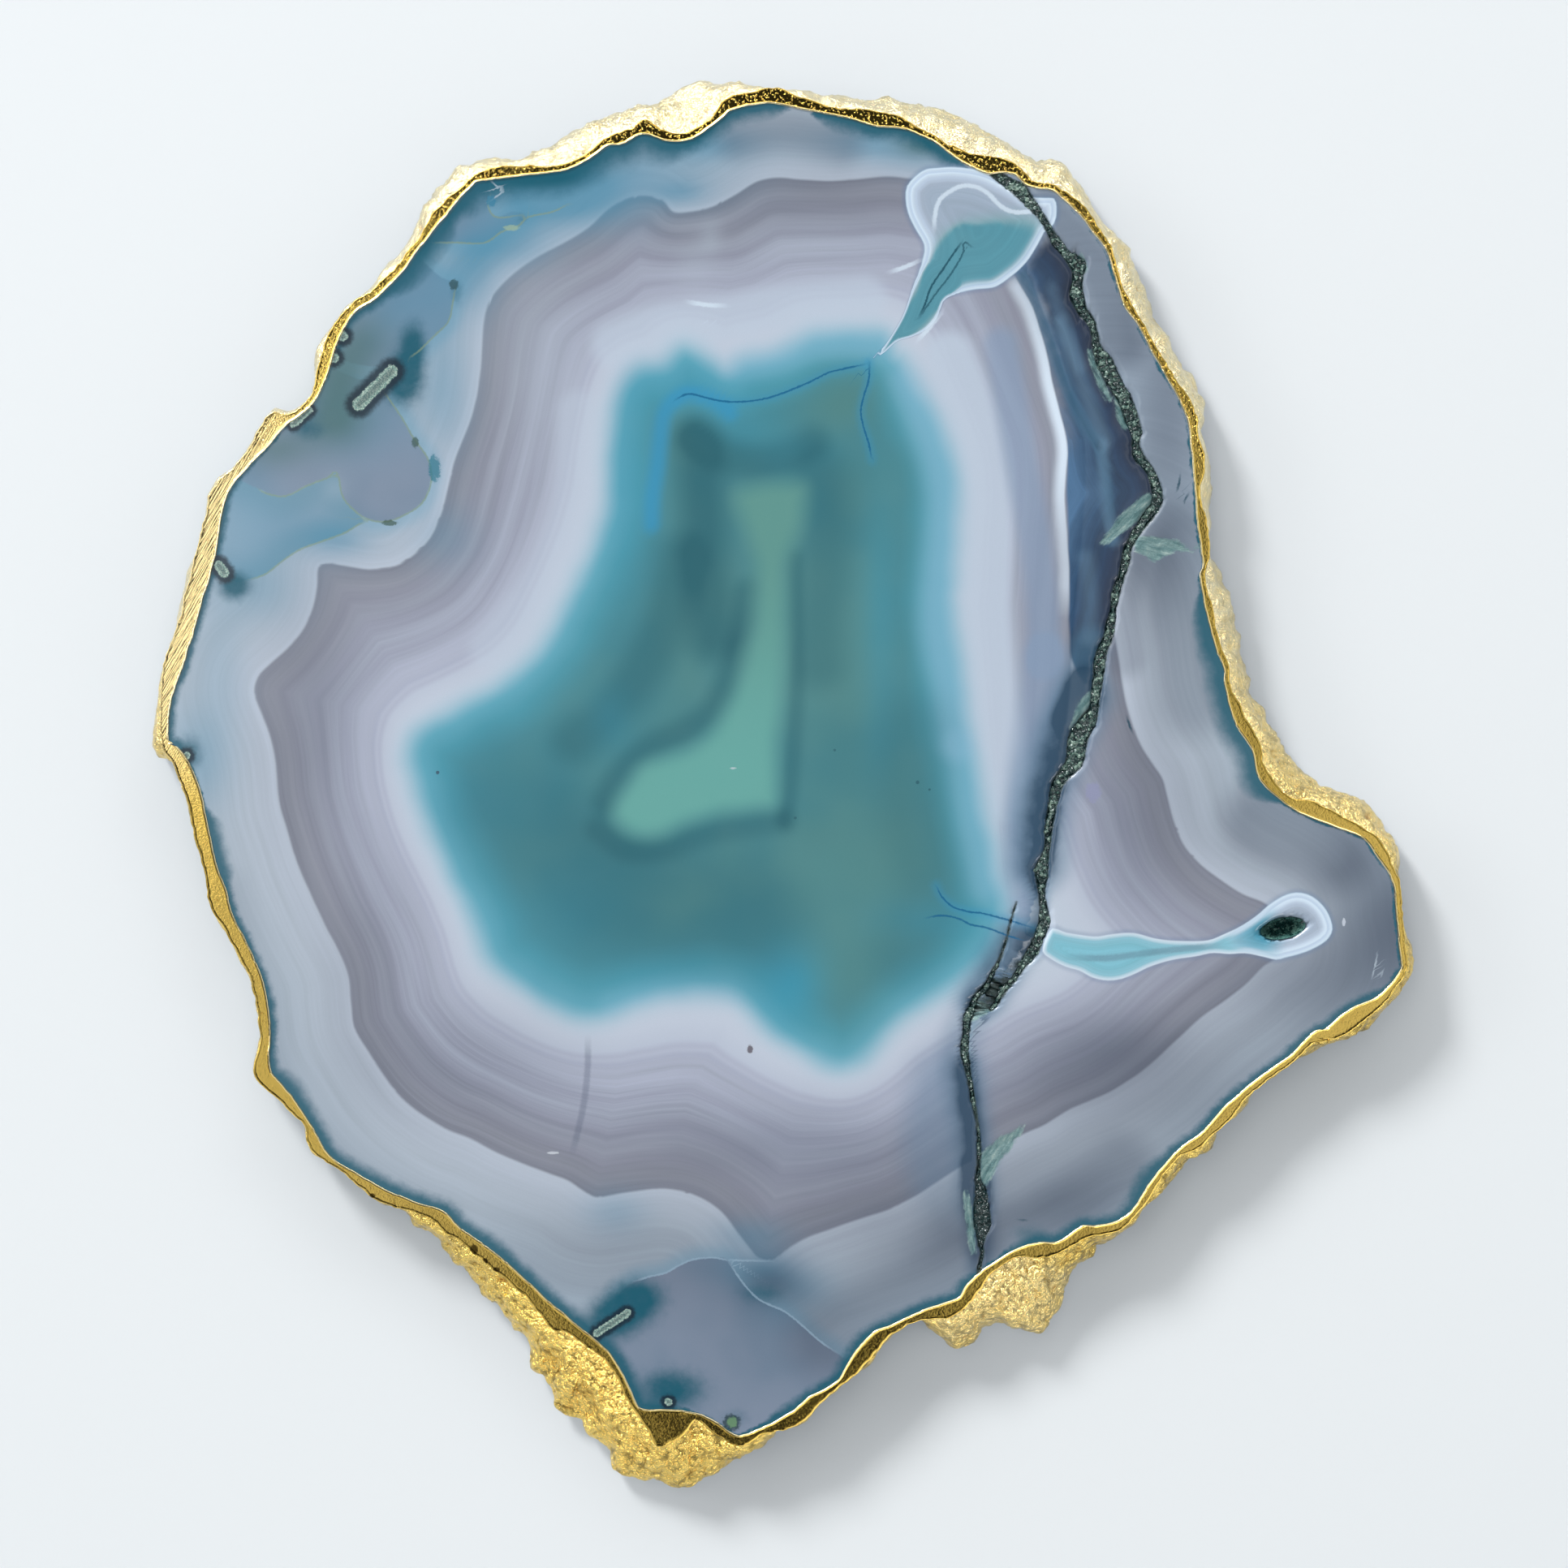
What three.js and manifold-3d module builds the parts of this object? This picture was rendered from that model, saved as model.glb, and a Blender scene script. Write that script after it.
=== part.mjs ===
// Polished agate slice with a gilded rough rim, lying flat.
// Millimetres, +Z up. The origin is under the middle of the slice, on the surface that it lies on,
// +Y runs along the slice's longest extent and +X towards its pointed side.
import * as THREE from 'three';
import { mergeVertices } from 'three/addons/utils/BufferGeometryUtils.js';
import Module from 'manifold-3d';

// Driving dimensions
const sliceThickness = 9.0;
const goldLip = 0.3;
const goldWall = 0.6;
const lipGap = 0.2;
const wallGap = 0.3;
const backMargin = 3.0;
const narrowestMargin = 1.1;
const stationCount = 196;
const fanCentre = [-10, -30];

// The rough side is widest at this share of the thickness and is drawn in below and above it
const widestLevel = 0.35;
const shoulderLevel = 0.68;
const brinkLevel = 0.88;
const footLevel = 0.15;

// Seam and vug
const seamDepth = 0.75;
const seamDepthChange = 0.3;
const vugCentre = [88.5, -25.6];
const vugHalf = [4.0, 1.85, 3.2];
const vugTurn = THREE.MathUtils.degToRad(11);
const crustGap = 0.3;
const crustWall = 0.45;
const crystalRows = [4, 9, 12];

const stoneTop = sliceThickness - goldLip - lipGap;
const stoneBottom = goldLip + lipGap;

// Edge of the polished face, clockwise from the left notch
const faceEdge = [
  [-109.1, 10.0], [-108.3, 15.8], [-106.5, 20.7], [-105.0, 25.6], [-103.0, 32.6], [-101.4, 37.8],
  [-100.0, 44.9], [-99.1, 49.9], [-97.3, 53.6], [-92.0, 59.3], [-88.6, 63.2], [-84.1, 66.7],
  [-81.9, 70.1], [-80.3, 74.1], [-79.4, 77.3], [-76.7, 82.9], [-72.4, 86.0], [-67.7, 90.7],
  [-64.8, 94.7], [-59.9, 100.8], [-55.4, 106.0], [-53.6, 106.9], [-45.6, 107.9], [-39.6, 108.6],
  [-35.1, 110.5], [-31.3, 113.0], [-28.6, 113.5], [-25.1, 115.3], [-21.4, 114.1], [-18.3, 113.9],
  [-15.8, 114.6], [-11.1, 118.0], [-9.3, 119.4], [-3.0, 120.6], [3.6, 119.4], [11.2, 118.0],
  [15.7, 116.6], [21.1, 116.0], [26.5, 113.8], [31.4, 110.2], [35.9, 108.3], [40.6, 108.0],
  [43.1, 105.9], [47.6, 105.2], [49.8, 103.2], [52.5, 100.8], [54.7, 97.8], [57.2, 94.3],
  [58.5, 90.0], [60.1, 85.1], [62.8, 81.0], [65.5, 76.0], [68.8, 70.2], [71.3, 64.9],
  [72.1, 59.5], [72.7, 52.8], [73.3, 45.1], [74.2, 39.0], [73.6, 36.7], [74.7, 31.0],
  [76.4, 24.0], [77.9, 20.3], [78.0, 17.6], [80.1, 10.2], [82.8, 6.1], [83.9, 1.4],
  [86.4, -1.7], [91.3, -5.1], [96.7, -7.3], [102.8, -9.8], [105.2, -13.2], [107.7, -17.0],
  [108.4, -23.0], [109.2, -31.2], [109.2, -33.0], [105.3, -37.5], [100.6, -39.7], [95.7, -43.4],
  [94.1, -43.7], [89.9, -47.8], [83.1, -52.7], [77.3, -57.9], [74.2, -61.5], [69.7, -64.9],
  [65.0, -70.2], [60.5, -76.6], [55.3, -78.2], [52.7, -78.2], [48.5, -81.1], [45.3, -81.1],
  [40.7, -82.6], [36.7, -85.1], [32.4, -88.5], [30.6, -91.1], [25.0, -93.0], [19.2, -95.7],
  [15.1, -97.7], [11.5, -102.2], [9.3, -105.9], [4.4, -108.7], [0.8, -111.6], [-7.9, -115.4],
  [-11.7, -113.2], [-16.6, -111.2], [-23.8, -110.8], [-25.8, -110.2], [-27.6, -106.4],
  [-30.5, -101.3], [-35.0, -97.2], [-40.8, -92.3], [-46.6, -87.0], [-52.5, -82.0],
  [-57.3, -78.7], [-60.3, -75.7], [-64.3, -74.4], [-70.0, -72.1], [-75.1, -69.3],
  [-80.5, -65.7], [-83.6, -60.5], [-88.5, -53.6], [-91.0, -50.4], [-91.0, -43.0],
  [-91.9, -36.3], [-94.1, -30.3], [-97.6, -23.3], [-98.9, -18.8], [-100.7, -13.8],
  [-102.1, -7.1], [-103.6, -0.8], [-105.6, 4.1], [-107.7, 6.9], [-108.9, 7.2],
];

// Outer edge of the flat gold margin on the top face, the same way round
const marginEdge = [
  [-109.9, 6.2], [-110.7, 11.3], [-110.5, 17.6], [-109.3, 23.4], [-106.5, 31.9], [-104.6, 40.0],
  [-102.5, 48.0], [-101.9, 51.5], [-100.0, 54.3], [-95.0, 59.0], [-91.3, 65.6], [-88.6, 65.6],
  [-85.9, 66.7], [-83.7, 69.8], [-82.1, 75.9], [-80.3, 80.4], [-76.3, 85.6], [-72.9, 87.6],
  [-68.4, 92.1], [-65.0, 96.5], [-61.7, 101.9], [-57.3, 105.7], [-54.2, 108.6], [-49.2, 109.8],
  [-44.3, 109.7], [-38.9, 109.3], [-34.4, 112.4], [-30.8, 114.9], [-27.3, 116.0], [-24.8, 117.9],
  [-21.4, 116.0], [-17.4, 115.6], [-13.3, 117.8], [-10.2, 121.4], [-5.7, 122.5], [-1.7, 123.2],
  [2.8, 121.9], [7.7, 120.2], [12.1, 119.8], [19.3, 118.7], [24.2, 116.2], [29.2, 113.5],
  [33.6, 111.5], [39.5, 110.6], [43.1, 107.9], [44.9, 106.1], [49.8, 105.0], [53.4, 102.1],
  [56.1, 98.1], [58.8, 93.1], [60.4, 87.3], [63.1, 82.5], [66.2, 77.5], [69.2, 72.5],
  [72.5, 67.6], [73.4, 62.6], [74.8, 56.4], [73.7, 51.9], [75.2, 45.1], [75.5, 40.7],
  [74.5, 36.3], [76.0, 30.8], [77.2, 25.2], [78.8, 18.5], [81.5, 12.6], [84.4, 7.7],
  [85.1, 3.2], [89.1, -2.2], [93.6, -3.1], [99.0, -5.8], [105.2, -9.3], [107.9, -13.8],
  [109.5, -20.6], [110.3, -28.5], [110.6, -31.5], [109.2, -35.3], [105.1, -40.2], [99.7, -44.2],
  [96.6, -45.6], [94.8, -45.1], [89.4, -50.0], [83.0, -54.5], [79.1, -59.3], [73.7, -64.4],
  [68.3, -67.1], [65.9, -71.6], [63.2, -75.6], [60.2, -79.0], [53.7, -80.4], [49.2, -82.9],
  [46.5, -84.0], [40.7, -84.0], [36.2, -87.6], [33.1, -91.6], [29.9, -94.8], [24.3, -95.2],
  [18.7, -97.8], [16.6, -100.4], [12.7, -104.8], [7.0, -109.1], [3.2, -113.2], [-3.3, -115.2],
  [-8.1, -117.2], [-12.1, -115.4], [-15.5, -112.9], [-17.7, -115.4], [-22.4, -117.4],
  [-24.2, -114.5], [-27.4, -109.8], [-31.4, -102.6], [-38.6, -97.5], [-41.3, -96.6],
  [-45.3, -91.4], [-50.7, -86.9], [-56.5, -82.0], [-61.0, -78.8], [-64.6, -75.9],
  [-69.5, -74.9], [-73.1, -73.2], [-77.0, -69.8], [-81.6, -66.6], [-84.5, -64.2],
  [-85.3, -60.4], [-89.2, -56.5], [-92.8, -53.2], [-93.9, -50.6], [-93.0, -43.9],
  [-93.9, -37.2], [-95.3, -33.3], [-98.7, -26.7], [-101.9, -21.5], [-102.5, -16.0],
  [-104.5, -9.8], [-105.9, -2.6], [-107.9, 2.3], [-108.6, 4.3],
];

// Outermost line of the rough side, the same way round
const roughEdge = [
  [-110.8, 5.0], [-112.0, 9.0], [-111.3, 15.3], [-110.4, 21.2], [-108.4, 27.0], [-107.0, 33.7],
  [-105.1, 40.0], [-102.9, 47.2], [-102.5, 50.8], [-98.0, 56.4], [-93.5, 62.9], [-90.4, 66.9],
  [-88.6, 66.3], [-84.1, 69.0], [-83.4, 75.0], [-83.0, 78.1], [-79.2, 82.6], [-75.6, 86.7],
  [-71.3, 91.6], [-68.0, 94.7], [-65.0, 101.0], [-60.2, 107.2], [-58.7, 109.3], [-54.2, 110.9],
  [-47.0, 111.2], [-42.1, 113.3], [-38.0, 115.6], [-33.5, 118.0], [-28.6, 120.1], [-22.3, 121.6],
  [-17.8, 123.6], [-15.1, 124.8], [-9.8, 124.9], [-4.4, 124.1], [1.8, 123.6], [6.7, 122.7],
  [12.1, 121.9], [17.9, 121.8], [23.3, 120.7], [29.6, 119.6], [35.4, 116.7], [40.4, 113.8],
  [44.9, 110.6], [49.8, 110.0], [52.9, 105.7], [55.6, 101.2], [59.7, 96.7], [62.1, 92.2],
  [64.4, 86.6], [67.9, 79.5], [71.4, 73.8], [73.9, 69.8], [74.8, 64.9], [74.3, 63.1],
  [75.4, 58.1], [75.9, 52.3], [75.9, 46.0], [75.4, 42.9], [77.4, 37.2], [79.0, 33.3],
  [80.1, 27.9], [82.1, 20.7], [83.7, 14.9], [86.0, 10.4], [89.1, 5.0], [93.1, 1.0],
  [98.1, -1.3], [103.0, -3.1], [106.1, -6.2], [108.8, -10.2], [109.5, -16.1], [109.8, -22.5],
  [110.9, -27.5], [111.8, -31.7], [111.6, -33.5], [108.3, -38.4], [104.7, -42.4], [100.2, -45.3],
  [95.9, -46.5], [91.7, -48.9], [87.2, -52.1], [83.1, -55.4], [80.0, -59.5], [77.3, -61.3],
  [76.0, -65.1], [71.5, -67.3], [67.9, -71.6], [63.8, -75.6], [60.5, -79.3], [55.5, -82.0],
  [52.7, -84.8], [50.1, -89.0], [48.3, -93.4], [46.1, -96.6], [44.7, -97.7], [41.1, -97.0],
  [37.6, -96.1], [34.0, -98.6], [30.8, -100.5], [28.6, -99.0], [25.4, -96.1], [22.3, -96.1],
  [18.7, -98.8], [16.0, -102.4], [11.1, -106.7], [7.3, -109.4], [3.5, -113.5], [-1.5, -114.8],
  [-3.5, -117.4], [-7.9, -119.7], [-11.7, -122.8], [-18.4, -124.9], [-22.9, -123.5],
  [-28.9, -122.6], [-31.0, -118.3], [-35.9, -113.2], [-41.1, -109.8], [-42.6, -105.3],
  [-44.9, -101.7], [-48.7, -95.4], [-53.4, -91.1], [-56.8, -86.4], [-61.7, -80.6],
  [-65.8, -78.6], [-68.8, -75.2], [-73.3, -73.5], [-77.3, -69.9], [-81.8, -66.8],
  [-84.7, -64.3], [-85.6, -60.5], [-89.4, -56.7], [-93.0, -53.3], [-94.1, -49.7],
  [-93.2, -43.9], [-94.1, -37.2], [-95.5, -33.4], [-98.9, -26.8], [-102.1, -21.5],
  [-102.7, -15.2], [-104.7, -9.8], [-106.1, -2.6], [-108.1, 2.3], [-109.0, 4.3],
];

// Middle line of the seam of rough crystals, from the upper rim to the lower one: x, y, half width
const mainSeam = [
  [37.6, 107.6, 0.8], [40.0, 106.3, 0.9], [42.0, 105.2, 1.2], [43.3, 103.5, 1.0],
  [45.0, 101.5, 0.7], [46.2, 99.8, 0.6], [48.3, 96.2, 0.8], [51.0, 93.2, 1.0],
  [52.2, 91.8, 1.3], [51.9, 87.0, 1.2], [52.8, 84.2, 0.9], [54.5, 82.0, 0.7],
  [55.2, 79.5, 0.6], [56.6, 75.0, 1.4], [58.0, 72.5, 1.4], [60.6, 67.8, 1.2],
  [61.6, 65.0, 1.2], [62.6, 61.0, 0.8], [64.6, 56.0, 0.7], [66.2, 51.8, 0.9],
  [66.3, 50.0, 0.8], [65.0, 48.0, 1.0], [62.0, 43.8, 0.8], [60.6, 39.5, 0.8],
  [59.2, 35.0, 0.7], [58.4, 30.8, 0.6], [57.5, 26.0, 0.8], [56.0, 21.5, 1.0],
  [55.3, 16.0, 0.8], [54.1, 11.5, 1.4], [52.9, 9.5, 1.6], [51.8, 5.0, 1.6],
  [49.8, 1.8, 1.1], [48.0, -2.0, 0.9], [47.0, -7.5, 0.7], [46.8, -10.5, 0.6],
  [45.7, -15.0, 1.2], [45.7, -19.5, 0.6], [46.2, -24.5, 1.0], [44.2, -29.5, 1.0],
  [40.8, -34.5, 0.6], [37.4, -38.6, 0.6],
];
const lowerSeam = [
  [39.0, -29.0, 0.5], [36.8, -34.0, 0.6], [34.2, -37.5, 0.6], [32.6, -41.5, 0.7],
  [32.0, -47.0, 0.7], [32.7, -51.5, 0.5], [33.6, -56.5, 0.5], [34.5, -62.0, 0.4],
  [34.5, -68.0, 0.5], [34.8, -71.5, 0.9], [35.1, -75.0, 1.4], [35.1, -78.0, 1.3],
  [34.9, -81.5, 0.7], [34.9, -84.5, 0.4],
];

const goldMaterial = new THREE.MeshStandardMaterial({ color: 0xc9a227, roughness: 0.28, metalness: 1.0 });
const stoneMaterial = new THREE.MeshStandardMaterial({ color: 0x7f97a8, roughness: 0.12, metalness: 0.0 });
const crystalMaterial = new THREE.MeshStandardMaterial({ color: 0x24443f, roughness: 0.3, metalness: 0.0 });

// A smooth closed line through an outline's points
function smoothOutline(points) {
  const corners = points.map(([x, y]) => new THREE.Vector3(x, y, 0));
  return new THREE.CatmullRomCurve3(corners, true, 'centripetal');
}

// Distance from the fan centre to where a ray crosses a closed line
function reach(line, angle) {
  const dx = Math.cos(angle);
  const dy = Math.sin(angle);
  let furthest = 0;
  line.forEach((start, i) => {
    const end = line[(i + 1) % line.length];
    const sideStart = dx * (start.y - fanCentre[1]) - dy * (start.x - fanCentre[0]);
    const sideEnd = dx * (end.y - fanCentre[1]) - dy * (end.x - fanCentre[0]);
    if (sideStart * sideEnd > 0 || sideStart === sideEnd) return;
    const share = sideStart / (sideStart - sideEnd);
    const x = start.x + share * (end.x - start.x) - fanCentre[0];
    const y = start.y + share * (end.y - start.y) - fanCentre[1];
    furthest = Math.max(furthest, dx * x + dy * y);
  });
  return furthest;
}

// Smooth repeatable unevenness between -1 and 1, from waves that cross at odd angles
function unevenness(x, y, seed) {
  const long = Math.sin(0.31 * x + 0.47 * y + seed);
  const middle = Math.sin(0.83 * x - 0.59 * y + 2.1 * seed);
  const short = Math.sin(1.71 * x + 1.13 * y + 3.7 * seed);
  return 0.5 * long + 0.3 * middle + 0.2 * short;
}

// The rim's cut at one angle: how far out its lines lie, from the polished face to the foot
function rimStation(angle, face, margin, rough) {
  const faceReach = reach(face, angle);
  const marginReach = Math.max(reach(margin, angle), faceReach + narrowestMargin);
  const roughReach = Math.max(reach(rough, angle), marginReach + 0.1);
  const width = roughReach - marginReach;
  const x = roughReach * Math.cos(angle);
  const y = roughReach * Math.sin(angle);
  const undercut = Math.max(0.8, 2.4 - 0.5 * width);
  return {
    angle,
    face: faceReach,
    margin: marginReach,
    brink: marginReach + width * (0.38 + 0.16 * unevenness(x, y, 1)),
    shoulder: marginReach + width * (0.72 + 0.2 * unevenness(x, y, 2)),
    rough: roughReach,
    foot: roughReach - undercut * (0.4 + 0.25 * unevenness(x, y, 3)),
    base: roughReach - undercut,
  };
}

// A point at one angle, distance and height
function around(angle, distance, z) {
  const x = fanCentre[0] + distance * Math.cos(angle);
  const y = fanCentre[1] + distance * Math.sin(angle);
  return [x, y, z];
}

// A geometry of shared points and triangles
function indexedGeometry(points, triangles) {
  const geometry = new THREE.BufferGeometry();
  geometry.setAttribute('position', new THREE.Float32BufferAttribute(points.flat(), 3));
  geometry.setIndex(triangles.flat());
  return geometry;
}

// Two triangles for each cell between neighbouring rings of points. Cells of two walls that lie face to
// face are split along the same diagonal, so that the gap between them stays even.
function bandTriangles(rings, ringLength, closedRings, closedSection, otherDiagonal = false) {
  const triangles = [];
  const ringCells = closedRings ? rings : rings - 1;
  const sectionCells = closedSection ? ringLength : ringLength - 1;
  for (let i = 0; i < ringCells; i++) {
    for (let k = 0; k < sectionCells; k++) {
      const near = i * ringLength;
      const far = ((i + 1) % rings) * ringLength;
      const next = (k + 1) % ringLength;
      if (otherDiagonal) {
        triangles.push([near + k, near + next, far + k]);
        triangles.push([near + next, far + next, far + k]);
      } else {
        triangles.push([near + k, near + next, far + next]);
        triangles.push([near + k, far + next, far + k]);
      }
    }
  }
  return triangles;
}

// The gilding: a thin channel wrapped round the rough side, with a lip on the front and the back
function goldGeometry(stations) {
  const points = [];
  stations.forEach((s) => {
    const lipUnderside = sliceThickness - goldLip;
    const section = [
      [s.face, sliceThickness],
      [s.margin, sliceThickness],
      [s.brink, brinkLevel * sliceThickness],
      [s.shoulder, shoulderLevel * sliceThickness],
      [s.rough, widestLevel * sliceThickness],
      [s.foot, footLevel * sliceThickness],
      [s.base, 0],
      [s.base - backMargin, 0],
      [s.base - backMargin, goldLip],
      [s.base - goldWall, goldLip],
      [s.rough - goldWall - 0.1, widestLevel * sliceThickness],
      [s.shoulder - goldWall - 0.1, shoulderLevel * sliceThickness],
      [s.margin - goldWall, lipUnderside],
      [s.face, lipUnderside],
    ];
    section.forEach(([distance, z]) => points.push(around(s.angle, distance, z)));
  });
  const sectionLength = points.length / stations.length;
  return indexedGeometry(points, bandTriangles(stations.length, sectionLength, true, true));
}

// The plate inside the gilding, with flat faces, before the seam and the vug are cut
function plateGeometry(stations) {
  const inset = goldWall + wallGap;
  const points = [];
  stations.forEach((s) => {
    points.push(around(s.angle, s.margin - inset, stoneTop));
    points.push(around(s.angle, s.shoulder - inset - 0.1, shoulderLevel * sliceThickness));
    points.push(around(s.angle, s.rough - inset - 0.1, widestLevel * sliceThickness));
    points.push(around(s.angle, s.base - inset, stoneBottom));
  });
  const sectionLength = points.length / stations.length;
  const triangles = bandTriangles(stations.length, sectionLength, true, false, true);
  const topMiddle = points.push([...fanCentre, stoneTop]) - 1;
  const bottomMiddle = points.push([...fanCentre, stoneBottom]) - 1;
  stations.forEach((s, i) => {
    const here = i * sectionLength;
    const next = ((i + 1) % stations.length) * sectionLength;
    triangles.push([topMiddle, here, next]);
    triangles.push([bottomMiddle, next + sectionLength - 1, here + sectionLength - 1]);
  });
  return indexedGeometry(points, triangles);
}

// The trough that a seam leaves in one face: narrower and uneven at its bottom
function seamCutter(seam, faceZ, outward) {
  const points = [];
  seam.forEach(([x, y, half], i) => {
    const before = seam[Math.max(i - 1, 0)];
    const after = seam[Math.min(i + 1, seam.length - 1)];
    const along = new THREE.Vector2(after[0] - before[0], after[1] - before[1]).normalize();
    const side = new THREE.Vector2(-along.y, along.x).multiplyScalar(outward);
    const depth = seamDepth + seamDepthChange * unevenness(3 * x, 3 * y, 4);
    const section = [[half, 1], [-half, 1], [-0.55 * half, -depth], [0.4 * half, -1.15 * depth]];
    section.forEach(([across, height]) => {
      points.push([x + across * side.x, y + across * side.y, faceZ + outward * height]);
    });
  });
  const last = points.length - 4;
  const triangles = bandTriangles(seam.length, 4, false, true);
  triangles.push([0, 2, 1], [0, 3, 2]);
  triangles.push([last, last + 1, last + 2], [last, last + 2, last + 3]);
  return indexedGeometry(points, triangles);
}

// An ellipsoid in the vug's place, smaller than the vug by an allowance all round
function vugEllipsoid(allowance) {
  const geometry = new THREE.SphereGeometry(1, 18, 10);
  geometry.scale(vugHalf[0] - allowance, vugHalf[1] - allowance, vugHalf[2] - allowance);
  geometry.rotateZ(vugTurn);
  geometry.translate(vugCentre[0], vugCentre[1], stoneTop);
  return geometry;
}

// Flat-faced crystal points that grow inwards from the vug's crust, row below row
function vugCrystals() {
  const crystals = [];
  const inset = crustGap + 0.6 * crustWall;
  crystalRows.forEach((count, row) => {
    const steepness = (0.22 + 0.24 * row) * Math.PI / 2;
    for (let i = 0; i < count; i++) {
      const turn = (2 * Math.PI * (i + 0.5 * row)) / count;
      const height = 0.55 + 0.16 * Math.sin(5.1 * i + 2.3 * row);
      const crystal = new THREE.ConeGeometry(0.3, height, 6);
      crystal.translate(0, 0.5 * height - 0.1, 0);
      const unit = new THREE.Vector3(
        Math.cos(turn) * Math.cos(Math.PI / 2 - steepness),
        Math.sin(turn) * Math.cos(Math.PI / 2 - steepness),
        -Math.sin(Math.PI / 2 - steepness),
      );
      const foot = new THREE.Vector3(
        unit.x * (vugHalf[0] - inset),
        unit.y * (vugHalf[1] - inset),
        unit.z * (vugHalf[2] - inset),
      );
      const inwards = foot.clone().multiplyScalar(-1).setZ(0.6).normalize();
      const lean = new THREE.Quaternion().setFromUnitVectors(new THREE.Vector3(0, 1, 0), inwards);
      crystal.applyQuaternion(lean);
      crystal.translate(foot.x, foot.y, foot.z);
      crystal.rotateZ(vugTurn);
      crystal.translate(vugCentre[0], vugCentre[1], stoneTop);
      crystals.push(crystal);
    }
  });
  return crystals;
}

// Boolean work: geometries become solids, and the finished solid a geometry again
const wasm = await Module();
wasm.setup();

function toSolid(geometry) {
  const bare = geometry.clone();
  bare.deleteAttribute('normal');
  bare.deleteAttribute('uv');
  const merged = mergeVertices(bare, 1e-4);
  const vertProperties = new Float32Array(merged.attributes.position.array);
  const triVerts = new Uint32Array(merged.index.array);
  return new wasm.Manifold(new wasm.Mesh({ numProp: 3, vertProperties, triVerts }));
}

function toGeometry(solid) {
  const mesh = solid.getMesh();
  const geometry = new THREE.BufferGeometry();
  geometry.setAttribute('position', new THREE.Float32BufferAttribute(mesh.vertProperties, 3));
  geometry.setIndex(new THREE.BufferAttribute(mesh.triVerts, 1));
  return geometry;
}

// The stone with its seam in both faces and the vug's hollow in the front one
function stoneGeometry(stations) {
  let stone = toSolid(plateGeometry(stations));
  [mainSeam, lowerSeam].forEach((seam) => {
    stone = stone.subtract(toSolid(seamCutter(seam, stoneTop, 1)));
    stone = stone.subtract(toSolid(seamCutter(seam, stoneBottom, -1)));
  });
  return toGeometry(stone.subtract(toSolid(vugEllipsoid(0))));
}

// The crust of small crystals that lines the vug, open at the front face
function crustGeometry() {
  let crust = toSolid(vugEllipsoid(crustGap)).subtract(toSolid(vugEllipsoid(crustGap + crustWall)));
  const crystals = vugCrystals();
  crystals.forEach((crystal) => {
    crust = crust.add(toSolid(crystal));
  });
  const above = new THREE.BoxGeometry(20, 20, 10).translate(vugCentre[0], vugCentre[1], stoneTop + 4.9);
  return toGeometry(crust.subtract(toSolid(above)));
}

// Every station is at an angle where the face edge has gone on by the same length
function rimStations() {
  const face = smoothOutline(faceEdge);
  const faceLine = face.getPoints(900);
  const marginLine = smoothOutline(marginEdge).getPoints(900);
  const roughLine = smoothOutline(roughEdge).getPoints(900);
  const angles = face.getSpacedPoints(stationCount).slice(0, stationCount).map((point) => {
    return Math.atan2(point.y - fanCentre[1], point.x - fanCentre[0]);
  });
  angles.sort((one, other) => one - other);
  return angles.map((angle) => rimStation(angle, faceLine, marginLine, roughLine));
}

const stations = rimStations();
const slice = new THREE.Group();

const stone = new THREE.Mesh(stoneGeometry(stations), stoneMaterial);
stone.name = 'stone';
slice.add(stone);

const goldEdge = new THREE.Mesh(goldGeometry(stations), goldMaterial);
goldEdge.name = 'gold_edge';
slice.add(goldEdge);

const vugCrust = new THREE.Mesh(crustGeometry(), crystalMaterial);
vugCrust.name = 'vug_crystals';
slice.add(vugCrust);

export default slice;
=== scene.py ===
# %% [markdown]
# # A dyed agate slice with a gilded rough rim
# An agate nodule grows inwards in thin bands. Sawn across, polished and soaked in dye, it shows a teal
# core, white and mauve bands round it, and a rough fissure. The rind is plated with gold.
# The solids are three: the stone, the gilding on its rim and the crust of crystals in its one open hollow.
# This script puts finer meshes with their finishes in place of those, and adds the crystals of the fissure.

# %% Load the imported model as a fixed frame
import math

import bpy
import numpy as np
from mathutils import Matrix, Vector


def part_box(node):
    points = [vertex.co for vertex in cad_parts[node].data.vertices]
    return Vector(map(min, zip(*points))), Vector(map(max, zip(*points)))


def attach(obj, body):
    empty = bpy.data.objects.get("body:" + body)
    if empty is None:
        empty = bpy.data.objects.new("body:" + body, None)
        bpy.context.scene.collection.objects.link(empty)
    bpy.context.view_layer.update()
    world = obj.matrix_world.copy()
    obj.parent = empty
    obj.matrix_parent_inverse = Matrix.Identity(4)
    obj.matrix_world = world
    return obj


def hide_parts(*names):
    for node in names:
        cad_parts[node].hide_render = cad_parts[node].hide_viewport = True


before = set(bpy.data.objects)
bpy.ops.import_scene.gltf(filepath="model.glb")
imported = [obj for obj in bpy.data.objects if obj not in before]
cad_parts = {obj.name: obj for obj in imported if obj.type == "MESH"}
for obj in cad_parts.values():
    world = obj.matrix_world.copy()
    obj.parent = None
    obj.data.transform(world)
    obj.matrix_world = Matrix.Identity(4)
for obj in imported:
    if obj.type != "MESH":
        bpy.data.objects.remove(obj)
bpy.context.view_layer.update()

MM = 0.001
_, gold_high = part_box("gold_edge")
slice_top = gold_high.z / MM

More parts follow.
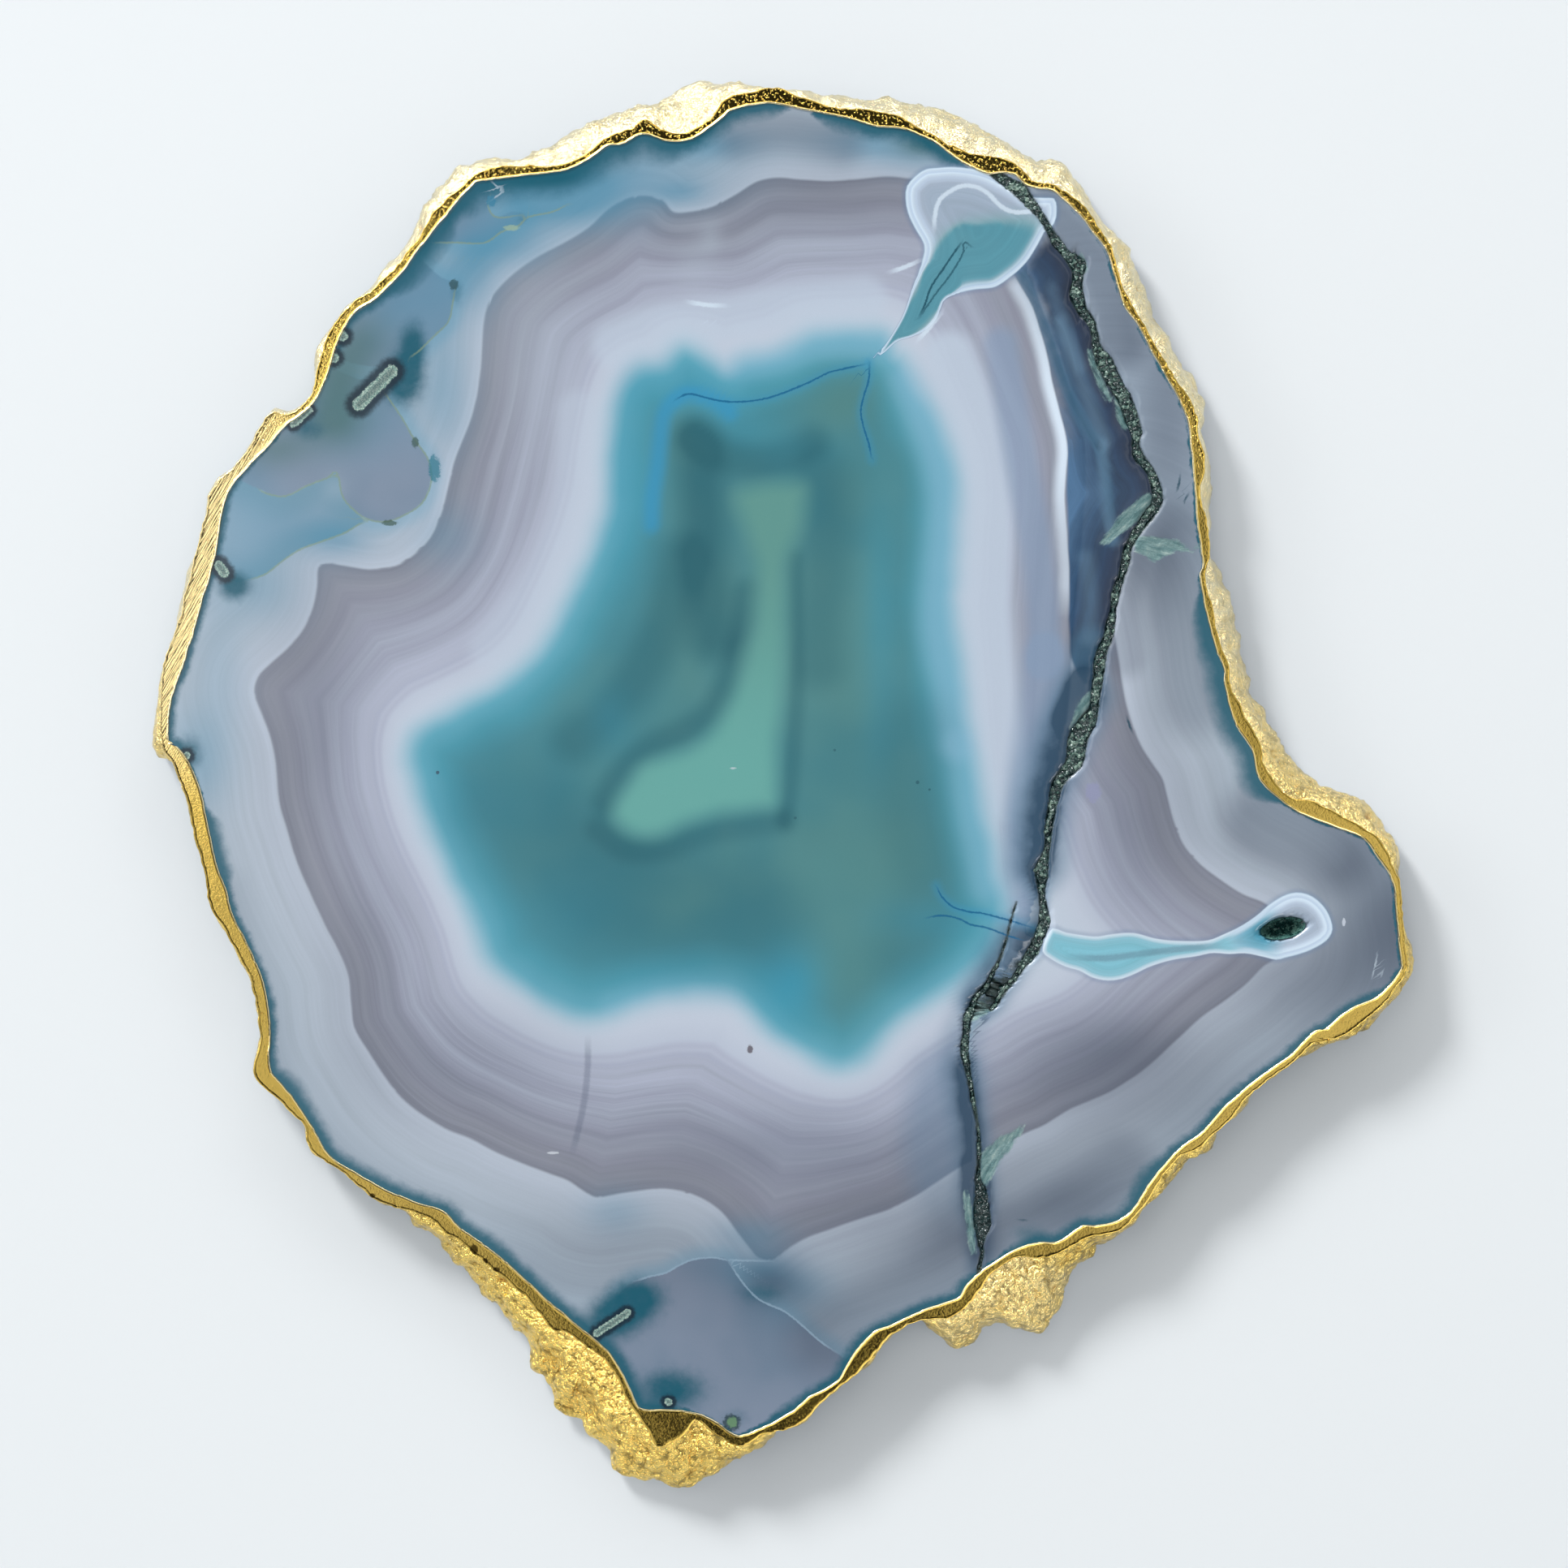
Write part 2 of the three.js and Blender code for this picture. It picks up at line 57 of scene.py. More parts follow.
# %% [markdown]
# ## Where the camera stands
# The slice is photographed from straight above, so the camera looks down the Z axis with +Y at the top.
# It stands a metre above the polished face, and its lens frames 278 mm of that face.

# %% Camera
CAMERA_HEIGHT = 1000.0
FRAMED_WIDTH = 278.0
SENSOR_WIDTH = 36.0


def add_camera():
    """A camera straight above the origin: lens over sensor width is height over framed width."""
    data = bpy.data.cameras.new("overhead_camera")
    data.sensor_width = SENSOR_WIDTH
    data.lens = SENSOR_WIDTH * CAMERA_HEIGHT / FRAMED_WIDTH
    camera = bpy.data.objects.new("overhead_camera", data)
    camera.location = (0.0, 0.0, (CAMERA_HEIGHT + slice_top) * MM)
    bpy.context.scene.collection.objects.link(camera)
    bpy.context.scene.camera = camera
    return camera


camera = add_camera()
print("the lens is", round(camera.data.lens, 1), "mm")

# %% [markdown]
# ## Lines, distances and unevenness
# Every band, lobe and crack of the slice is a line given in millimetres. A smooth curve goes through its
# points. What the materials need is how far each point of the face lies from such a line, because a
# distance changes evenly from point to point and a colour edge made from it stays sharp.
# Random heights on a lattice give the roughness of broken stone.

# %% Curves through picked points
def smooth_line(points, closed=True, per_span=5):
    """Hermite curve through the points. The slope at each point is the step between its two neighbours
    over the square roots of the chord lengths, which keeps uneven spacing from making loops."""
    p = np.asarray(points, float)
    if closed:
        ring = np.vstack([p[-1:], p, p[:2]])
    else:
        ring = np.vstack([2 * p[:1] - p[1:2], p, 2 * p[-1:] - p[-2:-1]])
    step = np.sqrt(np.linalg.norm(np.diff(ring[:, :2], axis=0), axis=1))
    time = np.r_[0.0, np.cumsum(step)]
    slope = (ring[2:] - ring[:-2]) / (time[2:] - time[:-2])[:, None]
    start, end = ring[1:-2, None], ring[2:-1, None]
    span = step[1:-1, None, None]
    u = np.linspace(0, 1, per_span, endpoint=False)[None, :, None]
    curve = ((2 * u**3 - 3 * u**2 + 1) * start + (u**3 - 2 * u**2 + u) * span * slope[:-1, None]
             + (3 * u**2 - 2 * u**3) * end + (u**3 - u**2) * span * slope[1:, None])
    curve = curve.reshape(-1, p.shape[1])
    return curve if closed else np.vstack([curve, p[-1:]])


def resample(line, spacing):
    """The same open line with points at even steps of arc length."""
    length = np.r_[0.0, np.cumsum(np.linalg.norm(np.diff(line[:, :2], axis=0), axis=1))]
    wanted = np.linspace(0, length[-1], max(2, round(length[-1] / spacing)))
    return np.column_stack([np.interp(wanted, length, column) for column in line.T])


# %% Distances to curves
def place_of(points, line, closed):
    """For each point: its distance to the polyline, the side that it lies on (positive on the left), how
    many segments along it lies, and whether a closed line goes round it."""
    x, y = points[:, 0], points[:, 1]
    nearest = np.full(len(x), np.inf)
    side, along = np.zeros(len(x)), np.zeros(len(x))
    inside = np.zeros(len(x), bool)
    ends = np.roll(line, -1, axis=0) if closed else line[1:]
    for k, (a, b) in enumerate(zip(line[:, :2], ends[:, :2])):
        ux, uy = b - a
        from_x, from_y = x - a[0], y - a[1]
        share = np.clip((from_x * ux + from_y * uy) / max(ux * ux + uy * uy, 1e-12), 0, 1)
        gap = (from_x - share * ux) ** 2 + (from_y - share * uy) ** 2
        closer = gap < nearest
        nearest = np.where(closer, gap, nearest)
        side = np.where(closer, ux * from_y - uy * from_x, side)
        along = np.where(closer, k + share, along)
        if closed and uy != 0:
            inside ^= ((a[1] > y) != (b[1] > y)) & (from_x < ux * from_y / uy)
    return np.sqrt(nearest), np.sign(side), along, inside


def near_box(points, line, margin):
    """Which points lie within the margin of the line's own box."""
    low, high = line[:, :2].min(0) - margin, line[:, :2].max(0) + margin
    return ((points > low) & (points < high)).all(1)


def depth_in(points, outline, margin=12.0, per_span=5, smooth=True):
    """Distance to a closed outline, positive inside it. Points further off than the margin get minus it."""
    line = smooth_line(outline, True, per_span) if smooth else np.asarray(outline, float)
    near = near_box(points, line, margin)
    depth = np.full(len(points), -float(margin))
    gap, _, _, inside = place_of(points[near], line, True)
    depth[near] = np.where(inside, gap, -np.minimum(gap, margin))
    return depth


def stroke(points, path, half_width, softness, per_span=4):
    """A brush stroke along an open path: 1 within the half width, falling smoothly to 0."""
    line = smooth_line(path, False, per_span) if len(path) > 2 else np.asarray(path, float)
    near = near_box(points, line, half_width + softness)
    amount = np.zeros(len(points))
    gap = place_of(points[near], line, False)[0]
    share = np.clip((half_width + softness - gap) / softness, 0, 1)
    amount[near] = share * share * (3 - 2 * share)
    return amount


def blot(points, centre, half_x, half_y):
    """A soft oval stain: e to the minus squared distance, measured in half widths."""
    away = (points - np.array(centre)) / np.array([half_x, half_y])
    return np.exp(-(away**2).sum(1))


LINE_MARGIN = 1.6
TAPER_POINTS = 3
LEAST_TAPER = 0.15


def thin_line(points, paths, margin=LINE_MARGIN):
    """Signed distance to the nearest of a few open lines, and a mask that is 1 beside them and 0 away from
    them and past their ends. Across a line the signed distance is even, so even a fine line stays sharp."""
    signed, mask = np.full(len(points), margin), np.zeros(len(points))
    nearest = np.full(len(points), np.inf)
    for path in paths:
        line = smooth_line(path, False, 4)
        near = np.flatnonzero(near_box(points, line, 2 * margin))
        gap, side, along, _ = place_of(points[near], line, False)
        on_end = (along <= 0) | (along >= len(line) - 1)
        beside = np.clip(2 - gap / margin, 0, 1) * np.where(on_end, np.clip(1 - gap, 0, 1), 1)
        to_end = np.minimum(along, len(line) - 1 - along)
        taper = np.clip(to_end / TAPER_POINTS + LEAST_TAPER, 0, 1)
        closer = gap < nearest[near]
        nearest[near] = np.where(closer, gap, nearest[near])
        signed[near] = np.where(closer, gap * side, signed[near])
        mask[near] = np.where(closer, beside * taper, mask[near])
    return signed, mask


def ramp(value, low, high):
    """0 below low, 1 above high, smooth between."""
    share = np.clip((value - low) / (high - low), 0, 1)
    return share * share * (3 - 2 * share)


# %% Uneven heights
TABLE = 4096
SCATTER = (73856093, 19349663, 83492791)


def lattice_code(at):
    """A number below TABLE for each lattice cell: its coordinates times large primes, combined bit by
    bit, so that neighbours get unlike numbers."""
    code = at[..., 0] * SCATTER[0] ^ at[..., 1] * SCATTER[1]
    if at.shape[-1] == 3:
        code = code ^ at[..., 2] * SCATTER[2]
    return code & (TABLE - 1)


def bumps(points, size, seed):
    """Value noise from -1 to 1: random heights on a cubic lattice with cells of this size, blended by
    smoothstep between the corners of a cell."""
    table = np.random.default_rng(seed).uniform(-1, 1, TABLE)
    scaled = np.asarray(points, float) / size
    cell = np.floor(scaled).astype(np.int64)
    share = scaled - cell
    share = share * share * (3 - 2 * share)
    total = np.zeros(scaled.shape[:-1])
    for corner in np.ndindex(*(2,) * scaled.shape[-1]):
        weight = np.prod(np.where(np.array(corner) == 1, share, 1 - share), axis=-1)
        total += weight * table[lattice_code(cell + np.array(corner))]
    return total


def layered(points, layers):
    """Sum of bumps, each layer with its own height, size and seed."""
    return sum(height * bumps(points, size, seed) for height, size, seed in layers)


def crags(points, size, seed, layers=3):
    """Sharp ridges from 0 to 1: one minus the size of the noise, layer on layer at half the size."""
    total, weight = 0.0, 0.0
    for layer in range(layers):
        share = 0.5**layer
        total = total + share * (1 - np.abs(bumps(points, size * share, seed + layer)))
        weight += share
    return total / weight


def grains(points, size, seed):
    """Granules on a jittered lattice. Each place gets its distance to the middle of the nearest granule,
    as a share of the granules' spacing, and a random number that is the granule's own."""
    scaled = np.asarray(points, float) / size
    cell = np.floor(scaled).astype(np.int64)
    rng = np.random.default_rng(seed)
    jitter, numbers = rng.random((TABLE, scaled.shape[-1])), rng.random(TABLE)
    nearest, own = np.full(scaled.shape[:-1], np.inf), np.zeros(scaled.shape[:-1])
    for offset in np.ndindex(*(3,) * scaled.shape[-1]):
        at = cell + np.array(offset) - 1
        code = lattice_code(at)
        gap = np.linalg.norm(at + jitter[code] - scaled, axis=-1)
        own = np.where(gap < nearest, numbers[code], own)
        nearest = np.minimum(gap, nearest)
    return nearest, own


# %% Meshes from arrays
def enclosed(points, face_sets):
    """Volume inside the faces, from the triangles that fan out from each face's first corner."""
    volume = 0.0
    for faces in face_sets:
        for k in range(1, faces.shape[1] - 1):
            a, b, c = points[faces[:, 0]], points[faces[:, k]], points[faces[:, k + 1]]
            volume += (a * np.cross(b, c)).sum() / 6
    return volume


def make_piece(name, points, face_sets, attributes=None, smooth=True):
    """A mesh object in metres from points in millimetres, with its faces turned to point out, riding on
    the slice's one body."""
    points = np.asarray(points, float)
    if enclosed(points, face_sets) < 0:
        face_sets = [faces[:, ::-1] for faces in face_sets]
    rows = [row for faces in face_sets for row in faces.tolist()]
    mesh = bpy.data.meshes.new(name)
    mesh.from_pydata(points * MM, [], rows)
    mesh.polygons.foreach_set("use_smooth", np.full(len(rows), smooth))
    for title, values in (attributes or {}).items():
        layer = mesh.attributes.new(title, "FLOAT", "POINT")
        layer.data.foreach_set("value", np.asarray(values, np.float32))
    mesh.update()
    piece = bpy.data.objects.new(name, mesh)
    bpy.context.scene.collection.objects.link(piece)
    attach(piece, "root")
    triangles = sum(len(faces) * (faces.shape[1] - 2) for faces in face_sets)
    volume = enclosed(points, face_sets) / 1000
    print(name, "has", triangles, "triangles and holds", round(volume, 2), "cm3")
    return piece


def grid_faces(rows, columns, wrap_rows=False, wrap_columns=False, first=0):
    """Quads between neighbouring points of a grid that is numbered row by row."""
    i = np.arange(rows if wrap_rows else rows - 1)[:, None]
    j = np.arange(columns if wrap_columns else columns - 1)[None, :]
    below, beside = (i + 1) % rows, (j + 1) % columns
    corners = [i * columns + j, below * columns + j, below * columns + beside, i * columns + beside]
    return first + np.stack([corner + np.zeros_like(i + j) for corner in corners], -1).reshape(-1, 4)


# %% [markdown]
# ## The three outlines of the rim
# Seen from above, the gold shows three lines: the inner one where it ends on the polished face, the outer
# edge of its flat margin, and the outermost line of the rough rind. All three go round one point in the
# lower middle, so a ray from there crosses each of them once, and the rim can be built ray by ray.

# %% Outlines in millimetres, clockwise from the left notch
FAN_CENTRE = np.array([-10.0, -30.0])

FACE_EDGE = [
    (-109.1, 10.0), (-108.3, 15.8), (-106.5, 20.7), (-105.0, 25.6), (-103.0, 32.6), (-101.4, 37.8),
    (-100.0, 44.9), (-99.1, 49.9), (-97.3, 53.6), (-92.0, 59.3), (-88.6, 63.2), (-84.1, 66.7),
    (-81.9, 70.1), (-80.3, 74.1), (-79.4, 77.3), (-76.7, 82.9), (-72.4, 86.0), (-67.7, 90.7),
    (-64.8, 94.7), (-59.9, 100.8), (-55.4, 106.0), (-53.6, 106.9), (-45.6, 107.9), (-39.6, 108.6),
    (-35.1, 110.5), (-31.3, 113.0), (-28.6, 113.5), (-25.1, 115.3), (-21.4, 114.1), (-18.3, 113.9),
    (-15.8, 114.6), (-11.1, 118.0), (-9.3, 119.4), (-3.0, 120.6), (3.6, 119.4), (11.2, 118.0),
    (15.7, 116.6), (21.1, 116.0), (26.5, 113.8), (31.4, 110.2), (35.9, 108.3), (40.6, 108.0),
    (43.1, 105.9), (47.6, 105.2), (49.8, 103.2), (52.5, 100.8), (54.7, 97.8), (57.2, 94.3),
    (58.5, 90.0), (60.1, 85.1), (62.8, 81.0), (65.5, 76.0), (68.8, 70.2), (71.3, 64.9),
    (72.1, 59.5), (72.7, 52.8), (73.3, 45.1), (74.2, 39.0), (73.6, 36.7), (74.7, 31.0),
    (76.4, 24.0), (77.9, 20.3), (78.0, 17.6), (80.1, 10.2), (82.8, 6.1), (83.9, 1.4),
    (86.4, -1.7), (91.3, -5.1), (96.7, -7.3), (102.8, -9.8), (105.2, -13.2), (107.7, -17.0),
    (108.4, -23.0), (109.2, -31.2), (109.2, -33.0), (105.3, -37.5), (100.6, -39.7), (95.7, -43.4),
    (94.1, -43.7), (89.9, -47.8), (83.1, -52.7), (77.3, -57.9), (74.2, -61.5), (69.7, -64.9),
    (65.0, -70.2), (60.5, -76.6), (55.3, -78.2), (52.7, -78.2), (48.5, -81.1), (45.3, -81.1),
    (40.7, -82.6), (36.7, -85.1), (32.4, -88.5), (30.6, -91.1), (25.0, -93.0), (19.2, -95.7),
    (15.1, -97.7), (11.5, -102.2), (9.3, -105.9), (4.4, -108.7), (0.8, -111.6), (-7.9, -115.4),
    (-11.7, -113.2), (-16.6, -111.2), (-23.8, -110.8), (-25.8, -110.2), (-27.6, -106.4),
    (-30.5, -101.3), (-35.0, -97.2), (-40.8, -92.3), (-46.6, -87.0), (-52.5, -82.0),
    (-57.3, -78.7), (-60.3, -75.7), (-64.3, -74.4), (-70.0, -72.1), (-75.1, -69.3),
    (-80.5, -65.7), (-83.6, -60.5), (-88.5, -53.6), (-91.0, -50.4), (-91.0, -43.0),
    (-91.9, -36.3), (-94.1, -30.3), (-97.6, -23.3), (-98.9, -18.8), (-100.7, -13.8),
    (-102.1, -7.1), (-103.6, -0.8), (-105.6, 4.1), (-107.7, 6.9), (-108.9, 7.2),
]
MARGIN_EDGE = [
    (-109.9, 6.2), (-110.7, 11.3), (-110.5, 17.6), (-109.3, 23.4), (-106.5, 31.9), (-104.6, 40.0),
    (-102.5, 48.0), (-101.9, 51.5), (-100.0, 54.3), (-95.0, 59.0), (-91.3, 65.6), (-88.6, 65.6),
    (-85.9, 66.7), (-83.7, 69.8), (-82.1, 75.9), (-80.3, 80.4), (-76.3, 85.6), (-72.9, 87.6),
    (-68.4, 92.1), (-65.0, 96.5), (-61.7, 101.9), (-57.3, 105.7), (-54.2, 108.6), (-49.2, 109.8),
    (-44.3, 109.7), (-38.9, 109.3), (-34.4, 112.4), (-30.8, 114.9), (-27.3, 116.0), (-24.8, 117.9),
    (-21.4, 116.0), (-17.4, 115.6), (-13.3, 117.8), (-10.2, 121.4), (-5.7, 122.5), (-1.7, 123.2),
    (2.8, 121.9), (7.7, 120.2), (12.1, 119.8), (19.3, 118.7), (24.2, 116.2), (29.2, 113.5),
    (33.6, 111.5), (39.5, 110.6), (43.1, 107.9), (44.9, 106.1), (49.8, 105.0), (53.4, 102.1),
    (56.1, 98.1), (58.8, 93.1), (60.4, 87.3), (63.1, 82.5), (66.2, 77.5), (69.2, 72.5),
    (72.5, 67.6), (73.4, 62.6), (74.8, 56.4), (73.7, 51.9), (75.2, 45.1), (75.5, 40.7),
    (74.5, 36.3), (76.0, 30.8), (77.2, 25.2), (78.8, 18.5), (81.5, 12.6), (84.4, 7.7),
    (85.1, 3.2), (89.1, -2.2), (93.6, -3.1), (99.0, -5.8), (105.2, -9.3), (107.9, -13.8),
    (109.5, -20.6), (110.3, -28.5), (110.6, -31.5), (109.2, -35.3), (105.1, -40.2), (99.7, -44.2),
    (96.6, -45.6), (94.8, -45.1), (89.4, -50.0), (83.0, -54.5), (79.1, -59.3), (73.7, -64.4),
    (68.3, -67.1), (65.9, -71.6), (63.2, -75.6), (60.2, -79.0), (53.7, -80.4), (49.2, -82.9),
    (46.5, -84.0), (40.7, -84.0), (36.2, -87.6), (33.1, -91.6), (29.9, -94.8), (24.3, -95.2),
    (18.7, -97.8), (16.6, -100.4), (12.7, -104.8), (7.0, -109.1), (3.2, -113.2), (-3.3, -115.2),
    (-8.1, -117.2), (-12.1, -115.4), (-15.5, -112.9), (-17.7, -115.4), (-22.4, -117.4),
    (-24.2, -114.5), (-27.4, -109.8), (-31.4, -102.6), (-38.6, -97.5), (-41.3, -96.6),
    (-45.3, -91.4), (-50.7, -86.9), (-56.5, -82.0), (-61.0, -78.8), (-64.6, -75.9),
    (-69.5, -74.9), (-73.1, -73.2), (-77.0, -69.8), (-81.6, -66.6), (-84.5, -64.2),
    (-85.3, -60.4), (-89.2, -56.5), (-92.8, -53.2), (-93.9, -50.6), (-93.0, -43.9),
    (-93.9, -37.2), (-95.3, -33.3), (-98.7, -26.7), (-101.9, -21.5), (-102.5, -16.0),
    (-104.5, -9.8), (-105.9, -2.6), (-107.9, 2.3), (-108.6, 4.3),
]
ROUGH_EDGE = [
    (-110.8, 5.0), (-111.9, 6.4), (-112.0, 9.0), (-111.7, 12.2), (-111.3, 15.3), (-111.0, 18.0),
    (-110.4, 21.2), (-109.7, 23.4), (-108.4, 27.0), (-107.7, 30.6), (-107.0, 33.7), (-106.1, 37.3),
    (-105.1, 40.0), (-103.6, 42.7), (-102.9, 47.2), (-102.5, 50.8), (-100.7, 54.4), (-98.0, 56.4),
    (-95.5, 59.3), (-93.5, 62.9), (-91.3, 66.3), (-90.4, 66.9), (-88.6, 66.3), (-85.9, 67.2),
    (-84.1, 69.0), (-83.6, 71.4), (-83.4, 75.0), (-83.0, 78.1), (-81.4, 80.2), (-79.2, 82.6),
    (-77.8, 85.1), (-75.6, 86.7), (-72.9, 88.9), (-71.3, 91.6), (-68.0, 94.7), (-65.9, 98.3),
    (-65.0, 101.0), (-63.2, 104.2), (-60.2, 107.2), (-58.7, 109.3), (-56.4, 110.0), (-54.2, 110.9),
    (-51.9, 111.5), (-49.7, 111.4), (-47.0, 111.2), (-44.7, 112.0), (-42.1, 113.3), (-39.8, 114.2),
    (-38.0, 115.6), (-35.8, 116.7), (-33.5, 118.0), (-31.3, 118.7), (-28.6, 120.1), (-25.5, 121.0),
    (-22.3, 121.6), (-20.1, 122.3), (-17.8, 123.6), (-15.1, 124.8), (-12.4, 124.6), (-9.8, 124.9),
    (-7.1, 124.5), (-4.4, 124.1), (-1.7, 123.5), (1.8, 123.6), (4.5, 123.4), (6.7, 122.7),
    (9.4, 122.5), (12.1, 121.9), (14.8, 121.6), (17.9, 121.8), (20.2, 121.4), (23.3, 120.7),
    (26.9, 120.5), (29.6, 119.6), (32.3, 118.3), (35.4, 116.7), (38.1, 115.1), (40.4, 113.8),
    (42.6, 112.2), (44.9, 110.6), (47.6, 110.7), (49.8, 110.0), (51.6, 107.9), (52.9, 105.7),
    (54.3, 103.5), (55.6, 101.2), (57.9, 98.5), (59.7, 96.7), (61.2, 94.9), (62.1, 92.2),
    (63.1, 89.6), (64.4, 86.6), (65.9, 83.3), (67.9, 79.5), (69.6, 76.0), (71.4, 73.8),
    (73.0, 72.1), (73.9, 69.8), (74.5, 67.1), (74.8, 64.9), (74.3, 63.1), (74.8, 60.8),
    (75.4, 58.1), (75.7, 54.6), (75.9, 52.3), (75.4, 49.6), (75.9, 46.0), (75.4, 42.9),
    (75.9, 40.5), (77.4, 37.2), (77.9, 34.8), (79.0, 33.3), (79.7, 30.5), (80.1, 27.9),
    (80.8, 25.2), (81.5, 22.3), (82.1, 20.7), (82.4, 18.0), (83.7, 14.9), (85.1, 13.1),
    (86.0, 10.4), (87.8, 7.7), (89.1, 5.0), (90.9, 3.2), (93.1, 1.0), (95.4, -0.2), (98.1, -1.3),
    (100.8, -1.9), (103.0, -3.1), (104.8, -4.4), (106.1, -6.2), (107.5, -8.7), (108.8, -10.2),
    (109.4, -12.9), (109.5, -16.1), (109.7, -19.5), (109.8, -22.5), (110.3, -25.5), (110.9, -27.5),
    (111.4, -29.0), (111.8, -31.7), (111.6, -33.5), (110.1, -36.2), (108.3, -38.4), (106.5, -40.2),
    (104.7, -42.4), (102.4, -44.2), (100.2, -45.3), (97.7, -45.8), (95.9, -46.5), (93.9, -47.8),
    (91.7, -48.9), (89.4, -50.3), (87.2, -52.1), (84.5, -53.4), (83.1, -55.4), (82.2, -57.2),
    (80.0, -59.5), (77.3, -61.3), (76.9, -63.1), (76.0, -65.1), (73.7, -66.0), (71.5, -67.3),
    (69.7, -69.3), (67.9, -71.6), (66.5, -73.4), (65.0, -74.5), (63.8, -75.6), (62.5, -77.9),
    (60.5, -79.3), (58.2, -80.8), (55.5, -82.0), (54.5, -83.6), (52.7, -84.8), (51.0, -86.9),
    (50.1, -89.0), (49.4, -91.2), (48.3, -93.4), (47.0, -94.8), (46.1, -96.6), (44.7, -97.7),
    (42.9, -96.9), (41.1, -97.0), (39.3, -96.1), (37.6, -96.1), (35.3, -97.0), (34.0, -98.6),
    (32.6, -99.9), (30.8, -100.5), (29.7, -99.9), (28.6, -99.0), (27.2, -97.3), (25.4, -96.1),
    (24.3, -95.3), (22.3, -96.1), (20.1, -97.5), (18.7, -98.8), (16.9, -100.6), (16.0, -102.4),
    (14.7, -103.8), (12.9, -105.1), (11.1, -106.7), (9.3, -108.2), (7.3, -109.4), (5.9, -110.9),
    (4.8, -112.3), (3.5, -113.5), (0.8, -113.9), (-1.5, -114.8), (-1.8, -116.1), (-3.5, -117.4),
    (-5.5, -118.7), (-7.9, -119.7), (-9.4, -121.0), (-11.7, -122.8), (-14.4, -123.5),
    (-16.6, -124.6), (-18.4, -124.9), (-20.7, -124.6), (-22.9, -123.5), (-24.7, -123.7),
    (-26.9, -123.5), (-28.9, -122.6), (-30.3, -120.6), (-31.0, -118.3), (-33.2, -116.8),
    (-35.0, -115.0), (-35.9, -113.2), (-37.9, -112.3), (-39.9, -111.4), (-41.1, -109.8),
    (-41.5, -107.6), (-42.6, -105.3), (-44.2, -104.0), (-44.9, -101.7), (-45.5, -99.5),
    (-47.2, -97.2), (-48.7, -95.4), (-50.3, -93.5), (-51.4, -92.0), (-53.4, -91.1), (-54.0, -89.5),
    (-55.6, -88.0), (-56.8, -86.4), (-58.9, -84.9), (-60.2, -82.6), (-61.7, -80.6), (-63.3, -79.3),
    (-65.8, -78.6), (-67.1, -76.4), (-68.8, -75.2), (-71.3, -74.9), (-73.3, -73.5), (-75.5, -71.9),
    (-77.3, -69.9), (-79.6, -68.1), (-81.8, -66.8), (-83.8, -65.9), (-84.7, -64.3), (-85.2, -62.7),
    (-85.6, -60.5), (-87.2, -58.7), (-89.4, -56.7), (-91.2, -54.9), (-93.0, -53.3), (-94.1, -51.5),
    (-94.1, -49.7), (-93.7, -46.6), (-93.2, -43.9), (-93.5, -40.3), (-94.1, -37.2), (-94.8, -34.9),
    (-95.5, -33.4), (-96.6, -31.8), (-97.5, -29.8), (-98.9, -26.8), (-100.7, -24.6),
    (-102.1, -21.5), (-102.7, -17.4), (-102.7, -15.2), (-103.8, -12.9), (-104.7, -9.8),
    (-105.4, -6.2), (-106.1, -2.6), (-106.8, 0.5), (-108.1, 2.3), (-109.0, 4.3),
]


# %% Rays across the rim
def reach(outline, angles):
    """How far from the fan centre each ray meets the outline, read off the outline in polar form."""
    away = smooth_line(outline) - FAN_CENTRE
    return np.interp(angles, np.arctan2(away[:, 1], away[:, 0]), np.hypot(*away.T), period=2 * np.pi)


def even_angles(count):
    """Ray angles at which the face edge has gone on by the same length each time, anticlockwise."""
    line = smooth_line(FACE_EDGE)[::-1]
    around = np.vstack([line, line[:1]]) - FAN_CENTRE
    turn = np.unwrap(np.arctan2(around[:, 1], around[:, 0]))
    turn = np.maximum.accumulate(turn)
    length = np.r_[0.0, np.cumsum(np.linalg.norm(np.diff(around, axis=0), axis=1))]
    return np.interp(np.linspace(0, length[-1], count, endpoint=False), length, turn), length[-1]


def at_angle(angles, distance):
    """Points at these angles and distances from the fan centre."""
    return FAN_CENTRE + np.stack([distance * np.cos(angles), distance * np.sin(angles)], -1)


print("the polished face's edge is", round(even_angles(10)[1]), "mm long")

# %% [markdown]
# ## The fissure
# An uneven crack full of small quartz crystals runs from the top of the slice to its bottom, with a second
# branch at the lower end. Its line was picked with a half width at each point, so that one list gives both
# its course and how far it gapes. The same list shapes the trough in the stone and the crystals in it.

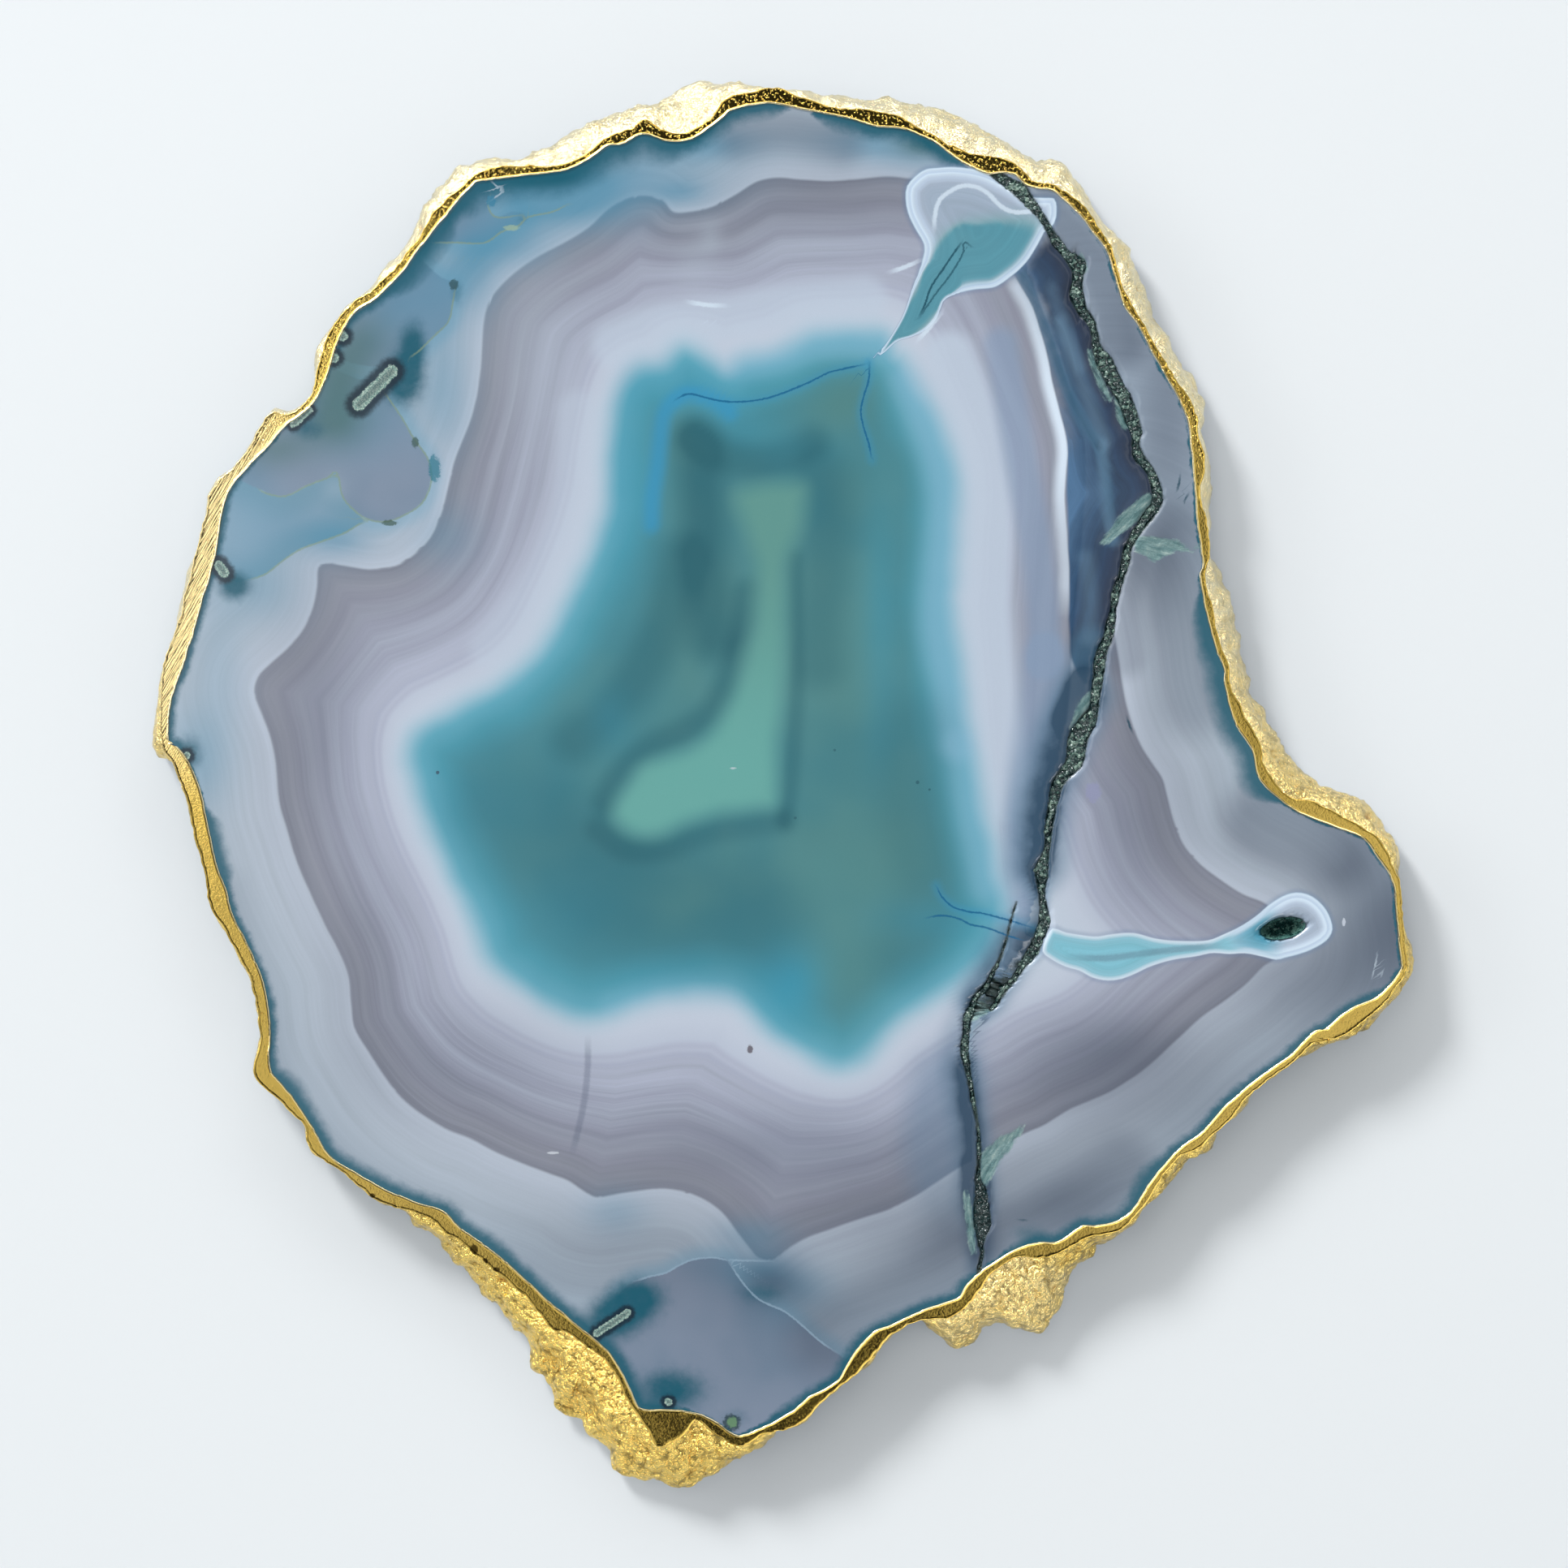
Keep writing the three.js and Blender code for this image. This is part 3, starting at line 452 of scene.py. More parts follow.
# %% Course and half width of the fissure
MAIN_FISSURE = [
    (37.3, 108.3, .8), (40, 106.5, 1), (42, 105.2, 1.3), (43.3, 103.5, 1), (45, 101.5, .7),
    (46.2, 99.8, .6), (47.3, 97.8, .6), (48.3, 96.2, .8), (49.8, 94.3, .7), (51, 93, 1), (52.2, 92, 1.4),
    (52.1, 89.5, .9), (51.9, 87, 1.2), (52.8, 84.2, .9), (54.5, 82, .7), (55.2, 79.5, .6),
    (55.6, 77, .8), (56.8, 75, 1.4),
    (58, 72.5, 1.4), (59.3, 70, 1.2), (60.6, 67.8, 1.2), (61.6, 65, 1.2), (62.5, 62.5, .9), (62.4, 60, .7),
    (63, 58, .9), (64.6, 56, .7), (65.6, 54, .8), (66.2, 51.8, .9), (66.3, 50, .8), (65, 48, 1),
    (63.5, 46, .8), (62, 43.8, .7), (60.9, 41.5, .7), (60.6, 39.5, .8), (60, 37.3, .6), (59.2, 35, .7),
    (58.7, 33, .7), (58.4, 30.8, .5), (58, 28.5, .8), (57.5, 26, .8), (56.5, 23.8, .9), (56, 21.5, 1),
    (55.8, 19, .9), (55.3, 16, .8), (55, 13.5, .8), (54.1, 11.5, 1.4), (52.9, 9.5, 1.6), (52, 7.5, 1.7),
    (51.8, 5, 1.6), (51.3, 3.5, 1.4), (49.8, 1.8, 1.1), (48.6, .2, 1), (48, -2, .9), (47.5, -4.5, .7),
    (47, -7.5, .7), (46.8, -10.5, .5), (46.3, -13, .7), (45.7, -15, 1.2), (45.7, -17.2, .9),
    (45.7, -19.5, .5), (46, -22, .7), (46.2, -24.5, 1), (45.3, -27, .9), (44.2, -29.5, 1), (42.4, -32, .7),
    (40.8, -34.5, .5), (38.8, -36.5, .7), (37.6, -38.8, .5), (36.7, -40, .3),
]
LOWER_FISSURE = [
    (41.2, -21, .12), (40.3, -24, .16), (39.7, -26.5, .18), (39, -29, .2), (38, -31.5, .25),
    (36.8, -34, .4), (35.7, -36.2, .6), (34.2, -37.5, .5), (33.5, -39.3, .6), (32.6, -41.5, .7),
    (32.3, -44, .6), (32, -47, .7), (32.4, -49.5, .6), (32.7, -51.5, .4), (33.2, -54, .4),
    (33.6, -56.5, .4),
    (34.1, -59, .2), (34.5, -62, .25), (34.6, -65, .35), (34.5, -68, .3), (34.4, -70.2, .5),
    (34.9, -72, .9), (35.0, -75, 1.3), (35.2, -78, 1.5), (35.0, -80, .9), (34.9, -82, .4), (35.2, -83, .3),
    (34.8, -85, .35), (34.5, -87, .4),
]
FISSURE_FAR = 14.0
FISSURE_SPACING = 0.6
DIVIDE_PER_SPAN = 4
LOWER_FROM = 9


def fissure_at(points):
    """For each point: the distance to the nearer branch, the direction away from it, the half width there,
    and whether the point lies on the broad western side of the stone. The dividing line follows the main
    branch, and below its end the lower one from its point number LOWER_FROM on."""
    count = len(points)
    gap, width = np.full(count, np.inf), np.zeros(count)
    away = np.zeros((count, 2))
    for picked in (MAIN_FISSURE, LOWER_FISSURE):
        line = resample(smooth_line(picked, False, 6), FISSURE_SPACING)
        near = np.flatnonzero(near_box(points, line, FISSURE_FAR))
        dist, _, along, _ = place_of(points[near], line, False)
        closer = dist < gap[near]
        nearest = np.column_stack([np.interp(along, np.arange(len(line)), line[:, k]) for k in range(3)])
        chosen = near[closer]
        gap[chosen] = dist[closer]
        width[chosen] = nearest[closer, 2]
        away[chosen] = points[chosen] - nearest[closer, :2]
    main, lower = [smooth_line(branch, False, DIVIDE_PER_SPAN)[:, :2]
                   for branch in (MAIN_FISSURE, LOWER_FISSURE)]
    divide = np.vstack([main, lower[LOWER_FROM * DIVIDE_PER_SPAN:]])
    order = np.argsort(divide[:, 1])
    west = points[:, 0] < np.interp(points[:, 1], divide[order, 1], divide[order, 0])
    gap = np.minimum(gap, FISSURE_FAR)
    return gap, away / np.maximum(np.hypot(*away.T), 1e-6)[:, None], width, west


print("the fissure's branches were picked with", len(MAIN_FISSURE), "and", len(LOWER_FISSURE), "points")

# %% [markdown]
# ## One grid for the polished face
# The colours of the bands come from distances that are stored at the mesh's points, so the mesh has to be
# fine and even. A square grid is stretched over the face: each square ring of it becomes a smaller copy of
# the outline. A round fan of triangles would be needlessly fine in the middle and coarse at the rim. Along
# the fissure and round the open hollow the grid is pulled together, because the surface is steep there.

# %% Grid over the face
FRONT_CELLS = 272
BACK_CELLS = 136
FACE_LEVEL = 8.7
BACK_LEVEL = 0.3
TUCK = 0.7
FISSURE_REACH = 6.0
FISSURE_PINCH = 0.32
HELD_SHARE = 0.04
HOLLOW_CENTRE = np.array([88.5, -25.6])
HOLLOW_HALF = (4.0, 1.85)
HOLLOW_TURN = math.radians(11)
HOLLOW_REACH = 9.0
HOLLOW_PINCH = 0.42
HOLLOW_FAR = 4.0


def square_to_outline(cells, ring_points, centre=FAN_CENTRE):
    """Square ring number k keeps its 8k points and becomes the outline at k over all rings of its size.
    Gives the points, and how far out each lies from 0 in the middle to 1 on the outline."""
    half = cells // 2
    u, v = np.meshgrid(np.arange(-half, half + 1), np.arange(-half, half + 1), indexing="ij")
    ring = np.maximum(np.abs(u), np.abs(v))
    size = np.maximum(ring, 1)
    turn = np.where((u == ring) & (v > -ring), v / size,
           np.where(v == ring, 2 - u / size,
           np.where(u == -ring, 4 - v / size, 6 + u / size)))
    place = (turn % 8) / 8 * len(ring_points)
    low = np.floor(place).astype(int)
    share = (place - low)[..., None]
    following = ring_points[(low + 1) % len(ring_points)]
    edge = ring_points[low % len(ring_points)] * (1 - share) + following * share
    outness = ring / half
    return centre + (edge - centre) * outness[..., None], outness


def border_of(cells):
    """Grid numbers of the outer ring's points, anticlockwise from the middle of the right side."""
    half, row = cells // 2, cells + 1
    up = [(cells, j) for j in range(half, cells)]
    across = [(i, cells) for i in range(cells, 0, -1)]
    down = [(0, j) for j in range(cells, 0, -1)]
    back = [(i, 0) for i in range(cells)]
    last = [(cells, j) for j in range(half)]
    return np.array([i * row + j for i, j in up + across + down + back + last])


def hollow_place(points):
    """Where points lie in the hollow's own oval: 0 at its middle and 1 on its rim."""
    away = points - HOLLOW_CENTRE
    c, s = math.cos(HOLLOW_TURN), math.sin(HOLLOW_TURN)
    long_way = (away[:, 0] * c + away[:, 1] * s) / HOLLOW_HALF[0]
    short_way = (away[:, 1] * c - away[:, 0] * s) / HOLLOW_HALF[1]
    return np.hypot(long_way, short_way)


def from_hollow(long_way, short_way):
    """Points at these millimetres along the hollow's long and short way, turned as it is turned."""
    c, s = math.cos(HOLLOW_TURN), math.sin(HOLLOW_TURN)
    return HOLLOW_CENTRE + np.column_stack([long_way * c - short_way * s, long_way * s + short_way * c])


def pull_together(points, outness):
    """Draws grid lines towards the fissure and the hollow: a distance d becomes d times a share that is
    small beside them and grows to 1 at their reach. The outermost points stay where they are."""
    hold = ramp(1 - outness, 0, HELD_SHARE)[:, None]
    gap, away, _, _ = fissure_at(points)
    share = FISSURE_PINCH + (1 - FISSURE_PINCH) * ramp(gap, 0, FISSURE_REACH)
    points = points + away * (gap * (share - 1) * (gap < FISSURE_REACH))[:, None] * hold
    away = points - HOLLOW_CENTRE
    share = HOLLOW_PINCH + (1 - HOLLOW_PINCH) * ramp(np.hypot(*away.T), 0, HOLLOW_REACH)
    return points + away * (share - 1)[:, None] * hold


# %% [markdown]
# ## Picked lines of the pattern
# Each list below holds one boundary that can be seen on the face, or several of one kind: the edge of the
# teal core, the sharp edge of the mauve bands, the pale pockets, the islands near the rim and the fine
# cracks. They are given with as few points as their shape needs.

# %% Core, mauve bands and what they enclose
CORE_EDGE = [
    (-28.9, 69.5), (-25.9, 73), (-21.4, 74.3), (-18.3, 77.4), (-16, 77), (-12.4, 74.7), (-10.2, 73.8),
    (-7.1, 75.6), (-1.7, 76.5), (2.8, 78.8), (6.4, 79.9), (13.5, 80.1), (17.9, 80.1), (20.2, 76.5),
    (21.4, 76), (24.3, 70.1), (27.2, 64.3), (29.8, 58), (30.8, 51.5), (30.3, 43), (30.1, 35.4),
    (29.5, 32.7), (30.8, 23), (32.1, 13.4), (33.7, 3.7), (35.4, -5.9), (37, -15.5), (38.6, -22),
    (37.3, -28.3), (32.8, -33.5), (25.8, -38.7), (19.3, -43.5), (14.5, -48.4), (10.2, -50), (5.5, -48.4),
    (0.5, -46), (-4.5, -42.5), (-8.3, -38.7), (-14.1, -37.7), (-20.6, -38), (-26.9, -39.7),
    (-34.7, -41.6), (-41.2, -40), (-47.5, -36.1), (-52.7, -31.7), (-55.3, -23.9), (-59.1, -15.5),
    (-62.9, -7.9), (-65.2, -0.7), (-66.2, 5.6), (-64.9, 8.9), (-61.6, 11.4), (-55.3, 14.7),
    (-48.8, 18.4), (-43.6, 23.6), (-39.9, 30.1), (-36.5, 37.1), (-33.5, 44), (-31.5, 51.5),
    (-30.8, 61.2),
]
MAUVE_UPPER = [
    (-92.5, 12), (-93.9, 16), (-93.2, 19), (-91, 21.3), (-88, 24), (-85.3, 27.5), (-83.6, 31),
    (-82.8, 35), (-82.6, 38.5), (-81, 39.3), (-77, 38.6), (-73, 38.1), (-69, 38.6), (-65.5, 40.8),
    (-62.5, 44), (-60.8, 48), (-59.6, 53), (-58.2, 58), (-56, 63.5), (-54.5, 68.5), (-53.8, 74),
    (-53.4, 80), (-52.8, 84.5), (-51, 87.5), (-47.5, 90.8), (-43, 94), (-38.5, 96.3), (-34.5, 98.8),
    (-31, 102), (-27.5, 104), (-24, 104.3), (-21.5, 103.5), (-19.7, 101.5), (-17, 101.5),
    (-13, 102.3), (-9, 104.3), (-5, 106.8), (-1, 107.5), (3, 107.2), (8, 107), (13, 107.3),
    (18, 107.8), (22, 107.5), (32, 106), (41, 96), (46, 84), (50, 72), (53, 62), (53.5, 52),
    (52.5, 40), (51.5, 28), (50.5, 14), (48.5, 0), (46.5, -12), (45, -20),
]
MAUVE_LOWER = [
    (33.5, -66.8), (31.5, -67.8), (28, -70), (23.5, -73), (19, -75.3), (14, -77), (9, -78.8),
    (4.5, -80.3), (1, -82.2), (-2, -84.4), (-4.5, -84), (-6, -82.5), (-8, -79.8), (-10, -77),
    (-12.3, -74.8), (-15.5, -73), (-19.5, -72), (-23.5, -71.9), (-27.5, -72.4), (-31, -73),
    (-33.5, -73.2), (-36, -71.9), (-38.5, -70.3), (-42, -69), (-46.5, -67.3), (-51, -65.3),
    (-55.5, -63), (-60, -61.2), (-64.5, -58.5), (-68.5, -55), (-71.5, -51), (-74, -47),
    (-76.2, -43), (-76.8, -39), (-77.2, -34.5), (-78.8, -30), (-81.5, -25), (-84, -19.5),
    (-86.3, -14), (-88.2, -8), (-89.5, -3), (-90, 2), (-90.2, 4), (-91, 8), (-92.5, 12),
]
MAUVE_EAST_UPPER = [
    (57.6, 32), (58.9, 25), (59.5, 21), (60.3, 16), (61.5, 11.5), (63.3, 7), (65.3, 3.8), (67.2, 1),
    (68, -2), (69, -6), (70.8, -10.5), (74, -14.3), (77.5, -17), (81.5, -19.5), (85, -21), (88, -23),
]
MAUVE_EAST_LOWER = [
    (89, -29.5), (87, -31.2), (85, -32.5), (82, -35.5), (78, -38.5), (74, -41.5), (70, -45),
    (66, -48.8), (62, -52), (58, -54.5), (54, -56.3), (50, -58), (46, -60.5), (42.5, -62), (34.9, -66),
]
POCKETS = [
    [(37, 108), (34, 109), (30, 109.5), (27, 109.3), (25, 109), (23.2, 107.8), (21.7, 106), (21.5, 103.5),
     (22, 101), (23.2, 98.5), (24.8, 95.5), (24.5, 93), (23.8, 90.5), (22.8, 88), (21.5, 84), (20, 81),
     (18, 78), (15.8, 75.6), (17.5, 76.3), (20, 78.5), (22.5, 79.3), (25, 80.5), (27, 82.5), (28.3, 85.8),
     (29.5, 86.5), (31.5, 87.2), (34, 87.7), (37, 88), (38.5, 88.7), (40, 89.8), (41.5, 91), (43.2, 92.8),
     (44.5, 94.8), (45.5, 96.5), (46.3, 98), (47.3, 98.5), (48.2, 100), (48.4, 102), (48, 103.8),
     (46, 104), (43.8, 104.2), (41, 106)],
    [(47.5, -25.6), (50, -26.3), (55, -27), (58, -26.6), (62, -26.4), (66, -27.4), (70, -27.8),
     (75, -27.7), (78, -26.6), (81, -25.2), (84, -23.2), (86, -21.4), (88.5, -19.8), (90.5, -19.2),
     (92.5, -19.4), (94.3, -20.3), (96, -22), (97, -24), (97.3, -26), (96.2, -27.8), (93.5, -29.4),
     (91, -30.3), (89, -30.8), (87.3, -31.2), (85, -30.7), (82, -30.1), (79, -30.2), (76, -30),
     (73, -30.6), (69, -31.2), (65, -32.4), (62, -33.8), (59.5, -34.7), (57, -34.9), (54.5, -34.3),
     (52.5, -33.2), (50, -32.5), (47.5, -31.2), (45.8, -29.5)],
]
INNER_FIGURE = [
    (-8.5, 51.5), (-2, 53.4), (3.5, 53), (3.8, 50), (3, 46), (1, 41.5), (.2, 37), (.2, 30), (0, 22),
    (-.8, 14), (-1.5, 6), (-1.5, 0), (-1.8, -3.5), (-5, -4.3), (-10, -4.8), (-14, -5.6), (-18, -7),
    (-22, -8.8), (-25.5, -9), (-28.5, -7.5), (-30, -5.5), (-29.5, -3), (-27, .5), (-25, 3),
    (-21, 4.7), (-16, 6.5), (-12.5, 9.5), (-10, 13.5), (-8, 18), (-6.5, 23), (-5.3, 28), (-4.8, 38),
    (-6, 43), (-7.5, 47),
]
SMOKE = [
    (41, 91), (43.4, 86), (45.4, 80), (46.9, 73.5), (48.4, 67.5), (49.8, 62), (50.2, 57), (49.9, 52),
    (50.2, 44), (50.3, 34), (50.4, 26), (50.9, 21.5), (54.5, 17), (60, 22), (64, 34), (66, 44), (70, 52),
    (66, 60), (61, 72), (57, 82), (55, 92), (49, 98), (45, 97),
]
FLARE_LINE = [
    (40.3, 90.5), (42, 87.5), (43.6, 84.5), (45.2, 80), (46.3, 76), (47.2, 71.5), (48.4, 67), (49.5, 62.5),
    (50, 58.5), (49.6, 54), (49.4, 50), (49.8, 45), (50.2, 38), (50.3, 30),
]

# %% Islands near the rim, chips beside the fissure
ISLANDS = [
    [(-104, 50), (-93.3, 52.4), (-92, 51.6), (-88.5, 51), (-85, 52.7), (-82.3, 53.8), (-80.5, 54.5),
     (-79.8, 55.8), (-79, 54.5), (-78.3, 51), (-76.5, 48.8), (-74, 47), (-70.5, 46.5), (-67.5, 47.6),
     (-64.5, 49.5), (-63, 52), (-62.5, 55), (-63.3, 58), (-65.5, 61), (-67.5, 64.5), (-69.5, 67.5),
     (-71.3, 70), (-76, 72), (-84, 74), (-96, 66)],
    [(-66, 94), (-62, 96), (-58, 96), (-53, 96), (-50, 98), (-47, 99), (-45.5, 100.5), (-48, 101.5),
     (-51, 100.5), (-52.5, 102.5), (-52, 104.5), (-54, 110), (-62, 106)],
    [(-30, -92), (-26.8, -88.3), (-24, -87.4), (-21, -86.7), (-18.5, -85.3), (-16, -84.3),
     (-12.5, -84), (-10, -84.4), (-8, -87.5), (-6, -90), (-4, -91.7), (0, -93.5), (3, -95.8),
     (6, -98.5), (9.5, -101), (14, -106), (0, -118), (-20, -118), (-32, -104)],
    [(-66.5, 75.5), (-64.5, 77), (-62, 79.5), (-59.5, 82), (-58.8, 85), (-58.2, 88.5), (-61, 90),
     (-68, 94), (-84, 82), (-80, 76), (-72, 74)],
]
BLUE_WEDGE = [
    (-94, 52.6), (-92, 51.6), (-88.5, 51), (-85, 52.7), (-82.3, 53.8), (-80.5, 54.5), (-79.8, 55.8),
    (-79, 54.5), (-78.3, 51), (-76.5, 48.8), (-74.3, 46.6), (-75.5, 46), (-78, 44.5), (-82, 43),
    (-86, 41.5), (-89, 39.5), (-92, 37.2), (-95, 36.2), (-98, 36), (-108, 40), (-102, 55),
]
CHIPS = [
    (-60, [(51.5, 93.6), (52.6, 94.3), (53.9, 92.6), (54, 90.8), (52.8, 90.5)]),
    (-68, [(53.6, 77.2), (54.6, 77.4), (55.6, 74.6), (56.9, 71.2), (58.3, 68), (57.2, 67.4), (55.6, 70.6),
           (54.3, 74)]),
    (-50, [(58.4, 69.6), (60.2, 69.8), (62.4, 67.4), (62.2, 63.6), (60.2, 62.6), (59, 64.4)]),
    (44, [(66, 51.2), (65.5, 49.4), (62.6, 46.4), (59.6, 44), (57, 42.2), (55.6, 42.6), (57.6, 45),
          (59.2, 47.4), (62, 50), (64.2, 51.8)]),
    (-12, [(61.6, 43.8), (65, 44.1), (67.8, 43.7), (70, 43.3), (71.3, 42.3), (72.2, 41.6), (73.8, 42.8),
           (74.4, 42.2), (72.4, 41), (69.5, 41.2), (67, 39.9), (65.6, 39.2), (63.8, 40.5), (62.2, 41.2)]),
    (58, [(54.8, 17), (52.5, 15), (51.5, 13), (50.6, 9.6), (51.8, 9.8), (53.2, 12.2), (55, 14.4)]),
    (-20, [(33.4, -37.8), (37.6, -39.3), (37.2, -40.2), (35.5, -41.2), (32.8, -42.5)]),
    (56, [(42.9, -59.8), (42.2, -62.2), (41.3, -63), (40.3, -65), (38.5, -67), (37.3, -69), (35.8, -71.5),
          (34.8, -71), (34.7, -66), (36, -64.4), (38, -62.6), (40.4, -61.6)]),
    (-84, [(31.6, -72.4), (32.6, -71.6), (33.4, -75), (33.8, -79), (34.2, -83.5), (33.2, -83.8),
           (32.2, -79)]),
]

# %% Fine cracks and lines
BLUE_CRACKS = [
    [(14.5, 74.5), (11, 73.7), (8, 73), (5, 71.5), (2, 70.2), (-2, 68.7), (-6, 67.9), (-10, 67.8),
     (-13, 68.3), (-17, 69.2), (-19.5, 68)],
    [(15.2, 75), (15, 71.5), (14.2, 69), (13.6, 66), (14.2, 63), (15, 60.5), (15.6, 57.5)],
    [(27, -18), (28, -20), (30, -21.8), (33, -22.7), (35, -22.9), (40, -24.2), (44.5, -25.6)],
]
BLUE_TWINS = [[(25, -23.8), (28, -23.3), (31, -23.9), (33, -24.9), (36, -25.5), (40, -27), (43, -27.8)]]
BLUE_ARC = [(-9.6, 65.8), (-13, 68.3), (-17, 69.2), (-19.5, 68), (-21.3, 65.5), (-22, 61), (-22.5, 56),
            (-23.3, 51), (-23.5, 46)]
DARK_LINES = [
    [(31.7, 96.3), (30, 94), (28, 91), (26, 88), (25, 85), (23.8, 82.7)],
    [(70.3, 55), (70.0, 53), (69.6, 52)],
    [(71.8, 51.6), (71.2, 50.6), (70.9, 50)],
    [(60.8, 12), (61.2, 10.6), (61.8, 9)],
    [(41.6, -77.3), (43.2, -77.4)],
]
DARK_TWINS = [
    [(33.5, 95.2), (31.7, 96.3), (31.9, 94.6), (30.6, 92), (29, 89.6), (27.4, 87.6), (25.4, 84.8),
     (24, 82.6)],
]
PALE_LINES = [
    [(26.6, 98), (26.8, 101), (27.6, 103.6), (29.6, 105.2), (31.6, 106.1), (34, 105.9), (36, 104.9),
     (37.6, 103.3), (39, 102.1), (41, 101.4), (43, 101.5), (44.6, 101.4)],
    [(23.5, 78.5), (25.5, 80.6), (28.3, 84)],
    [(18.5, 90.7), (21.5, 91.7), (24.4, 93)],
    [(-17.5, 85.6), (-14, 85), (-10, 84.8)],
]
SCRATCHES = [
    [(104.2, -34.6), (104.8, -32.4), (105.3, -29.9)],
    [(105.8, -34.5), (106.4, -32.5)],
    [(-52, 107), (-50.6, 105.8), (-49.8, 106.2)],
    [(-52.4, 103), (-50.5, 104.6), (-49.4, 105.2)],
]
FAINT_LINES = [
    [(-34.8, -45), (-34.8, -50), (-35.4, -56), (-36.4, -61), (-37.6, -65.5)],
    [(50, -30.6), (57, -30.9), (64, -30), (71, -29.2), (78, -28.6)],
]
RIND_LINES = [
    [(-71.3, 70), (-69.5, 67.5), (-67.5, 64.5), (-65.5, 61), (-63.3, 58), (-62.5, 55), (-63, 52),
     (-64.5, 49.5), (-67.5, 47.6), (-70.5, 46.5), (-74, 47), (-76.5, 48.8), (-78.3, 51), (-79, 54.5),
     (-79.8, 55.8), (-80.5, 54.5), (-82.3, 53.8), (-85, 52.7), (-88.5, 51), (-92, 51.6), (-93.3, 52.4)],
    [(-62, 96), (-58, 96), (-53, 96), (-50, 98), (-47, 99), (-45.5, 100.5), (-41, 101.5), (-38, 103)],
    [(-46, 101), (-51, 100.5), (-52.5, 102.5), (-52, 104.5)],
    [(-66.5, 75.5), (-64.5, 77), (-62, 79.5), (-59.5, 82), (-58.8, 85), (-58.2, 88.5)],
    [(-26.8, -88.3), (-24, -87.4), (-21, -86.7), (-18.5, -85.3), (-16, -84.3), (-12.5, -84), (-10, -84.4),
     (-2, -84.6)],
    [(-10, -84.4), (-8, -87.5), (-6, -90), (-4, -91.7), (0, -93.5), (3, -95.8), (6, -98.5), (9.5, -101)],
    [(-74.5, 46.4), (-75.5, 46), (-78, 44.5), (-82, 43), (-86, 41.5), (-89, 39.5), (-92, 37.2),
     (-95, 36.2)],
]
THIN_LINES = {
    "blue_line": BLUE_CRACKS, "blue_twin": BLUE_TWINS, "dark_line": DARK_LINES, "dark_twin": DARK_TWINS,
    "pale_line": PALE_LINES, "rind_line": RIND_LINES, "scratch": SCRATCHES, "faint_line": FAINT_LINES,
    "flare_line": [FLARE_LINE],
}
print(sum(len(paths) for paths in THIN_LINES.values()), "fine lines in", len(THIN_LINES), "kinds")


# %% [markdown]
# ## Soft clouds of dye
# Dye soaked in unevenly, which leaves clouds with no clear edge. They are sums of broad brush strokes and
# oval blots, each given by its place, its size and how strong it is.

# %% Clouds
def clouds(points, strokes=(), blots=()):
    """Sum of strokes (strength, half width, softness, path) and blots (strength, centre, half sizes)."""
    total = np.zeros(len(points))
    for strength, half_width, softness, path in strokes:
        total += strength * stroke(points, path, half_width, softness)
    for strength, centre, half_x, half_y in blots:
        total += strength * blot(points, centre, half_x, half_y)
    return np.clip(total, 0, 1)


NAVY_STROKES = [
    (.8, 1.0, 7.0, [(53, 15.5), (50.8, 11), (49, 7), (47, 1), (45.4, -6), (45, -14)]),
    (.5, 1.0, 4.5, [(54.6, 24), (53, 17), (51.5, 12)]),
    (.5, .4, 2.2, [(52, 9), (49.5, 3), (47.5, -3), (46.6, -10), (45.4, -16), (45.4, -22), (44, -30)]),
    (.42, .3, 5.5, [(33, -41), (31.4, -46), (31.4, -50), (32.2, -56), (33.4, -62), (34, -68),
                    (33.8, -74)]),
    (.7, 1.5, 5, [(41, -28), (38, -33), (35.5, -37)]),
    (.32, .2, 3.4, [(32.4, -50), (33, -56), (33.8, -62), (34, -68), (33.4, -76), (33.8, -82)]),
    (.6, .8, 3, [(34.2, -68), (34.8, -76), (34.8, -86)]),
    (.25, 3, 8, [(29, -54), (28, -64), (30, -72)]),
    (.55, .25, 1.4, [(42, 90.5), (45, 84), (48, 76), (52, 66), (56, 60)]),
    (.4, .25, 1.2, [(56, 60), (57.4, 52), (58.2, 43)]),
]
BLUISH_STROKES = [
    (.75, 1.4, 3.0, [(38.5, 78), (40.2, 68), (42.2, 56), (44.4, 44), (45.8, 32), (46.2, 22)]),
    (.75, 2.0, 4, [(46.4, 22), (45, 10), (43.4, 0), (42.6, -12), (42, -20)]),
    (.8, 1.5, 4, [(42.5, -24), (38.5, -32), (34.5, -38)]),
    (.4, 2, 6, [(29, -52), (27, -58), (27, -66), (29, -72)]),
]
SMOKE_LIGHT = [
    (.45, .3, 1.7, [(49, 82), (51.5, 75), (54.5, 67), (57, 60.5)]),
    (.4, .3, 1.4, [(56.5, 60), (56.7, 54), (57.2, 48), (58.8, 43)]),
    (.3, .3, 1.6, [(47.5, 88), (50, 80), (52.5, 74)]),
    (.35, .3, 2.2, [(53.5, 40), (54.5, 33), (54, 26)]),
]
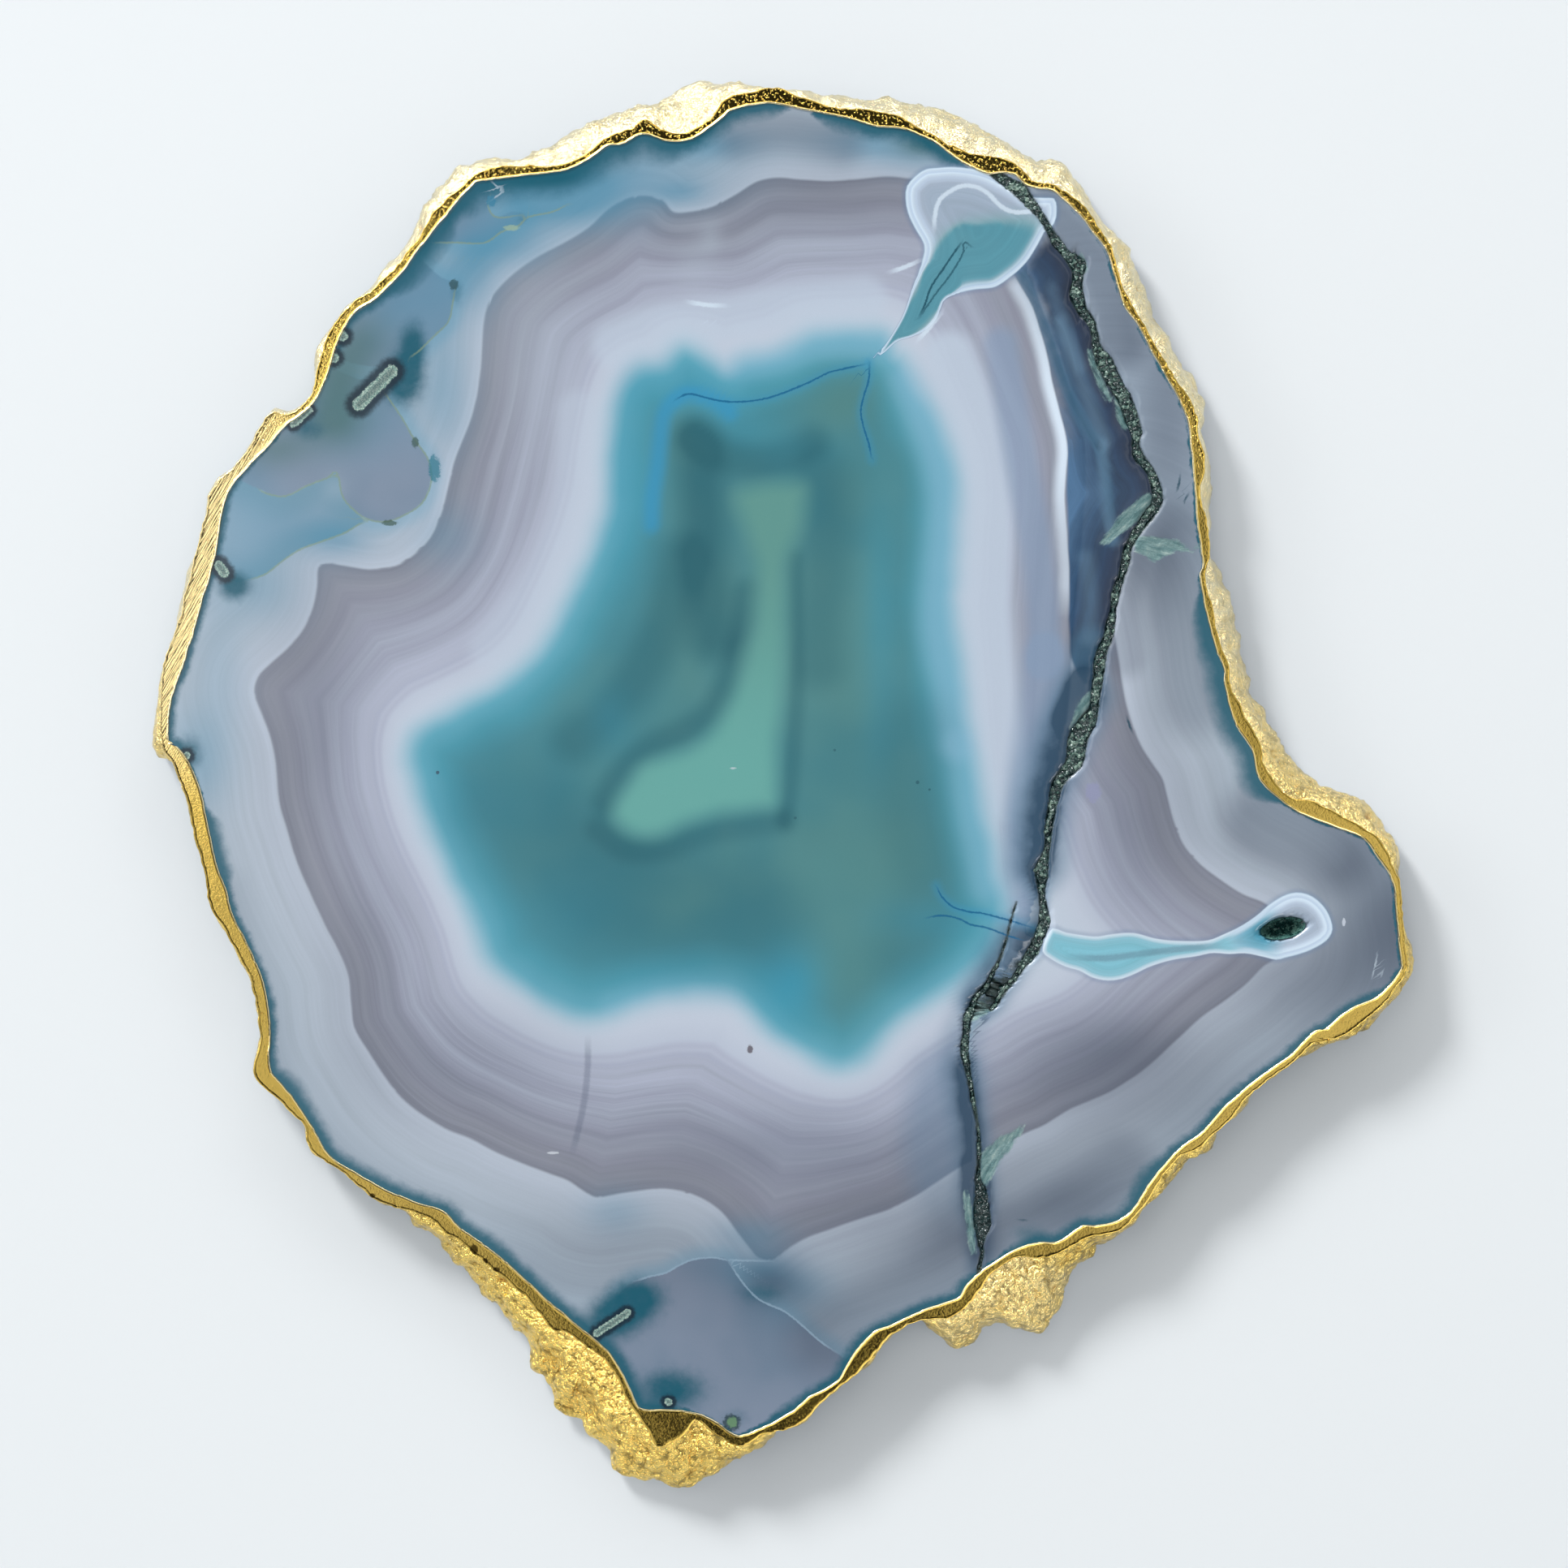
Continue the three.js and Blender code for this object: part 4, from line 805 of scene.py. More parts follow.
DARK_STROKES = [
    (.75, .8, 6.5, [(-15.5, 60), (-14.5, 50), (-14, 40), (-13, 32), (-12.5, 26)]),
    (.55, .6, 3.6, [(-6.2, 34), (-7.4, 26), (-9.8, 18.5), (-13, 12.6), (-18, 9.2), (-24, 6.2), (-29, 1.5),
                    (-31.5, -3)]),
    (.55, 1, 6, [(-18, 40), (-20.5, 30), (-25.5, 20), (-31.5, 12.5), (-37, 8)]),
    (.55, .8, 4.4, [(-16, 62), (-11, 58.6), (-5, 57.2), (1, 58.4), (5, 60.6)]),
    (.45, .6, 7, [(6.5, 56), (7.6, 47), (7.4, 38), (6.6, 28), (6.5, 21)]),
    (.45, .3, 2.4, [(1.8, 40), (2, 28), (2.2, 18), (1.8, 8), (1, -1), (0, -6.5)]),
    (.42, .5, 3.4, [(0, -6.6), (-8, -7.6), (-15, -9), (-21, -11.4), (-28, -11.6), (-33, -8)]),
    (.4, 4, 14, [(-48, -4), (-36, -16), (-22, -22), (-8, -24)]),
    (.3, 2, 8, [(24, 10), (23, -6), (26, -18), (22, -30)]),
]
CORE_BLUE = [
    (.9, (1, -35.5), 6, 7), (.5, (-28, 55), 4.5, 22), (.35, (-53, 0), 14, 12), (.35, (-42, -24), 12, 9),
    (.55, (-16, 71), 12, 5), (.5, (27, -24), 9, 4), (.25, (-24, -34), 14, 5), (.5, (-31, 12), 4, 5),
    (.4, (17, 30), 3, 20), (.35, (-8, 63), 10, 4), (.3, (2, 59), 8, 3),
]
CORE_PALE = [
    (.75, .6, 5.5, [(22.5, 72), (25.5, 64), (28, 56), (28.8, 48), (28, 38), (27.5, 28), (29.5, 18),
                    (31, 8)]),
    (.5, .6, 5, [(31.5, 6), (33.5, -6), (36, -18)]),
    (.6, .5, 4.5, [(-8, 75), (-2, 76), (4, 78), (10, 78.5), (17, 78)]),
    (.3, .5, 4, [(-30, -39.5), (-20, -37.5), (-10, -38)]),
]
CORE_GREY = [
    (.75, (12, 69), 5.5, 5), (.5, (17, -10), 9, 13), (.55, (12, -36), 7, 8), (.4, (11, 12), 6, 12),
    (.5, (-17, 24), 4.5, 9), (.45, (-18, 63), 7, 5), (.5, (6, 66), 7, 4), (.35, (5, -9), 6, 4),
    (.3, (-30, -8), 10, 5), (.45, (12, 52), 4, 8),
]
WHITE_STROKES = [
    (.95, 2.6, 3.4, [(29.5, 76), (33, 67), (35.6, 56), (36.3, 45), (36, 33), (36.8, 22), (38, 10),
                     (40, -2)]),
    (.5, 1.5, 3.0, [(40, -2), (41.5, -10), (42.5, -17)]),
    (.5, 2, 3.4, [(-36.5, 66), (-37.5, 50), (-43, 36), (-52, 24)]),
    (.75, 2.4, 3.4, [(-30, 78), (-22, 81), (-10, 82.5), (0, 84.5), (14, 86)]),
]
RULED_BLOTS = [
    (1.0, (-56, -52), 26, 14), (.8, (-22, -54), 22, 9), (.7, (14, -62), 18, 9), (.5, (-68, -26), 8, 18),
    (.6, (4, 93), 26, 7), (.4, (-48, 62), 9, 22), (.6, (46, -44), 12, 8), (.4, (58, 0), 10, 14),
]
SHADE_STROKES = [
    (.46, 1.5, 5.5, [(46.5, 102), (53, 95), (57.5, 87), (59.5, 78)]),
    (.4, 3, 8, [(85, -7), (89, -9), (93, -10), (97, -12)]),
    (.34, 3, 9, [(70, 42), (71, 28), (73, 16)]),
    (.42, 2.5, 9, [(8, -98), (16, -93), (24, -89), (31, -84)]),
    (.26, 2, 7, [(39, -80), (46, -78), (60, -68)]),
    (.4, 1, 6, [(-8, 115), (0, 116), (10, 114)]),
    (.3, 1, 4, [(61, 40), (59.5, 30), (60.5, 22)]),
    (.2, 1, 7, [(-100, -20), (-94, -38), (-90, -54), (-78, -68), (-62, -78)]),
]
SHADE_BLOTS = [
    (.8, (109, -24), 14, 17), (.45, (92, -36), 15, 10), (.45, (72, -56), 30, 13), (.5, (68, 66), 7, 28),
    (.2, (66, 38), 5, 10), (.3, (62, -6), 9, 18), (.2, (50, -52), 12, 8), (.44, (48, -74), 18, 9),
    (.34, (-28, -84), 30, 10), (.16, (-4, -98), 18, 14), (.18, (6, 104), 22, 6), (.16, (78, -6), 12, 12),
    (.36, (20, -78), 18, 9), (.32, (2, -64), 26, 7), (.28, (-60, -50), 22, 12),
    (.26, (-84, 12), 9, 22), (.2, (-74, -30), 8, 16), (.32, (60, -46), 12, 6), (.5, (-2, -89), 7, 4.5),
]
TEAL_BLOTS = [
    (.75, (-30, 108), 20, 6), (.6, (-46, 104), 12, 6), (.22, (-2, 114), 26, 3.5), (.55, (-68, 84), 10, 8),
    (.5, (-76, 66), 11, 9), (.45, (-96, 48), 7, 12), (.4, (-60, 92), 8, 7), (.5, (-60, 70), 5, 12),
    (.35, (-60, 44), 6, 6), (.5, (-79, 43.5), 6, 3), (.3, (-84, 44), 12, 6), (.4, (26, 111), 8, 3),
    (.45, (-6, -80), 7, 3), (.4, (-30, -76), 6, 4), (.6, (2, -90), 7, 5), (.5, (-36, 102), 12, 5),
    (.4, (-18, 104.8), 5, 2.2), (.3, (-100, 20), 5, 14), (.5, (-104, 4), 6, 9), (.4, (-92, 34), 7, 6),
    (.7, (-49, 95.5), 8, 4.5), (.45, (-55, 90), 5, 7), (.6, (16, 113.5), 9, 3.5), (.5, (-13, 113.5), 8, 3),
    (.75, (-4.5, -86.5), 6, 4),
]
STAIN_BLOTS = [
    (1.1, (-26, -91.2), 5.4, 4), (1.0, (-31, -95.5), 5.6, 4.2), (1.05, (-20, -107.4), 6.8, 4),
    (1.15, (-97.4, 35.2), 3.2, 2.8), (1.2, (-67.6, 71.4), 3.8, 4.8), (1.0, (-65.8, 78), 2.6, 4.6),
    (.9, (-105.5, 5.5), 2.6, 3.4), (.55, (-58.0, 87.3), 1.4, 2.6), (.6, (-85.5, 66), 4, 4),
    (.5, (-8.6, -112.6), 3, 2), (.55, (43.4, -79.8), 4, 2.2), (.8, (-44, 107.4), 10, 1.8),
    (.75, (-64.5, 94.8), 2.6, 2.2), (.7, (34, -77), 1.4, 5), (.45, (-84, 62.5), 3.5, 2.2),
    (.5, (-46.5, 100.4), 1.6, 1.2), (.6, (-4, -90.4), 5, 2.2),
]
MURK_BLOTS = [
    (.95, (-79, 71.5), 6.5, 8.5), (.5, (-74, 79), 5, 5), (.7, (-90, 59.4), 6, 3.6), (.45, (-59, 104), 3, 3),
    (.6, (-80, 63.5), 6, 4.5), (.9, (24.5, 113.4), 4.5, 2.2),
]
HAZE_BLOTS = [
    (.6, (-96, 45), 5, 6), (.4, (-79.5, 52.5), 2.4, 2.4), (.35, (-62, 70), 4, 7), (.3, (-56, 78), 3, 8),
    (.3, (-42, 104), 7, 3), (.35, (-16, 92), 3.4, 5), (.5, (-13, 97), 2.2, 3), (.5, (-44, 76), 8, 18),
    (.3, (4, 96), 12, 4),
]
RIM_STROKES = [
    (1.0, 4, 6, [(-53, 107), (-45, 107.5), (-38, 108.6), (-32, 111), (-27, 113)]),
    (.6, 3, 5, [(-23, 113), (-16, 114.5), (-10, 118), (-6, 119.5)]),
    (.8, 3, 4, [(-67, 92), (-63, 97)]),
    (.6, 3, 5, [(12, 117.5), (19, 115.5), (26, 113)]),
    (.3, 4, 8, [(-76, 83), (-68, 91), (-58, 103)]),
    (.2, 4, 8, [(-110, 12), (-107, 22), (-104, 32), (-101, 42), (-99, 50)]),
    (.5, 2, 4, [(-99.5, -13), (-101, -9)]),
    (.2, 5, 8, [(-91, -50), (-93, -38), (-97, -26)]),
    (.45, 5, 8, [(-86, -58), (-76, -69), (-62, -75), (-52, -82), (-44, -89), (-35, -97), (-28, -106)]),
    (.85, 3, 5, [(77, 28), (78, 18), (80, 10), (83, 2)]),
    (.25, 5, 8, [(98, -41), (90, -48), (82, -54), (75, -61), (68, -67)]),
    (.35, 4, 8, [(62, -74), (54, -78), (48, -81)]),
    (.35, 4, 8, [(27, -92), (18, -96), (11, -103), (5, -109)]),
]
TAIL_STROKES = [(1, 5, 5, [(48, -29), (58, -30.5), (70, -29), (80, -27)])]
NECK_STROKES = [(1, 1, 4, [(27, 88), (24.5, 85), (21, 80), (16, 75.6)])]
LOBE_STROKES = [
    (1, .6, 8.5, [(43, 95.5), (39, 95.5), (34, 95), (31, 93.5)]),
    (1, 1.2, 3.2, [(32, 96), (28.5, 91), (25.5, 86), (21.5, 81.2), (16, 76)]),
    (.9, 2.2, 3.6, [(37, 94.5), (32.5, 91), (29, 88.5)]),
]
GLOW_STROKES = [(1, .2, 2.4, BLUE_ARC)] + [(.5, 0, 1.5, path) for path in BLUE_CRACKS]
CLOUDS = {
    "navy": (NAVY_STROKES, []), "smoke_light": (SMOKE_LIGHT, []), "core_dark": (DARK_STROKES, []),
    "core_blue": ([], CORE_BLUE), "core_pale": (CORE_PALE, []), "core_grey": ([], CORE_GREY),
    "whiter": (WHITE_STROKES, []), "bluish": (BLUISH_STROKES, []), "ruled": ([], RULED_BLOTS),
    "shade": (SHADE_STROKES, SHADE_BLOTS), "teal": ([], TEAL_BLOTS), "stain": ([], STAIN_BLOTS),
    "murk": ([], MURK_BLOTS), "haze": ([], HAZE_BLOTS), "tail": (TAIL_STROKES, []),
    "lobe_teal": (LOBE_STROKES, []), "rim_dye": (RIM_STROKES, []), "blue_glow": (GLOW_STROKES, []),
}
print(len(CLOUDS), "clouds of", sum(len(s) + len(b) for s, b in CLOUDS.values()), "strokes and blots")


# %% [markdown]
# ## Where each point lies in the pattern
# The bands run between the edge of the core and the edge of the mauve zone. A point's share of the way
# between those two lines is the same all along one band, even where the zone narrows, so colours laid out
# along that share give bands that pinch and swell as grown ones do. East of the fissure the core isn't
# reached, and the share falls off with the distance from the outer line alone.

# %% Bands and zones as numbers at the points
BAND_FAR = 10.0
EAST_FADE = 25.0
RIM_FAR = 14.0
RIM_FROM = 0.8
CORE_FAR = 200
NO_CORE = -30
CHIP_FAR = 3.0
NECK_SHARPER = 4
WEST_CLOSING = [(44, -27), (38, -38), (32, -45), (33.2, -58)]
EAST_CLOSING = [(33, -45), (40, -35), (45, -25), (45.5, -10), (50, 2), (54, 12), (56, 22)]


def zone_depth(points, lines, outline):
    """Distance to the nearest of the lines, positive inside the outline that they are parts of."""
    gap = np.min([place_of(points, smooth_line(line, False, 4), False)[0] for line in lines], axis=0)
    inside = place_of(points, np.array(outline, float), True)[3]
    return np.where(inside, gap, -gap)


def share_across(mauve, core):
    """Distance from the core over the whole width of the banded zone: 0 at the core and 1 at the outer
    line, going on beyond both by one for each BAND_FAR millimetres."""
    beyond = np.maximum(-mauve, 0)
    within = np.maximum(-core, 0) / np.maximum(np.maximum(-core, 0) + np.maximum(mauve, 0), 1e-6)
    return np.where(core > 0, -core / BAND_FAR, np.where(mauve > 0, within, 1 + beyond / BAND_FAR))


def chip_fields(points):
    """Depth inside the nearest chip, and the point's place along and across that chip's own grain."""
    depth = np.full(len(points), -CHIP_FAR)
    along, across = np.zeros(len(points)), np.zeros(len(points))
    for degrees, outline in CHIPS:
        this = depth_in(points, outline, CHIP_FAR, smooth=False)
        c, s = math.cos(math.radians(degrees)), math.sin(math.radians(degrees))
        along = np.where(this > depth, points @ [c, s], along)
        across = np.where(this > depth, points @ [-s, c], across)
        depth = np.maximum(this, depth)
    return {"chip": depth, "chip_along": along, "chip_across": across}


def fields_of(points, outness):
    """The numbers that the stone's finish reads, as one array for each name."""
    gap, _, width, west = fissure_at(points)
    core = depth_in(points, CORE_EDGE, margin=CORE_FAR, per_span=4)
    mauve_west = zone_depth(points, [MAUVE_UPPER, MAUVE_LOWER], MAUVE_UPPER + WEST_CLOSING + MAUVE_LOWER)
    mauve_east = zone_depth(points, [MAUVE_EAST_UPPER, MAUVE_EAST_LOWER],
                            MAUVE_EAST_UPPER + MAUVE_EAST_LOWER + EAST_CLOSING)
    band_east = np.where(mauve_east > 0, 1 - mauve_east / EAST_FADE, 1 - mauve_east / BAND_FAR)
    rim = np.full(len(points), RIM_FAR)
    outer = outness > RIM_FROM
    rim[outer] = np.minimum(place_of(points[outer], smooth_line(FACE_EDGE, True, 3), True)[0], RIM_FAR)
    pocket = np.max([depth_in(points, outline) for outline in POCKETS], axis=0)
    fields = {
        "core": np.where(west, core, NO_CORE),
        "mauve": np.where(west, mauve_west, mauve_east),
        "band": np.where(west, share_across(mauve_west, core), band_east),
        "rim": rim,
        "fissure": gap - width,
        "pocket": pocket * (1 + NECK_SHARPER * clouds(points, NECK_STROKES)),
        "island": np.max([depth_in(points, outline) for outline in ISLANDS], axis=0),
        "wedge": depth_in(points, BLUE_WEDGE),
        "figure": depth_in(points, INNER_FIGURE),
        "smoke": depth_in(points, SMOKE),
        **chip_fields(points),
        "west": west,
        "hollow": hollow_place(points).clip(0, HOLLOW_FAR),
    }
    for title, (strokes, blots) in CLOUDS.items():
        fields[title] = clouds(points, strokes, blots)
    for title, paths in THIN_LINES.items():
        fields[title], fields[title + "_on"] = thin_line(points, paths)
    return fields


# %% [markdown]
# ## The stone's mesh
# The stone is one closed plate: a fine grid for the polished front, a grid with half as many cells a side
# for the back, and a wall between them. The wall is inside the gilding, so it can be plain. The fissure is
# a real trough in both faces, and the open hollow is a real pit, because the light falls into them.

# %% Plate with trough and pit
TROUGH_DEPTH = 1.3
TROUGH_LIP = 0.35
TROUGH_RAGGED = ((0.18, 0.9, 3), (0.10, 0.35, 4))
HOLLOW_DEPTH = 3.4
CHIP_DEPTH = 0.16
BACK_INSET = 2.3
UNDERCUT = 2.4
LEAST_UNDERCUT = 0.8
UNDERCUT_PER_WIDTH = 0.5


def sunk_by(points, fields):
    """How deep the face lies below its polished level: the trough of the fissure, with an edge made ragged
    by noise, the pit of the hollow as half an egg, and the shallow steps of the chips."""
    inwards = layered(points, TROUGH_RAGGED) - fields["fissure"]
    trough = TROUGH_DEPTH * np.clip(inwards / TROUGH_LIP, 0, 1)
    pit = HOLLOW_DEPTH * np.sqrt(np.clip(1 - fields["hollow"] ** 2, 0, 1))
    flake = CHIP_DEPTH * ramp(fields["chip"], 0, 0.5) * crags(points, 1.6, 8)
    return np.maximum(trough, pit) + flake


def foot_reach(angles):
    """Where the slice stands on its back: the rough line drawn in by an undercut, more where the rough
    side is narrow."""
    rough = reach(ROUGH_EDGE, angles)
    width = rough - reach(MARGIN_EDGE, angles)
    return rough - np.maximum(LEAST_UNDERCUT, UNDERCUT - UNDERCUT_PER_WIDTH * width)


def make_stone():
    """Front grid, back grid and wall as one closed mesh."""
    front_angles = even_angles(4 * FRONT_CELLS)[0]
    back_angles = front_angles[::2]
    front_ring = at_angle(front_angles, reach(FACE_EDGE, front_angles) + TUCK)
    back_ring = at_angle(back_angles, foot_reach(back_angles) - BACK_INSET)
    sheets = []
    for cells, ring in ((FRONT_CELLS, front_ring), (BACK_CELLS, back_ring)):
        flat, outness = square_to_outline(cells, ring)
        flat, outness = flat.reshape(-1, 2), outness.ravel()
        flat = pull_together(flat, outness)
        sheets.append((flat, fields_of(flat, outness)))
    (front, front_fields), (back, back_fields) = sheets
    hold = ramp(front_fields["rim"], 0, 1)
    front_z = FACE_LEVEL - sunk_by(front, front_fields) * hold
    back_fields["hollow"] = np.full(len(back), HOLLOW_FAR)
    back_z = BACK_LEVEL + sunk_by(back, back_fields) * ramp(back_fields["rim"], 0, 1)
    points = np.vstack([np.column_stack([front, front_z]), np.column_stack([back, back_z])])
    top_faces = grid_faces(FRONT_CELLS + 1, FRONT_CELLS + 1)
    low_faces = grid_faces(BACK_CELLS + 1, BACK_CELLS + 1, first=len(front))[:, ::-1]
    top, low = border_of(FRONT_CELLS), len(front) + border_of(BACK_CELLS)
    top_next, low_next = np.roll(top, -1), np.roll(low, -1)
    wall = np.vstack([np.column_stack([low, top[1::2], top[0::2]]),
                      np.column_stack([low, low_next, top[1::2]]),
                      np.column_stack([low_next, top_next[1::2], top[1::2]])])
    fields = {title: np.r_[front_fields[title], back_fields[title]] for title in front_fields}
    return make_piece("polished_agate", points, [np.vstack([top_faces, low_faces]), wall], fields)


stone = make_stone()
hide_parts("stone")

# %% [markdown]
# ## Short calls for shader nodes
# A finish is a chain of small steps: read a number, turn it into a mask, mix a colour by the mask. With one
# short call for each kind of step, a finish reads from top to bottom like a recipe. Effects that are
# needed again and again, such as growth lines and oval spots, are node groups that are built once.

# %% Calls that add one node and give back its output
def tint(red, green, blue):
    """A colour as it looks on a screen, from 0 to 255, turned into the linear light that shaders use."""
    screen = np.array([red, green, blue]) / 255
    linear = np.where(screen <= 0.04045, screen / 12.92, ((screen + 0.055) / 1.055) ** 2.4)
    return (*linear.tolist(), 1.0)


class Recipe:
    """Adds nodes to one tree."""

    def __init__(self, tree):
        self.tree = tree

    def put(self, kind, feeds=(), output=0, **settings):
        """A node with its settings, fed with plain values or with other nodes' outputs."""
        node = self.tree.nodes.new("ShaderNode" + kind)
        for title, value in settings.items():
            setattr(node, title, value)
        for place, value in dict(feeds).items():
            self.feed(node.inputs[place], value)
        return node.outputs[output]

    def feed(self, socket, value):
        if isinstance(value, bpy.types.NodeSocket):
            self.tree.links.new(value, socket)
        else:
            socket.default_value = value

    def stored(self, title):
        return self.put("Attribute", output="Fac", attribute_name=title)

    def math(self, operation, first, second=0.0, clamp=False):
        return self.put("Math", {0: first, 1: second}, operation=operation, use_clamp=clamp)

    def add(self, first, second):
        return self.math("ADD", first, second)

    def times(self, first, second):
        return self.math("MULTIPLY", first, second)

    def step(self, value, low, high):
        """0 below low, 1 above high and smooth between; low may be the higher one."""
        return self.put("MapRange", {0: value, 1: low, 2: high}, interpolation_type="SMOOTHSTEP")

    def mix(self, share, first, second):
        return self.put("Mix", {0: share, 6: first, 7: second}, output=2, data_type="RGBA")

    def wash(self, colour, title, strength, red_green_blue):
        """The colour with another laid over it, by a stored mask times a strength."""
        return self.mix(self.times(self.stored(title), strength), colour, tint(*red_green_blue))

    def scaled(self, colour, factor):
        """The colour times a number."""
        return self.put("VectorMath", {0: colour, "Scale": factor}, operation="SCALE")

    def ramp(self, value, low, high, stops):
        """A colour for each value: stops are pairs of a value between low and high and its colour."""
        share = self.put("MapRange", {0: value, 1: low, 2: high})
        node = self.tree.nodes.new("ShaderNodeValToRGB")
        elements = node.color_ramp.elements
        places = [(at - low) / (high - low) for at, _ in stops]
        elements[0].position, elements[-1].position = places[0], places[-1]
        elements[0].color, elements[-1].color = tint(*stops[0][1]), tint(*stops[-1][1])
        for at, (_, colour) in list(zip(places, stops))[1:-1]:
            elements.new(at).color = tint(*colour)
        self.tree.links.new(share, node.inputs[0])
        return node.outputs[0]

    def noise(self, place, scale, detail=2.0, roughness=0.5):
        """Noise about 0, from about -0.5 to 0.5, at a scale in cells for each millimetre."""
        value = self.put("TexNoise", {"Vector": place, "Scale": scale, "Detail": detail,
                                      "Roughness": roughness})
        return self.add(value, -0.5)

    def place(self):
        """The position on the object in millimetres."""
        metres = self.put("TexCoord", output="Object")
        return self.put("VectorMath", {0: metres, "Scale": 1 / MM}, operation="SCALE")

    def point(self, x, y, z=0.0):
        return self.put("CombineXYZ", {0: x, 1: y, 2: z})

    def parts(self, vector):
        node = self.tree.nodes.new("ShaderNodeSeparateXYZ")
        self.tree.links.new(vector, node.inputs[0])
        return node.outputs[0], node.outputs[1], node.outputs[2]


def new_finish(title):
    """A material with its recipe and its Principled shader."""
    material = bpy.data.materials.new(title)
    material.use_nodes = True
    return material, Recipe(material.node_tree), material.node_tree.nodes["Principled BSDF"]


def new_effect(title, inputs, outputs):
    """A node group with float, colour or vector sockets. Gives the group, its recipe, the sockets that come
    in and the node that takes what goes out."""
    kinds = {"number": "NodeSocketFloat", "colour": "NodeSocketColor", "place": "NodeSocketVector"}
    group = bpy.data.node_groups.new(title, "ShaderNodeTree")
    for name, kind in inputs:
        group.interface.new_socket(name=name, in_out="INPUT", socket_type=kinds[kind])
    for name, kind in outputs:
        group.interface.new_socket(name=name, in_out="OUTPUT", socket_type=kinds[kind])
    source, sink = group.nodes.new("NodeGroupInput"), group.nodes.new("NodeGroupOutput")
    return group, Recipe(group), source.outputs, sink


def dress(piece, material):
    """Gives the piece its finish."""
    piece.data.materials.append(material)
    print(piece.name, "wears", material.name, "made of", len(material.node_tree.nodes), "nodes")


def use_effect(recipe, group, feeds):
    """Places a node group and gives all its outputs."""
    node = recipe.tree.nodes.new("ShaderNodeGroup")
    node.node_tree = group
    for name, value in feeds.items():
        recipe.feed(node.inputs[name], value)
    return node.outputs


# %% Effects that are used several times
def make_growth_lines():
    """Fine parallel lines: noise whose first coordinate runs across the bands, quickly, and whose others
    run along them, slowly, so that each line fades in and out along its band."""
    group, r, given, sink = new_effect("growth_lines", [("Across", "number"), ("Place", "place"),
                                                        ("Lines", "number")], [("Amount", "number")])
    x, y, _ = r.parts(given["Place"])
    broad = r.noise(r.point(r.times(given["Across"], given["Lines"]), r.times(x, 0.022), r.times(y, 0.022)),
                    1.0, 1.0)
    fine = r.noise(r.point(r.times(given["Across"], r.times(given["Lines"], 3.7)), r.times(x, 0.03),
                           r.times(y, 0.03)), 1.0, 2.0, 0.65)
    r.feed(sink.inputs["Amount"], r.add(r.times(broad, 1.1), r.times(fine, 0.9)))
    return group


def make_tube():
    """A mineral tube cut across: the distance to a short straight line gives a pale ring, a dark halo and a
    hollow middle. The distance is that to the nearest point of the line, as between two places."""
    group, r, given, sink = new_effect(
        "mineral_tube", [("Place", "place"), ("Start", "place"), ("End", "place"), ("Radius", "number"),
                         ("Unevenness", "number")], [("Ring", "number"), ("Halo", "number")])
    flat = r.put("VectorMath", {0: given["Place"], 1: (1, 1, 0)}, operation="MULTIPLY")
    away = r.put("VectorMath", {0: flat, 1: given["Start"]}, operation="SUBTRACT")
    along = r.put("VectorMath", {0: given["End"], 1: given["Start"]}, operation="SUBTRACT")
    reached = r.put("VectorMath", {0: away, 1: along}, operation="DOT_PRODUCT", output="Value")
    length = r.put("VectorMath", {0: along, 1: along}, operation="DOT_PRODUCT", output="Value")
    share = r.math("DIVIDE", reached, r.math("MAXIMUM", length, 0.0001), clamp=True)
    nearest = r.put("VectorMath", {0: along, "Scale": share}, operation="SCALE")
    gap = r.put("VectorMath", {0: away, 1: nearest}, operation="DISTANCE", output="Value")
    gap = r.add(gap, given["Unevenness"])
    inner = r.step(gap, r.times(given["Radius"], 0.15), r.times(given["Radius"], 0.7))
    outer = r.step(gap, given["Radius"], r.times(given["Radius"], 0.75))
    r.feed(sink.inputs["Ring"], r.times(r.add(r.times(inner, 0.55), 0.45), outer))
    r.feed(sink.inputs["Halo"], r.step(gap, r.times(given["Radius"], 2.5), r.times(given["Radius"], 1.35)))
    return group


def make_spot():
    """A small oval: the distance to its middle, in half widths, is under one inside it."""
    group, r, given, sink = new_effect(
        "oval_spot", [("Place", "place"), ("Centre", "place"), ("Inverse", "place"),
                      ("Unevenness", "number")], [("Amount", "number")])
    away = r.put("VectorMath", {0: given["Place"], 1: given["Centre"]}, operation="SUBTRACT")
    scaled = r.put("VectorMath", {0: away, 1: given["Inverse"]}, operation="MULTIPLY")
    far = r.put("VectorMath", {0: scaled}, operation="LENGTH", output="Value")
    r.feed(sink.inputs["Amount"], r.step(r.add(far, r.times(given["Unevenness"], 1.4)), 1.25, 0.8))
    return group


growth_lines = make_growth_lines()
mineral_tube = make_tube()
oval_spot = make_spot()
print("effects:", [group.name for group in (growth_lines, mineral_tube, oval_spot)])

# %% [markdown]
# ## The stone's colours
# The finish works outwards from the bands. First come the bands between core and outer line, then the pale
# zone beyond them, then the dyed core with its green figure. Over these go the smoky blue beside the
# fissure, the islands and dye stains near the rim, the pale pockets, the fine lines, the tubes and specks,
# and last the broken places.

